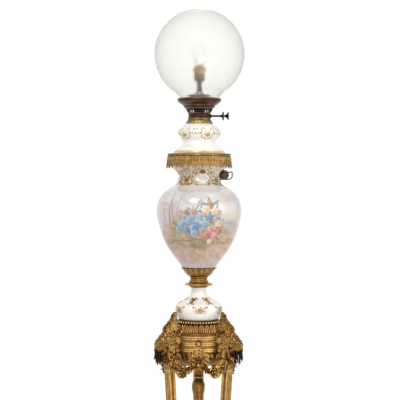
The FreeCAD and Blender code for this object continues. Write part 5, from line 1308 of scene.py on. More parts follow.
def vase():
    """The vase's outer side, with columns three times as close on its front, and a
    plain inner side."""
    front = np.linspace(-180.0, 0.0, 301)[:-1]
    rear = np.linspace(0.0, 180.0, 121)
    turn = np.radians(np.concatenate([front, rear]))
    grid = np.stack([vase_side[:, :1] * np.cos(turn), vase_side[:, :1] * np.sin(turn),
        np.broadcast_to(vase_side[:, 1:], (len(vase_side), len(turn)))], -1)
    outside = shell(grid, 0.6, (0, 0, 1130.0))
    inside = turned([(68.1, 1278.5), (63.1, 1278.5), (63.1, 1256.0), (46.5, 1232.0), (49.5, 1211.0),
        (84.0, 1187.0), (101.0, 1140.0), (86.0, 1078.0), (50.0, 1020.0), (21.0, 992.5), (5.9, 992.5),
        (5.9, 984.5), (24.0, 984.5)], 80)
    return joined(outside, inside)


piece("vase_porcelain", vase(), painted_glaze, "painted_porcelain", ("vase_body",), colours=landscape)
oval = [strip(np.stack([18.0 * np.cos(a), 14.0 * np.sin(a)], -1), 2.0)
    for a in (np.linspace(-1.2, 1.2, 30), np.linspace(math.pi - 1.2, math.pi + 1.2, 30))]
reserve = oval + both_sides([strip(volute(10.0, 15.0, 7.0, 120, -290), 2.2),
    strip(volute(15.0, -12.0, 5.5, -110, 280), 2.0), strip(volute(22.0, 8.0, 6.0, 190, -250), 2.0),
    flat_petal(19.0, 11.0, 50, 11.0, 4.4), flat_petal(20.0, -8.0, -30, 9.0, 4.0),
    flat_petal(20.0, 1.0, 10, 8.0, 3.4)])
corner_shell = fan_shell(0, -2.0, 12.0, 7, 170) + fan_shell(0, -3.0, 7.0, 5, 150, -90) + both_sides(
    [strip(volute(11.0, -2.0, 7.5, 170, 300), 2.4), strip(volute(18.0, 3.0, 5.0, 20, -280), 2.0),
    strip(through([(3.0, -8.0), (10.0, -10.5), (19.0, -6.5)], 16), 2.0), flat_petal(6.0, 5.0, 60, 9.0,
    3.8)])
edge_line = both_sides([strip(through([(0, 0), (7, -2.4), (14, -0.4), (20.0, 2.6)], 24), 1.7),
    strip(volute(14.0, 2.0, 3.2, -90, 260), 1.6)])
REST = [9.0 + 90.0 * k for k in range(4)]
BETWEEN = [54.0 + 90.0 * k for k in range(4)]
neck_gold = joined(gilded_on(reserve, REST, RESERVE_HEIGHT, vase_radius, 0.45),
    gilded_on(corner_shell, BETWEEN, 1219.0, vase_radius, 0.4),
    gilded_on(edge_line, [9.0 + 45.0 * k for k in range(8)], 1209.0, vase_radius, 0.5))
piece("neck_gold", neck_gold, fired_gold, "painted_porcelain")
piece("neck_red_shells", gilded_on(fan_shell(0, -2.0, 12.0, 7, 170) + fan_shell(0, -1.5, 6.0, 5, 200, -90),
    REST, 1239.0, vase_radius, 0.5), red_gold, "painted_porcelain")


# Porcelain foot and socle

foot_side = np.vstack([[(44.0, 872.0), (47.0, 872.6)], through(
    [(50.0, 874.4), (54.2, 880.0), (58.0, 889.0), (59.5, 896.5), (57.6, 905.6), (48.8, 914.4),
    (37.0, 920.2), (27.4, 926.6), (21.4, 933.6), (19.0, 941.0), (19.0, 952.0)], 70)])
foot_radius = radius_of(foot_side)
piece("foot_porcelain", turned(np.vstack([[(5.9, 872.0)], foot_side, [(5.9, 952.0), (5.9, 872.0)]]), 144),
    white_glaze, "white_porcelain", ("porcelain_foot",))
upper_scroll = both_sides([strip(volute(6.0, 2.0, 5.2, 190, -300), 2.2),
    strip(volute(8.0, -5.0, 4.2, 120, 280), 2.0), flat_petal(0.5, -1.0, -52, 10.0, 4.4),
    flat_petal(0.5, 1.0, 45, 10.0, 4.0)])
upper_scroll += fan_shell(0, -1.0, 9.0, 5, 120) + [flat_petal(0, -1.0, -90, 9.0, 4.4)]
lower_scroll = both_sides([strip(volute(8.0, 0.0, 7.0, 170, 310), 2.6),
    strip(volute(16.0, 2.5, 4.6, 200, -280), 2.2), strip(through([(2.0, -8.5), (10.0, -9.5), (19.0, -3.0)],
    14), 2.0), flat_petal(11.0, 3.0, 25, 10.0, 4.4)])
lower_scroll += fan_shell(0, -5.0, 13.0, 7, 150) + fan_shell(0, -5.5, 6.0, 5, 140, -90)
piece("foot_gold", joined(gilded_on(upper_scroll, [-24.0 + 60.0 * k for k in range(6)], 920.5, foot_radius,
    0.5), gilded_on(lower_scroll, [4.0 + 60.0 * k for k in range(6)], 901.0, foot_radius, 0.65)),
    fired_gold, "white_porcelain")


def socle_cup():
    """Leaf cup round the vase's foot: sixteen leaves on its flared side, over a neck
    with two rings. It stops short of the vase."""
    neck = softened([(5.9, 967.0), (23.0, 967.0), (23.4, 968.4), (22.0, 969.8), (20.9, 971.4),
        (20.5, 974.0), (21.6, 975.4), (22.6, 976.8), (21.8, 978.6), (24.0, 980.0)], 0.4)
    side = through([(24.2, 980.2), (27.4, 982.6), (31.6, 986.8), (34.8, 991.4), (38.2, 996.2),
        (41.6, 1001.2)], 44)
    angle = full_turn(481)
    s = upwards(44)
    relief = 1.5 * leafy_rows(angle[None], s, 16, 0.46, 4.0) * (1 - ease(0.92, 1.0, s))
    low = turned(neck, 96, 0.0, 0.45 + 0.4 * hump(along(neck, 50.0)[:, 1:], 968.4, 0.9)[:len(neck)])
    cup = turned(side, 480, relief, 0.12 + 0.5 * relief)
    inner = [(41.6, 1001.2), (41.2, 1001.5), (33.0, 992.0), (24.6, 984.6), (5.9, 984.5), (5.9, 967.0)]
    tips = copies(leaf(8.0, 9.0, 2, 2.2, 0.12), *round_ring(16, 38.6, 996.6, UP, -38.0))
    return joined(low, cup, turned(inner, 96, 0.0, 0.1), tips)


piece("socle_leaf_cup", socle_cup(), *GILT, ("socle_collar",))


def socle_ring():
    """Ring with a hollow above and below a row of beads."""
    profile = softened([(5.9, 952.0), (21.0, 952.0), (22.2, 953.4), (21.6, 954.6), (25.4, 955.6),
        (28.6, 956.6), (31.4, 956.9), (33.0, 957.4), (33.2, 959.5), (32.8, 961.6), (30.0, 962.0),
        (26.6, 962.6), (24.4, 964.0), (24.8, 965.2), (23.6, 966.4), (22.6, 967.0), (5.9, 967.0),
        (5.9, 952.0)], 0.4)
    tone = 0.40 + 0.3 * hump(profile[:, 1:], 956.6, 0.8) + 0.3 * hump(profile[:, 1:], 962.4, 0.8)
    return joined(turned(profile, 120, 0.0, tone), beads(34, 33.0, 959.5, 2.05, 0.8))


piece("socle_beaded_ring", socle_ring(), *GILT, ("socle_flange",))


# Bowl

def tongue_frieze(angle, v):
    """Height of twenty-four upright tongues with raised borders and a round head,
    and a rib up each middle."""
    x = np.abs(wave(angle / TURN, 24))
    top = np.sqrt(np.clip(1 - np.clip((v - 0.55) / 0.38, 0, 1) ** 2, 0, 1))
    half = 0.36 * top + 1e-3
    border = hump(x, half, 0.075) * (v < 0.95)
    inside = 0.42 * ridge_under(x / half, 0.7, 0.3)
    rib = 0.80 * hump(x, 0, 0.08) * ridge_under(v, 0.72, 0.1)
    return np.clip(np.maximum.reduce([border, inside, rib]), 0, 1)


def rim():
    """Stepped rim: a moulded foot, the tongues on a hollow side, a lip that carries
    the beads, and the deck."""
    foot = softened([(50.0, 838.0), (58.0, 838.0), (59.6, 838.6), (60.4, 840.2), (59.6, 841.8),
        (58.2, 842.6)], 0.4)
    side = through([(58.0, 842.8), (55.6, 846.4), (53.8, 850.6), (52.2, 855.0), (51.2, 859.4),
        (50.6, 864.4)], 40)
    lip = softened([(50.6, 864.6), (53.2, 865.0), (54.0, 865.8), (54.0, 868.8), (53.2, 869.8),
        (51.6, 871.2), (50.8, 872.0), (44.0, 872.0), (30.0, 871.0), (30.0, 838.0), (50.0, 838.0)], 0.4)
    angle = full_turn(541)
    v = upwards(40)
    f = tongue_frieze(angle[None], v)
    relief = 2.3 * f * ease(0, 0.04, v) * (1 - ease(0.96, 1.0, v))
    return joined(turned(foot, 160, 0.0, 0.4), turned(side, 540, relief, -0.20 + 1.2 * f),
        turned(lip, 160, 0.0, 0.22), beads(46, 54.4, 867.3, 2.3, 1.0))


piece("bowl_rim_tongues", rim(), *GILT, ("bowl_rim",))


def reeded_wall():
    """Drum with three broad reeds parted by beaded grooves: each reed swells as a
    half circle. Short leaves hang from its upper edge."""
    rows = np.linspace(0, 1, 110)
    z = 793.0 + 45.0 * rows
    part = (rows * 3) % 1.0
    swell = np.sqrt(np.clip(1 - (2 * part - 1) ** 2, 0, 1)) ** 0.8
    fine = 0.5 + 0.5 * np.cos(TURN * 9 * rows)
    radius = 61.9 + 1.7 * swell + 0.5 * fine - 1.2 * (1 - ease(0, 0.04, rows)) - 2.2 * ease(0.96, 1.0, rows)
    # Painted highlights on the reeds' crowns, painted shade in their grooves, and painted shade darkening
    # the top under the rim and hanging leaves.
    tone = 0.06 + 0.62 * swell + 0.30 * (fine - 0.3) - 0.45 * ease(0.92, 1.0, rows)
    angle = full_turn(361)
    twist = 0.5 + 0.5 * np.cos(60 * angle[None] + 9 * (part[:, None] - 0.5))
    chased = hump(part[:, None], 0.5, 0.10) * (rows[:, None] > 2 / 3)
    profile = np.stack([radius, z], -1)
    wall = turned(profile, 360, -0.5 * twist * chased, tone[:, None] - 0.35 * twist * chased)
    ends = turned([(50.0, 838.0), (60.0, 838.0)], 120, 0.0, 0.4), turned([(61.0, 793.0), (50.0, 793.0)],
        120, 0.0, 0.3)
    hanging = copies(leaf(5.0, 6.2, 1, 0.4, 0.12, 7, 5), *round_ring(60, 60.4, 838.8, -UP, 12.0))
    rows_of = [beads(110, 62.6, 793.0 + 45.0 * k / 3, 0.9, 0.7) for k in (1, 2)]
    return joined(wall, *ends, hanging, *rows_of)


piece("bowl_reeded_wall", reeded_wall(), *GILT, ("bowl_drum",))


def leafy_underside():
    """Round underside of the bowl, all leaves that spring from the finial."""
    side = through([(14.0, 755.2), (27.0, 757.0), (43.6, 763.4), (54.6, 774.8), (59.6, 786.2),
        (61.0, 793.0)], 64)
    angle = full_turn(577)
    s = upwards(64)
    f = leafy_rows(angle[None], s, 30, 0.45, 4.0, 0.6)
    relief = 1.9 * f * ease(0.02, 0.1, s) * (1 - ease(0.94, 1.0, s))
    inner = [(61.0, 793.0), (50.0, 793.0), (40.0, 775.0), (5.9, 765.0), (5.9, 755.0), (14.0, 755.2)]
    return joined(turned(side, 576, relief, -0.20 + 1.0 * f), turned(inner, 96, 0.0, 0.1))


piece("bowl_leafy_underside", leafy_underside(), *GILT, ("bowl_calyx",))


def drop():
    """Finial under the bowl: a ringed neck, and a bulge wrapped in leaves that
    closes to a bud."""
    neck = through([(11.6, 755.0), (12.0, 751.0), (9.4, 744.0), (8.8, 737.6), (9.6, 733.0), (11.9, 729.0),
        (11.7, 726.6), (8.9, 723.4), (9.2, 720.0)], 44)
    side = through([(9.4, 719.6), (12.6, 715.8), (14.9, 707.0), (14.1, 694.2), (11.1, 680.5), (7.5, 667.6),
        (4.2, 660.4), (0.0, 657.0)], 90)
    angle = full_turn(193)
    s = upwards(90)
    f = leafy_rows(angle[None], np.clip(s * 1.08, 0, 1), 7, 0.46, 5.0, 0.7)
    relief = 1.7 * f * ease(0.0, 0.08, s) * (1 - ease(0.85, 1.0, s))
    tone = 0.35 + 0.4 * hump(neck[:, 1:], 728.0, 2.0) - 0.3 * hump(neck[:, 1:], 722.0, 2.0)
    return joined(turned([(0, 755.0), (11.6, 755.0)], 48), turned(neck, 96, 0.0, tone),
        turned(side, 192, relief, -0.15 + 1.05 * f))


piece("leafy_drop", drop(), *GILT, ("drop_finial",))


# Rams' heads and consoles

def ringed_body(stations):
    """Body of ovals along X: from places (x, z, half width, half height), joined by
    smooth curves."""
    p = through(stations, 60)
    angle = full_turn(41)
    y, z = p[:, 2:3] * np.cos(angle), p[:, 1:2] + p[:, 3:4] * np.sin(angle)
    return np.stack([np.broadcast_to(p[:, :1], y.shape), y, z], -1), angle


def ram_skull():
    """Head that narrows from the poll to the muzzle: the brow swells over the eyes,
    the cheeks are hollowed under them, and the mouth and nostrils are cut in."""
    grid, angle = ringed_body([(60, 820, 13, 22), (80, 821, 15, 23.5), (94, 820, 15.5, 22.5),
        (104, 817.5, 14.0, 20.5), (110, 814.5, 12.0, 17.5), (115.2, 811.5, 10.0, 14.0),
        (119.3, 809.0, 8.0, 10.5), (122.6, 807.0, 5.5, 7.0), (123.8, 806.2, 0.5, 0.8)])
    x, y, z = grid[..., 0], grid[..., 1], grid[..., 2]
    side, top = np.abs(np.cos(angle))[None], np.sin(angle)[None]
    out = unit(np.stack([0 * x, y, z - 815], -1))
    brow = 2.8 * hump(x, 108, 4.0) * hump(top, 0.62, 0.22)
    cheek = -1.6 * hump(x, 116, 4.0) * hump(top, 0.1, 0.35) * side
    nose = 1.0 * hump(x, 117, 9.0) * hump(top, 1.0, 0.18)
    mouth = -1.5 * hump(top, -0.45, 0.07) * ease(113, 118, x) * (1 - ease(126, 127.5, x))
    nostril = -1.4 * hump(x, 124.5, 1.3) * hump(top, 0.25, 0.16)
    wool = 1.3 * np.maximum(0, np.sin(x * 0.9 + 2 * np.sin(9 * angle[None]))) * (1 - ease(98, 108, x))
    push = brow + cheek + nose + mouth + nostril + wool
    grid = grid + out * push[..., None]
    tone = 0.46 + 0.14 * brow + 0.25 * nose + 0.25 * mouth + 0.25 * nostril + 0.1 * cheek + 0.12 * wool
    return shell(grid, np.clip(tone, 0, 1))


def ram_horn():
    """Horn that curls back, down and forward beside the cheek while it moves
    outwards: its radius falls with the way along, and its ridges are a wave."""
    t = np.linspace(0, 1, 170)
    angle = np.radians(70 + 350 * t)
    curl = 17.5 * (1 - 0.30 * t)
    path = np.stack([90 + 9 * t + curl * np.cos(angle), -(8.5 + 10.0 * t**0.5),
        818.0 - 3.0 * t + 1.1 * curl * np.sin(angle)], -1)
    ridge = np.cos(TURN * 27 * t + 1.2 * np.sin(TURN * 4 * t))
    radius = 6.6 * (1 - 0.78 * t**1.2) * (1 + 0.10 * ridge)
    return tube(path, radius, 14, (0, 1, 0.01), 0.36 + 0.36 * ridge)


def ram_beard():
    """Dark beard: locks that taper downwards, each waving on its own."""
    parts = []
    for k, (x, y, length) in enumerate(((105, -5, 25), (105.5, 5, 27), (108.5, -2.4, 36), (109.5, 3.2, 33),
            (112.5, -4.8, 34), (113, 4.6, 37), (116, -1, 40), (118.5, -3.4, 35), (119, 3, 31),
            (121.5, 0, 26))):
        s = np.linspace(0, 1, 28)
        path = np.stack([x + 1.3 * np.sin(5 * s + k) + 3.0 * s * (x - 113) / 9,
            y * (1 - 0.2 * s) + 1.0 * np.sin(6 * s + 2 * k), 804 - length * s], -1)
        parts.append(tube(path, 3.6 * (1 - s) ** 0.55 * (0.88 + 0.12 * np.cos(11 * s)) + 0.35, 8,
            (1, 0, 0), -0.40 + 0.40 * np.cos(12 * s) ** 2))
    return joined(*parts)


def wool_curls():
    """Rows of small snail curls on the poll and neck."""
    t = np.linspace(0, 1, 26)
    angle = TURN * 1.5 * t
    spiral = np.stack([3.5 * (1 - t) * np.cos(angle), 3.5 * (1 - t) * np.sin(angle), 1.9 * t], -1)
    one = tube(spiral, 1.35 - 0.4 * t, 6, UP, 0.05 + 0.9 * t)
    places, fronts = [], []
    for row, x in enumerate((72, 79, 86, 93, 99.5, 105, 110, 114.5, 118)):
        middle, wide, high = (np.interp(x, (74, 94, 104, 110, 115.2, 119.3), run) for run in (
            (821, 820, 817.5, 814.5, 811.5, 809), (14.6, 15.5, 14, 12, 10, 8), (23.2, 22.5, 20.5, 17.5, 14,
            10.5)))
        for a in np.radians(np.arange(16 + 9 * (row % 2), 168, 18.0 + 0.12 * (x - 72))):
            places.append((x, wide * math.cos(a), middle + high * math.sin(a)))
            fronts.append((0.25 + 0.02 * max(x - 100, 0), math.cos(a), math.sin(a)))
    return copies(one, facing(np.array(fronts), (1, 0, 0)), np.array(places))


def ram_ear():
    """Ear that stands out sideways and a little down behind the eye, cupped."""
    one = leaf(15.0, 7.4, 1, -1.6, 0.35, 9, 7, 1.0, 0.6)
    return pointing(one, (103, -13.5, 823), (0.75, -0.25, 0.5), (-0.5, -0.7, -0.8))


def ram_eye():
    """Lidded eye: a ball between two arched rims."""
    ball = turned([(0, -2.4), (1.7, -1.7), (2.4, 0), (1.7, 1.7), (0, 2.4)], 14, 0.0, 0.5)
    t = np.linspace(0, math.pi, 14)
    lids = [tube(np.stack([3.1 * np.cos(t), side * 1.8 * np.sin(t), 1.5 * np.sin(t) + 0.2], -1), 0.6, 6,
        UP, 0.85) for side in (-1, 1)]
    place, way = (115.0, -11.0, 822.0), (0.6, -0.78, 0.2)
    dark = pointing(turned([(0, 0), (0.9, 0.1), (0, 0.35)], 10, 0.0, 0.0),
        np.array(place) + 2.2 * unit(np.array(way)), way)
    return joined(pointing(joined(ball, *lids), place, way), dark)


def ram_head():
    """Whole head towards +X, with the scrolled leaf that ties it to the bowl."""
    one_side = joined(ram_horn(), ram_ear(), ram_eye())
    crown = pointing(leaf(20.0, 18.0, 5, 3.0, 0.15), (82, 0, 840.0), (0.55, 0, 1), (1, 0, -0.75))
    brackets = [pointing(leaf(38.0 - 3 * abs(k), 15.0, 5, 3.5, 0.12, 14, 9),
        (84 + 9 * math.cos(k), 10 * math.sin(k), 804.0), (math.cos(k), math.sin(k), 0.1), (0.05, 0, -1))
        for k in (-2.4, -1.5, -0.75, 0.0, 0.75, 1.5, 2.4)]
    nape = [pointing(leaf(34.0, 17.0, 5, 2.0, 0.12, 14, 9), (72, side * 13.0, y), (0, side, 0.1),
        (0.8, 0, up)) for side in (-1, 1) for y, up in ((838.0, -0.5), (806.0, 0.4))]
    rng = np.random.default_rng(11)
    flank = [pointing(leaf(rng.uniform(11, 19), rng.uniform(7, 11), 3, 2.6, 0.16, 8, 7),
        (rng.uniform(62, 92), -rng.uniform(13.5, 17.0), rng.uniform(770, 842)),
        (rng.uniform(-0.3, 0.6), -1, rng.uniform(-0.3, 0.3)), (rng.uniform(-0.8, 0.6), 0,
        rng.uniform(-1.4, 0.1))) for _ in range(34)]
    chest = [pointing(leaf(rng.uniform(12, 20), rng.uniform(8, 11), 3, 3.0, 0.16, 8, 7),
        (rng.uniform(95, 103), rng.uniform(-13, 13), rng.uniform(778, 806)), (1, rng.uniform(-0.5, 0.5),
        0.2), (0.1, rng.uniform(-0.6, 0.6), -1)) for _ in range(14)]
    flank += [pointing(leaf(rng.uniform(9, 15), rng.uniform(6, 9), 3, 2.4, 0.16, 8, 7),
        (rng.uniform(82, 102), -rng.uniform(17.0, 20.0), rng.uniform(800, 836)),
        (rng.uniform(-0.2, 0.5), -1, rng.uniform(-0.3, 0.3)), (rng.uniform(-1, 0.3), 0,
        rng.uniform(-1, -0.1))) for _ in range(16)]
    flank = joined(*flank)
    return joined(ram_skull(), one_side, mirrored(one_side), wool_curls(), ram_beard(), crown, flank,
        mirrored(flank), *brackets, *nape, *chest)


def leaf_over(path, outwards, width, lobes, lift, rows, tone):
    """Acanthus leaf laid along a path in the X-Z plane: its half-width rises and
    falls with lobes, its rib stands up, and its edges curl away outwards."""
    p = through(path, rows)[:, None]
    out = np.array(outwards, float)
    along_way = unit(np.gradient(p[:, 0], axis=0))
    side = np.array([0.0, 1.0, 0.0])
    normal = np.cross(along_way, side)
    normal = normal * np.sign((normal @ out))[:, None]
    s = upwards(rows)
    t = np.linspace(-1, 1, 13)[None]
    half = 0.5 * width * (0.35 + 0.65 * np.sin(math.pi * s**0.8) ** 0.7) * (
        1 - 0.18 * np.cos(TURN * lobes * s))
    half = half * (1 - ease(0.85, 1.0, s) * 0.75)
    veins = np.cos(TURN * (lobes * s + 1.2 * np.abs(t)))
    rise = lift * (0.35 + 0.5 * hump(t, 0, 0.2) + 0.9 * t**2 * np.sin(math.pi * s)
        + 0.25 * veins * np.abs(t))
    top = p + side * (half * t)[..., None] + normal[:, None] * rise[..., None]
    shade = np.clip(tone + 0.3 * hump(t, 0, 0.2) + 0.35 * hump(np.abs(t), 1, 0.3) + 0.15 * veins, 0, 1)
    return lens(top, 1.4, shade)


def console_scroll():
    """Bracket from the head up to the foot's edge: rounded oblongs stacked between
    its inner and outer sides and chased with folds, a scroll at its tip, leaves down
    its outer side and its flanks, and a ruff of leaves over the head."""
    p = through([(844.0, 60.5, 100.0), (850.0, 60.8, 95.0), (857.0, 61.2, 87.0), (865.0, 62.0, 79.5),
        (874.0, 63.0, 74.0), (883.0, 64.0, 70.5), (890.0, 65.0, 68.4), (893.0, 65.6, 67.6)], 48)
    a = full_turn(97)
    c, s = np.cos(a), np.sin(a)
    middle, half = 0.5 * (p[:, 1:2] + p[:, 2:3]), 0.5 * (p[:, 2:3] - p[:, 1:2])
    folds = np.sin(9 * a[None] + 0.35 * p[:, :1] + 2 * np.sin(0.3 * p[:, :1])) * np.clip(half / 10.0, 0, 1)
    x = middle + (half + 0.7 * folds) * squared(c, 0.6)
    y = (8.6 - 3.6 * ease(864, 893, p[:, :1]) + 0.8 * folds) * squared(s, 0.6)
    grid = np.stack([x, y, np.broadcast_to(p[:, :1], x.shape)], -1)
    ends = [np.repeat(np.array([[middle[k, 0], 0, p[k, 0]]]), 97, 0) for k in (0, -1)]
    body = shell(np.array([ends[0], *grid, ends[1]]), np.vstack(
        [folds[:1], folds, folds[-1:]]) * 0.35 + 0.2)
    t = np.linspace(0, 1, 60)
    turn = np.radians(-60 + 560 * t)
    spiral = np.stack([67.5 + 3.0 * (1 - 0.85 * t) * np.cos(turn), 0 * t,
        888.6 + 3.0 * (1 - 0.85 * t) * np.sin(turn)], -1)
    strap = [tube(spiral + (0, y, 0), 1.0 - 0.5 * t, 8, (0, 1, 0), 0.7) for y in (-5.6, 5.6)]
    eye = turned([(0, 881.2), (2.8, 881.2), (3.8, 882.4), (3.2, 886.6), (3.8, 890.8), (2.8, 892.0),
        (0, 892.0)], 32, 0.0, 0.2)
    eye = eye[0] @ np.array([[1, 0, 0], [0, 0, 1], [0, -1, 0.0]]) + (67.5, 886.6, 888.6), eye[1], eye[2]
    leafage = leaf_over([(100.5, 0, 845.0), (88.5, 0, 856.4), (79.5, 0, 867.0), (73.8, 0, 877.4),
        (70.4, 0, 887.0), (68.4, 0, 893.4)], (1, 0, 0.5), 18.0, 5, 1.8, 48, 0.2)
    curls = [pointing(leaf(11.0, 16.0, 3, 4.0, 0.2, 9, 7), (x, 0, z), (0.7, 0, 0.7), (0.9, 0, -0.7))
        for x, z in ((85.0, 860.0), (76.0, 873.0))]
    flanks = [pointing(leaf(length, wide, 4, 2.0, 0.12, 14, 9), (x, side * (8.6 - 0.11 * max(0, z - 864)),
        z), (0, side, 0.05), (tx, 0, tz)) for side in (-1, 1) for x, z, length, wide, tx, tz in (
        (95.0, 846.0, 30.0, 14.0, -0.66, 0.75), (82.0, 845.0, 30.0, 13.0, -0.25, 0.95),
        (70.0, 845.0, 30.0, 11.0, -0.05, 1.0), (88.0, 860.0, 22.0, 12.0, 0.3, -0.95),
        (76.0, 872.0, 24.0, 12.0, 0.4, -0.9), (70.0, 889.0, 22.0, 9.0, 0.15, -1))]
    ruff = [pointing(leaf(17.0, 12.0, 3, 3.0, 0.15), (86 + 13 * math.cos(k), 8.5 * math.sin(k), 846.0),
        (math.cos(k), math.sin(k), 0.35), (0.2 * math.cos(k), 0.2 * math.sin(k), -1)) for k in np.radians(
        (-150, -100, -55, -18, 18, 55, 100, 150))]
    return joined(body, *strap, eye, leafage, *curls, *flanks, *ruff)


for side, angle in LEG_ANGLES.items():
    piece(f"ram_{side}", swung(ram_head(), angle), *GILT, (f"ram_head_{side}",))
    piece(f"scrolled_console_{side}", swung(console_scroll(), angle), *GILT, (f"console_{side}",))


# Rose garlands

def eight_ways():
    """Eight ways in the Y-Z plane, an eighth of a turn apart."""
    angle = np.radians(np.arange(0, 360, 45))
    return np.stack([0 * angle, np.cos(angle), np.sin(angle)], -1)


def garland():
    """Garland towards +X: on each half route a stem, roses and leaves in turn round
    it, thickest at the big open rose, and a leaf drop under the knob."""
    rng = np.random.default_rng(7)
    small = rose(7.4, ((5, 1.0, 20.0), (4, 0.62, 50.0)), 4)
    big = rose(15.5, ((5, 1.0, 4.0), (5, 0.72, 30.0), (4, 0.46, 56.0)), 6)
    sprig = leaf(12.0, 7.0, 2, 1.6, 0.1, 7, 5, 0.7)
    parts = []
    for side in (-1, 1):
        route = [(out * LEG_HEAD, side * across * LEG_HEAD, 796.0 + up * 117.0) for out, across, up in (
            (0.800, 0.0, -0.13), (0.817, 0.05, -0.17), (0.830, 0.24, -0.325), (0.823, 0.463, -0.40),
            (0.780, 0.66, -0.34), (0.720, 0.78, -0.155), (0.673, 0.805, 0.05))]
        path = through(route, 60)
        stem = tube(path, np.interp(np.linspace(0, 1, 60), [0, 0.3, 0.6, 1], [1.6, 4.2, 5.0, 4.0]), 10, UP,
            0.4)
        out = unit(path * [1, 1, 0] + (0, 0, 0.001))
        way = unit(np.gradient(path, axis=0))
        up = np.cross(out, way)
        parts.append(stem)
        picks = np.linspace(2, 57, 24).astype(int)
        lean = rng.uniform(-70, 70, len(picks)) * np.where(np.arange(len(picks)) % 2, 1, -1)
        front = unit(out[picks] * np.cos(np.radians(lean))[:, None]
            + up[picks] * np.sin(np.radians(lean))[:, None])
        places = path[picks] + 3.8 * front
        parts.append(copies(small, facing(front, way[picks]), places, rng.uniform(0.75, 1.12, len(picks))))
        picks = np.linspace(1, 58, 60).astype(int)
        lean = rng.uniform(20, 150, len(picks)) * np.where(np.arange(len(picks)) % 2, 1, -1)
        front = unit(out[picks] * np.cos(np.radians(lean))[:, None]
            + up[picks] * np.sin(np.radians(lean))[:, None])
        tip = unit(np.cross(front, way[picks]) + 0.8 * way[picks] * rng.uniform(-1, 1, (len(picks), 1))
            + 0.3 * front)
        parts.append(copies(sprig, facing(front, tip), path[picks] + 4.0 * front,
            rng.uniform(0.7, 1.15, len(picks))))
        heart = np.array(route[3]) + 3.2 * unit(np.array(route[3]) * [1, 1, 0])
        face = unit(np.array(route[3]) * [1, 1, 0] * [1, 0.7, 1] + (0, 0, 4.0))
        parts.append(copies(big, facing(face, UP), heart[None]))
        tips = eight_ways()
        parts.append(copies(leaf(13.5, 7.5, 2, 1.0, 0.1, 7, 5), facing(np.broadcast_to(face, (8, 3)),
            tips), np.broadcast_to(heart - 1.5 * face, (8, 3)) + 3.0 * tips))
    for height, y, length, wide, slant in ((806.0, 0, 19.0, 13.0, 0), (800.0, -6.0, 19.0, 12.0, -0.5),
            (800.0, 6.0, 19.0, 12.0, 0.5), (793.0, 0, 20.0, 15.0, 0), (787.0, -9.0, 20.0, 13.0, -0.6),
            (787.0, 9.0, 20.0, 13.0, 0.6), (781.0, 0, 22.0, 14.0, 0), (778.0, -11.0, 16.0, 12.0, -0.9),
            (778.0, 11.0, 16.0, 12.0, 0.9), (770.0, -4.0, 15.0, 10.0, -0.3), (770.0, 4.0, 15.0, 10.0, 0.3),
            (774.0, 0, 22.0, 15.0, 0), (766.0, -8.0, 18.0, 12.0, -0.7), (766.0, 8.0, 18.0, 12.0, 0.7),
            (763.0, 0, 17.0, 13.0, 0), (795.0, -13.0, 18.0, 12.0, -0.9), (795.0, 13.0, 18.0, 12.0, 0.9)):
        parts.append(pointing(leaf(length, wide, 3, 2.4, 0.14), (69.4 - 0.01 * y * y, y, height),
            (1, 0.04 * y, 0.14), (0, slant, -1)))
    for _ in range(52):
        down = rng.uniform(0, 1)
        y, height = rng.normal(0, 11.0 - 3.5 * down), 798.0 - 40.0 * down
        parts.append(pointing(leaf(rng.uniform(10, 15), rng.uniform(7, 10), 3, 4.0, 0.2),
            (70.6 - 0.01 * y * y, y, height), (1, 0.05 * y, rng.uniform(-0.1, 0.5)),
            (0.1, 0.09 * y + rng.uniform(-0.6, 0.6), -1)))
    parts.append(copies(small, facing(np.array([(1, 0, 0.1), (1, -0.5, 0), (1, 0.5, 0)]), UP),
        np.array([(71.5, 0, 796.0), (69.5, -9.0, 780.0), (69.5, 9.0, 780.0)]), 0.8))
    parts.append(tube([(67.8, 0, 812.0), (67.9, 0, 790.0), (68.2, 0, 766.0)], [1.6, 2.2, 1.0], 8,
        (0, 1, 0), 0.0))
    return joined(*parts)


def knob_rosette():
    """Round knob on its pin, in a ring of small petals."""
    pin = turned([(0, 60.2), (2.2, 60.2), (2.2, 70.0), (0, 70.0)], 16, 0.0, 0.4, "x")
    ball = through([(0, 68.0), (4.0, 69.2), (5.6, 73.0), (4.0, 76.4), (0, 77.4)], 16)
    ball = turned(ball, 32, 0.3 * np.cos(8 * full_turn(33))[None] * np.ones((16, 1)), 0.7, "x")
    move = (0, 0, KNOB_HEIGHT - WINDER_HEIGHT)
    tips = eight_ways()
    petals = copies(leaf(8.5, 5.2, 1, 0.8, 0.1, 6, 5), facing(np.tile([1.0, 0, 0], (8, 1)), tips),
        np.array([70.5, 0, KNOB_HEIGHT]) + 1.5 * tips)
    petals = petals[0], petals[1], 0.3 * petals[2]
    husks = [pointing(leaf(14.0, 8.0, 3, 2.2, 0.25, 9, 7), (73.5, y, z), (1, 0, 0.2), (0.06, 0.28 * y, -1))
        for z in (813.0, 805.0, 797.0) for y in (-1.8, 1.8)]
    back = tube([(69.5, 0, 816.0), (70.5, 0, 804.0), (70.5, 0, 788.0)], [5.0, 7.6, 6.0], 16, (1, 0, 0),
        -0.4, 0.3)
    return joined((pin[0] + move, pin[1], pin[2]), (ball[0] + move, ball[1], ball[2]), petals, *husks, back)


for side, angle in SWAG_ANGLES.items():
    piece(f"rose_garland_{side}", swung(garland(), angle), *GILT, (f"swag_{side}",), sharp=60.0)
piece("garland_knobs", joined(*[swung(knob_rosette(), a) for a in SWAG_ANGLES.values()]), *GILT,
    ("swag_hooks",))


# Legs, stretcher and base

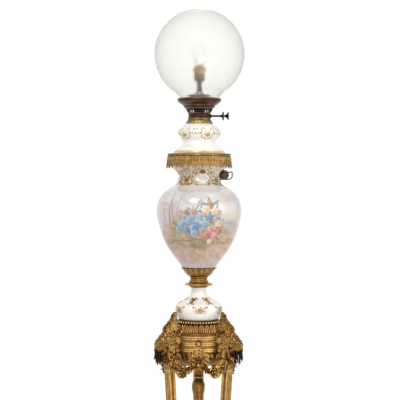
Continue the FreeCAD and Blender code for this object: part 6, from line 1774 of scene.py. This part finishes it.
def fluted_section(half_depth, half_width, flute):
    """Oblong of 112 points, its X depth and Y width, with three flutes on each
    broad side and one on each narrow side, and how deep each point lies."""
    broad, narrow = np.linspace(-1, 1, 41)[:-1], np.linspace(-1, 1, 17)[:-1]
    x = np.concatenate([np.ones(40), -narrow, -np.ones(40), narrow, [1.0]])
    y = np.concatenate([broad, np.ones(16), -broad, -np.ones(16), [-1.0]])
    on_broad = sum(hump(y, k, 0.17) for k in (-0.62, 0.0, 0.62)) * (np.abs(x) == 1)
    on_narrow = hump(x, 0.0, 0.38) * (np.abs(y) == 1)
    eased = 1 - 0.03 * (np.abs(x) == 1) * (np.abs(y) == 1)
    return (x * (half_depth - flute * on_broad) * eased, y * (half_width - flute * on_narrow) * eased,
        np.clip(on_broad + on_narrow, 0, 1))


def fluted_shaft():
    """Leaning shaft whose flutes end short of both ends, a chased lip on each."""
    rows = np.concatenate([np.linspace(0, 0.06, 9), np.linspace(0.07, 0.93, 24), np.linspace(0.94, 1, 9)])
    cut = ease(0.03, 0.05, rows) * (1 - ease(0.95, 0.97, rows))
    grid, tones = [], []
    for s, depth in zip(rows, cut):
        x, y, dent = fluted_section(8.0, 13.4, 1.6 * depth)
        middle = LEG_FOOT + (LEG_HEAD - LEG_FOOT) * s
        grid.append(np.stack([middle + x, y, np.full(len(x), STRETCHER_TOP + LEG_LENGTH * s)], -1))
        tones.append(0.80 - 0.50 * dent * depth)
    return shell(np.array(grid), np.array(tones))


def stacked(middle, steps, tone=0.6):
    """Block of rounded oblongs about a middle: steps of height, depth and width."""
    a = full_turn(65)
    c, s = np.cos(a), np.sin(a)
    x, y = squared(c, 0.3), squared(s, 0.3)
    steps = [(steps[0][0], 0, 0), *steps, (steps[-1][0], 0, 0)]
    grid = np.stack([np.stack([middle + 0.5 * d * x, 0.5 * w * y, np.full(65, h)], -1)
        for h, d, w in steps])
    return shell(grid, tone)


def capital():
    """Moulded capital: a ring, a hollow body under two rows of leaves, and a lip."""
    block = stacked(LEG_HEAD, [(764.0, 15.0, 26.0), (765.0, 16.0, 27.0), (768.0, 16.0, 27.0),
        (769.0, 14.6, 25.4), (772.0, 12.6, 23.6), (784.0, 12.6, 23.6), (789.0, 15.5, 26.5),
        (791.0, 19.0, 30.0), (792.0, 20.0, 31.0), (795.0, 20.0, 31.0), (796.0, 19.0, 30.0)], 0.2)
    one, hung, low = leaf(21.0, 9.0, 3, 2.6, 0.1), leaf(24.0, 12.0, 4, 2.4, 0.14), leaf(17.0, 8.0, 3, 2.2,
        0.14)
    parts = [block]
    for x, y, front in ((6.4, -7.6, (1, 0, 0)), (6.4, 0, (1, 0, 0)), (6.4, 7.6, (1, 0, 0)),
            (-6.4, -7.6, (-1, 0, 0)), (-6.4, 0, (-1, 0, 0)), (-6.4, 7.6, (-1, 0, 0)), (0, 11.9, (0, 1, 0)),
            (0, -11.9, (0, -1, 0))):
        parts.append(pointing(one, (LEG_HEAD + x, y, 770.0), front))
        parts.append(pointing(hung, (LEG_HEAD + 1.35 * x, 1.1 * y, 797.0), front, (0, 0.04 * y, -1)))
        parts.append(pointing(low, (LEG_HEAD + 1.2 * x, 1.05 * y + 1.5, 776.0), front, (0, 0.05 * y, -1)))
        parts.append(pointing(low, (82.9 + 1.15 * x, 1.05 * y - 1.5, 767.0), front, (-0.065, 0.04 * y, -1)))
    return joined(*parts)


def column():
    """Fluted shaft with its capital and a leafed foot."""
    foot = stacked(LEG_FOOT, [(343.0, 16.5, 24.0), (344.5, 17.5, 24.0), (348.0, 17.5, 24.0),
        (349.5, 15.0, 24.0), (352.0, 13.6, 24.0)])
    rings = [stacked(LEG_FOOT + 27.4 * (z - STRETCHER_TOP) / LEG_LENGTH,
        [(z - 2.0, 13.4, 24.6), (z - 1.2, 15.4, 26.4), (z + 1.2, 15.4, 26.4), (z + 2.0, 13.4, 24.6)], 0.75)
        for z in (360.0, 753.0)]
    one = leaf(30.0, 10.0, 4, 2.0, 0.1)
    leaves = [pointing(one, (57.4 + x, y, 361.0), front, (0.065, 0, 1)) for x, y, front in (
        (6.2, -7.0, (1, 0, 0)), (6.2, 7.0, (1, 0, 0)), (-5.8, -7.0, (-1, 0, 0)), (-5.8, 7.0, (-1, 0, 0)),
        (0, 11.8, (0, 1, 0)), (0, -11.8, (0, -1, 0)))]
    return joined(fluted_shaft(), foot, *rings, *leaves, capital())


def goat_leg():
    """Leg that swings out to the hoof: ovals along a curve, their fur a set of long
    waves, with a pad on top, a leaf at the knee and a fringe over the hoof."""
    p = through([(55.8, 332.0, 1.0), (55.8, 316.0, 1.0), (59.9, 273.0, 1.08), (69.4, 221.6, 1.02),
        (85.8, 173.0, 0.88), (103.5, 130.0, 0.76), (117.2, 95.8, 0.70), (122.0, 70.0, 0.84)], 120)
    path = np.stack([p[:, 0], 0 * p[:, 0], p[:, 1]], -1)
    way = unit(np.gradient(path, axis=0))
    side = np.array([0.0, 1.0, 0.0])
    lift = np.cross(way, side)
    a = full_turn(73)
    s = upwards(120)
    c, d = np.cos(a), np.sin(a)
    fur = np.sin(11 * a[None] + 3 * np.sin(15 * s + 2 * a[None])) * ease(0.22, 0.42, s)
    half_thick = 8.5 * p[:, 2:3] + 0.7 * fur
    half_wide = 11.0 * np.interp(s, [0, 0.1, 0.35, 0.75, 1.0], [1.0, 1.0, 1.0, 0.72, 0.86]) + 0.7 * fur
    grid = path[:, None] + lift[:, None] * (half_thick * squared(c, 0.8))[..., None] \
        + side * (half_wide * squared(d, 0.8))[..., None]
    leg = capped(path, grid, 0.42 + 0.34 * fur)
    pad = stacked(LEG_FOOT, [(329.0, 17.0, 24.0), (330.0, 18.6, 24.0), (335.0, 18.6, 24.0),
        (336.0, 17.4, 24.0)])
    leaves = [pointing(leaf(length, wide, 5, 2.0, 0.14, 14, 9), (x, 0, z), front, tip)
        for x, z, length, wide, front, tip in ((65.0, 330.0, 34.0, 22.0, (1, 0, 0.1), (0.05, 0, -1)),
        (65.4, 306.0, 38.0, 19.0, (1, 0, 0.2), (0.15, 0, -1)), (68.6, 278.0, 46.0, 16.0, (1, 0, 0.3),
        (0.30, 0, -1)), (46.6, 329.0, 34.0, 20.0, (-1, 0, 0), (0.04, 0, -1)),
        (48.0, 300.0, 42.0, 16.0, (-1, 0, -0.1), (0.16, 0, -1)))]
    leaves += [pointing(leaf(length, 15.0, 5, 1.2, 0.12, 14, 9),
        (np.interp(z, (273, 316), (60.4, 56.4)) + dx, k * 10.9, z), (0, k, 0.08),
        (0.10 + 0.02 * dx, 0, -1)) for k in (-1, 1) for z, dx, length in ((330.0, -5.0, 30.0),
        (330.0, 5.0, 30.0), (306.0, 0.0, 34.0), (284.0, -3.0, 30.0), (284.0, 4.0, 34.0))]
    tufts = []
    for k in range(14):
        turn = TURN * k / 14
        s = np.linspace(0, 1, 14)
        base = np.array([121.5 + 6.6 * math.cos(turn), 8.4 * math.sin(turn), 90.0])
        path = base + np.stack([(2.0 * s + 3.0 * s**2) * math.cos(turn),
            (2.0 * s + 3.0 * s**2) * math.sin(turn), -19.0 * s], -1)
        tufts.append(tube(path, 2.4 * (1 - s) ** 0.6 + 0.25, 7, (0.1, 0.2, 1),
            0.35 + 0.4 * np.cos(7 * s) ** 2))
    return joined(leg, pad, *leaves, *tufts, hoof())


def hoof():
    """Cloven hoof: two rounded toes side by side, each a stack of ovals that leans
    forward and narrows upwards, on the base."""
    parts = []
    for side in (-1, 1):
        rows = np.linspace(0, 1, 14)
        a = full_turn(33)
        grid = []
        for s in rows:
            long, wide = 16.6 * (1 - 0.30 * s**1.3), 6.6 * (1 - 0.16 * s**1.5)
            x = 124.0 - 3.0 * s + long * squared(np.cos(a), 0.8)
            y = side * 7.1 * (1 - 0.10 * s) + wide * np.sin(a) * (1 - 0.30 * (np.cos(a) > 0) * np.cos(a))
            grid.append(np.stack([x, y, np.full(len(a), BASE_TOP + 26.0 * s)], -1))
        middle = [np.repeat(g.mean(0)[None], len(a), 0) * [1, 1, 0] + [0, 0, g[0, 2]] for g in (grid[0],
            grid[-1])]
        grid = np.array([middle[0], *grid, middle[1]])
        bands = 0.45 + 0.10 * np.cos(TURN * 3 * np.linspace(0, 1, 16))[:, None]
        parts.append(shell(grid, bands))
    bridge = stacked(116.0, [(BASE_TOP, 16.0, 12.0), (70.0, 14.0, 12.0), (76.0, 10.0, 10.0)], 0.2)
    return joined(*parts, bridge)


for side, angle in LEG_ANGLES.items():
    piece(f"fluted_column_{side}", swung(column(), angle), *GILT, (f"leg_{side}",))
    piece(f"hoofed_leg_{side}", swung(goat_leg(), angle), *GILT, (f"hoof_leg_{side}",))


def stretcher_frame():
    """Flat frame: a hub and a ring with beaded edges, three arms with a sunk panel
    and leaves, and a pad under each leg."""
    hub = turned(softened([(4.2, 336.0), (14.2, 336.0), (15.0, 337.0), (15.0, 342.0), (14.2, 343.0),
        (4.2, 343.0), (4.2, 336.0)], 0.5), 72)
    ring = turned(softened([(26.0, 336.6), (27.0, 336.0), (33.0, 336.0), (34.0, 337.0), (34.0, 342.0),
        (33.2, 343.0), (31.6, 342.6), (30.0, 342.0), (28.4, 342.6), (26.8, 343.0), (26.0, 342.0),
        (26.0, 336.6)], 0.4), 144)
    parts = [hub, ring, beads(48, 30.0, 342.4, 1.0, 0.85)]
    for angle in LEG_ANGLES.values():
        slab = np.array([(13.0, -5), (50.0, -5), (50.0, 5), (13.0, 5), (13.0, -5)], float)
        slab = softened(slab, 0.6)
        walls = np.stack([np.column_stack([slab * k + (1 - k) * np.array([31.0, 0]),
            np.full(len(slab), z)]) for k, z in ((0, 336.0), (1, 336.0), (1, 342.4), (0.96, 343.0),
            (0.7, 343.0), (0.66, 342.2), (0, 342.2))])
        arm = shell(walls, 0.55)
        spray = [pointing(leaf(15.0, 8.6, 3, 0.3, 0.05), (x, 0, 342.0), (0, 0, 1), (way, 0, 0))
            for x, way in ((20.0, 1), (48.0, -1))]
        pad = stacked(LEG_FOOT, [(336.0, 17.0, 24.0), (337.0, 18.0, 24.0), (342.0, 18.0, 24.0),
            (343.0, 17.0, 24.0)])
        parts += [swung(joined(arm, pad, *spray), angle)]
    return joined(*parts)


piece("beaded_stretcher", stretcher_frame(), *GILT, ("stretcher",))


def urn():
    """Covered urn: a ringed foot, a body gadrooned below, and a lid with a bud."""
    lower = through([(12.0, 343.0), (12.0, 346.6), (10.0, 349.2), (5.4, 355.6), (6.6, 360.4),
        (7.4, 361.6)], 30)
    body = through([(7.4, 361.6), (12.6, 367.6), (14.8, 374.6), (15.0, 378.0)], 26)
    upper = through([(15.0, 378.0), (14.2, 381.4), (13.6, 382.8), (14.2, 384.0), (12.0, 386.0),
        (8.6, 390.6), (5.6, 393.6), (2.8, 396.8), (2.4, 399.0), (3.6, 401.4), (2.4, 405.4), (0.0, 407.0)],
        44)
    angle = full_turn(145)
    lobes = np.abs(np.sin(7 * angle))[None]
    s = upwards(26)
    gadroons = 0.9 * (lobes - 0.5) * np.sin(math.pi * s) ** 0.5
    return joined(turned([(0, 343.0), (12.0, 343.0)], 48), turned(lower, 72, 0.0, 0.55),
        turned(body, 144, gadroons, 0.2 + 0.65 * lobes), turned(upper, 72, 0.0, 0.6))


piece("gadrooned_urn", urn(), *GILT, ("stretcher_urn",))


def hollow_triangle(inset):
    """Outline of the base: three blunt corners joined by arcs of circles that pass
    through a waist, drawn in by an inset."""
    corner, half, waist = 172.0 - inset, 34.0 - 0.4 * inset, 72.0 - inset
    rows = []
    for angle in (-150.0, -30.0, 90.0):
        turn = about_axis(angle)[:2, :2]
        near = np.linspace(-1, 1, 12)[:, None] * [0, half] + [corner, 0]
        near[[0, -1], 0] -= 0.8
        rows.append(near @ turn.T)
        start = turn @ [corner, half]
        end = about_axis(angle + 120.0)[:2, :2] @ [corner, -half]
        middle = about_axis(angle + 60.0)[:2, :2] @ [waist, 0]
        chord = 0.5 * np.linalg.norm(end - start)
        base = 0.5 * (start + end)
        sag = np.linalg.norm(base - middle)
        radius = (chord**2 + sag**2) / (2 * sag)
        centre = middle + unit(base - middle) * radius
        first = math.atan2(*(start - centre)[::-1])
        last = math.atan2(*(end - centre)[::-1])
        sweep = (last - first + math.pi) % TURN - math.pi
        t = np.linspace(0, 1, 42)[1:-1]
        rows.append(centre + radius * np.stack([np.cos(first + sweep * t), np.sin(first + sweep * t)], -1))
    outline = np.vstack(rows)
    return np.vstack([outline, outline[:1]])


def moulded_slab(steps, tone):
    """Slab in the base's outline: at each step a height and an inset, closed by a
    point at the axis below and above."""
    grid = [np.column_stack([hollow_triangle(inset), np.full(157, z)]) for z, inset in steps]
    low, high = (np.tile([0.0, 0.0, z], (157, 1)) for z in (steps[0][0], steps[-1][0]))
    inner = [np.column_stack([0.5 * hollow_triangle(inset), np.full(157, z)]) for z, inset in (steps[0],
        steps[-1])]
    grid = np.array([low, inner[0], *grid, inner[1], high])
    tones = np.concatenate([[0.1, 0.1], tone, [0.45, 0.45]])
    return shell(grid, tones[:, None] * np.ones(157), (0, 0, 0.5 * (steps[0][0] + steps[-1][0])))


def base_leaves(inset, z, step, size, tip):
    """Row of small leaves along the base's outline, facing outwards."""
    outline = evenly(np.column_stack([hollow_triangle(inset), np.full(157, z)]), step)[:-1]
    way = unit(np.roll(outline, -1, 0) - np.roll(outline, 1, 0))
    front = np.cross(way, UP)
    return copies(leaf(size, 0.8 * step, 1, 0.4, 0.1, 6, 5, 0.6), facing(front, tip), outline)


plinth_steps = [(0.0, 1.0), (0.8, 0.0), (5.0, 0.0), (6.0, 1.4), (16.0, 1.4), (17.0, 0.0), (21.4, 0.0),
    (22.4, 0.6), (23.6, 1.8), (24.4, 4.2), (26.0, 6.4), (28.4, 7.8), (29.2, 8.4), (30.0, 9.0)]
plinth_tones = [0.3, 0.55, 0.6, 0.4, 0.4, 0.6, 0.7, 0.75, 0.6, 0.35, 0.35, 0.6, 0.7, 0.7]
piece("hollow_sided_plinth", joined(moulded_slab(plinth_steps, plinth_tones), base_leaves(2.8, 6.8, 9.0,
    9.0, UP)), *GILT, ("base_plinth",))
step_steps = [(30.0, 18.0), (30.8, 17.0), (33.0, 17.0), (34.0, 18.6), (41.0, 18.6), (42.0, 17.0),
    (44.4, 17.0), (45.4, 19.0), (47.0, 22.0), (48.8, 24.0), (50.0, 25.0)]
step_tones = [0.3, 0.6, 0.6, 0.3, 0.3, 0.65, 0.7, 0.5, 0.4, 0.6, 0.7]
piece("hollow_sided_step", joined(moulded_slab(step_steps, step_tones), base_leaves(19.0, 42.0, 6.0, 7.0,
    -UP)), *GILT, ("base_step",))

for name, finish in {"base_bolts": plain_steel, "leg_dowels": plain_steel, "head_screws": plain_steel,
        "tie_rod": plain_steel, "rod_washer": plain_steel, "rod_nut": plain_steel,
        "wick_tube": hidden_bronze, "internal_flex": plain_cotton}.items():
    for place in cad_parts[name].material_slots:
        place.material = finish


# Camera, floor and light

def aimed(thing, place, target):
    """Object put at a place with its -Z towards a target."""
    thing.location = place
    way = unit(np.array(target, float) - np.array(place, float))
    thing.rotation_euler = (math.acos(-way[2]), 0.0, math.atan2(-way[0], way[1]))
    bpy.context.collection.objects.link(thing)


lens_data = bpy.data.cameras.new("view")
lens_data.lens = 108.0
lens_data.sensor_width = 36.0
view = bpy.data.objects.new("view", lens_data)
aimed(view, (0.0024, -3.0, 1.17), (0.0024, 0.0, 1.17))
view.rotation_euler[1] = -0.0031
bpy.context.scene.camera = view

for name, place, target, size, watts in (("key", (-0.5, -2.0, 3.1), (0, 0, 1.1), 1.0, 31.0),
        ("fill", (1.9, -1.3, 1.6), (0, 0, 1.0), 1.6, 12.0), ("low", (0.2, -2.2, 0.5), (0, 0, 0.8), 1.2,
        5.0)):
    lamp = bpy.data.lights.new(name, "AREA")
    lamp.size = size
    lamp.energy = watts
    aimed(bpy.data.objects.new(name, lamp), place, target)


def seen_share(tree):
    """1 for rays from the camera, in gloss and through glass, and 0 for the rest."""
    path = node(tree, "LightPath").outputs
    gloss = sum_of(tree, "ADD", path["Is Camera Ray"], path["Is Glossy Ray"])
    return sum_of(tree, "ADD", gloss, path["Is Transmission Ray"], clamp=True)


def pale_ground():
    """Pale floor: to the camera, in gloss and through glass it adds its own plain
    light, and elsewhere it only takes light and shadow."""
    material, tree, shader, place = new_finish("pale_ground", 0.02, 0.001, Roughness=0.9)[:4]
    grain = speckle(tree, place, 40.0, 3.0)
    tree.links.new(mixed(tree, grain, screen(236, 235, 233), screen(243, 242, 240)),
        shader.inputs["Base Color"])
    shader.inputs["Emission Color"].default_value = (1, 1, 1, 1)
    tree.links.new(sum_of(tree, "MULTIPLY", seen_share(tree), 0.45), shader.inputs["Emission Strength"])
    return material


def ground():
    """Flat disc three metres wide from the lamp, a hair under its foot."""
    a = full_turn(65)
    grid = np.stack([np.stack([r * np.cos(a), r * np.sin(a), np.full(65, -0.2)], -1) for r in (0.0, 600.0,
        3200.0)])
    points, quads, triangles = weld(shell(grid, 0.5, (0, 0, -500.0)))[:3]
    mesh = bpy.data.meshes.new("ground")
    mesh.from_pydata((points * MM).tolist(), [], quads.tolist() + triangles.tolist())
    mesh.materials.append(pale_ground())
    made = bpy.data.objects.new("ground", mesh)
    bpy.context.collection.objects.link(made)
    return made


ground()

world = bpy.data.worlds.new("studio")
world.use_nodes = True
bpy.context.scene.world = world
tree = world.node_tree
back = tree.nodes["Background"]
back.inputs["Color"].default_value = (1, 1, 1, 1)
tree.links.new(sum_of(tree, "ADD", 0.55, sum_of(tree, "MULTIPLY", seen_share(tree), 0.45)),
    back.inputs["Strength"])
bpy.context.scene.view_settings.view_transform = "Standard"
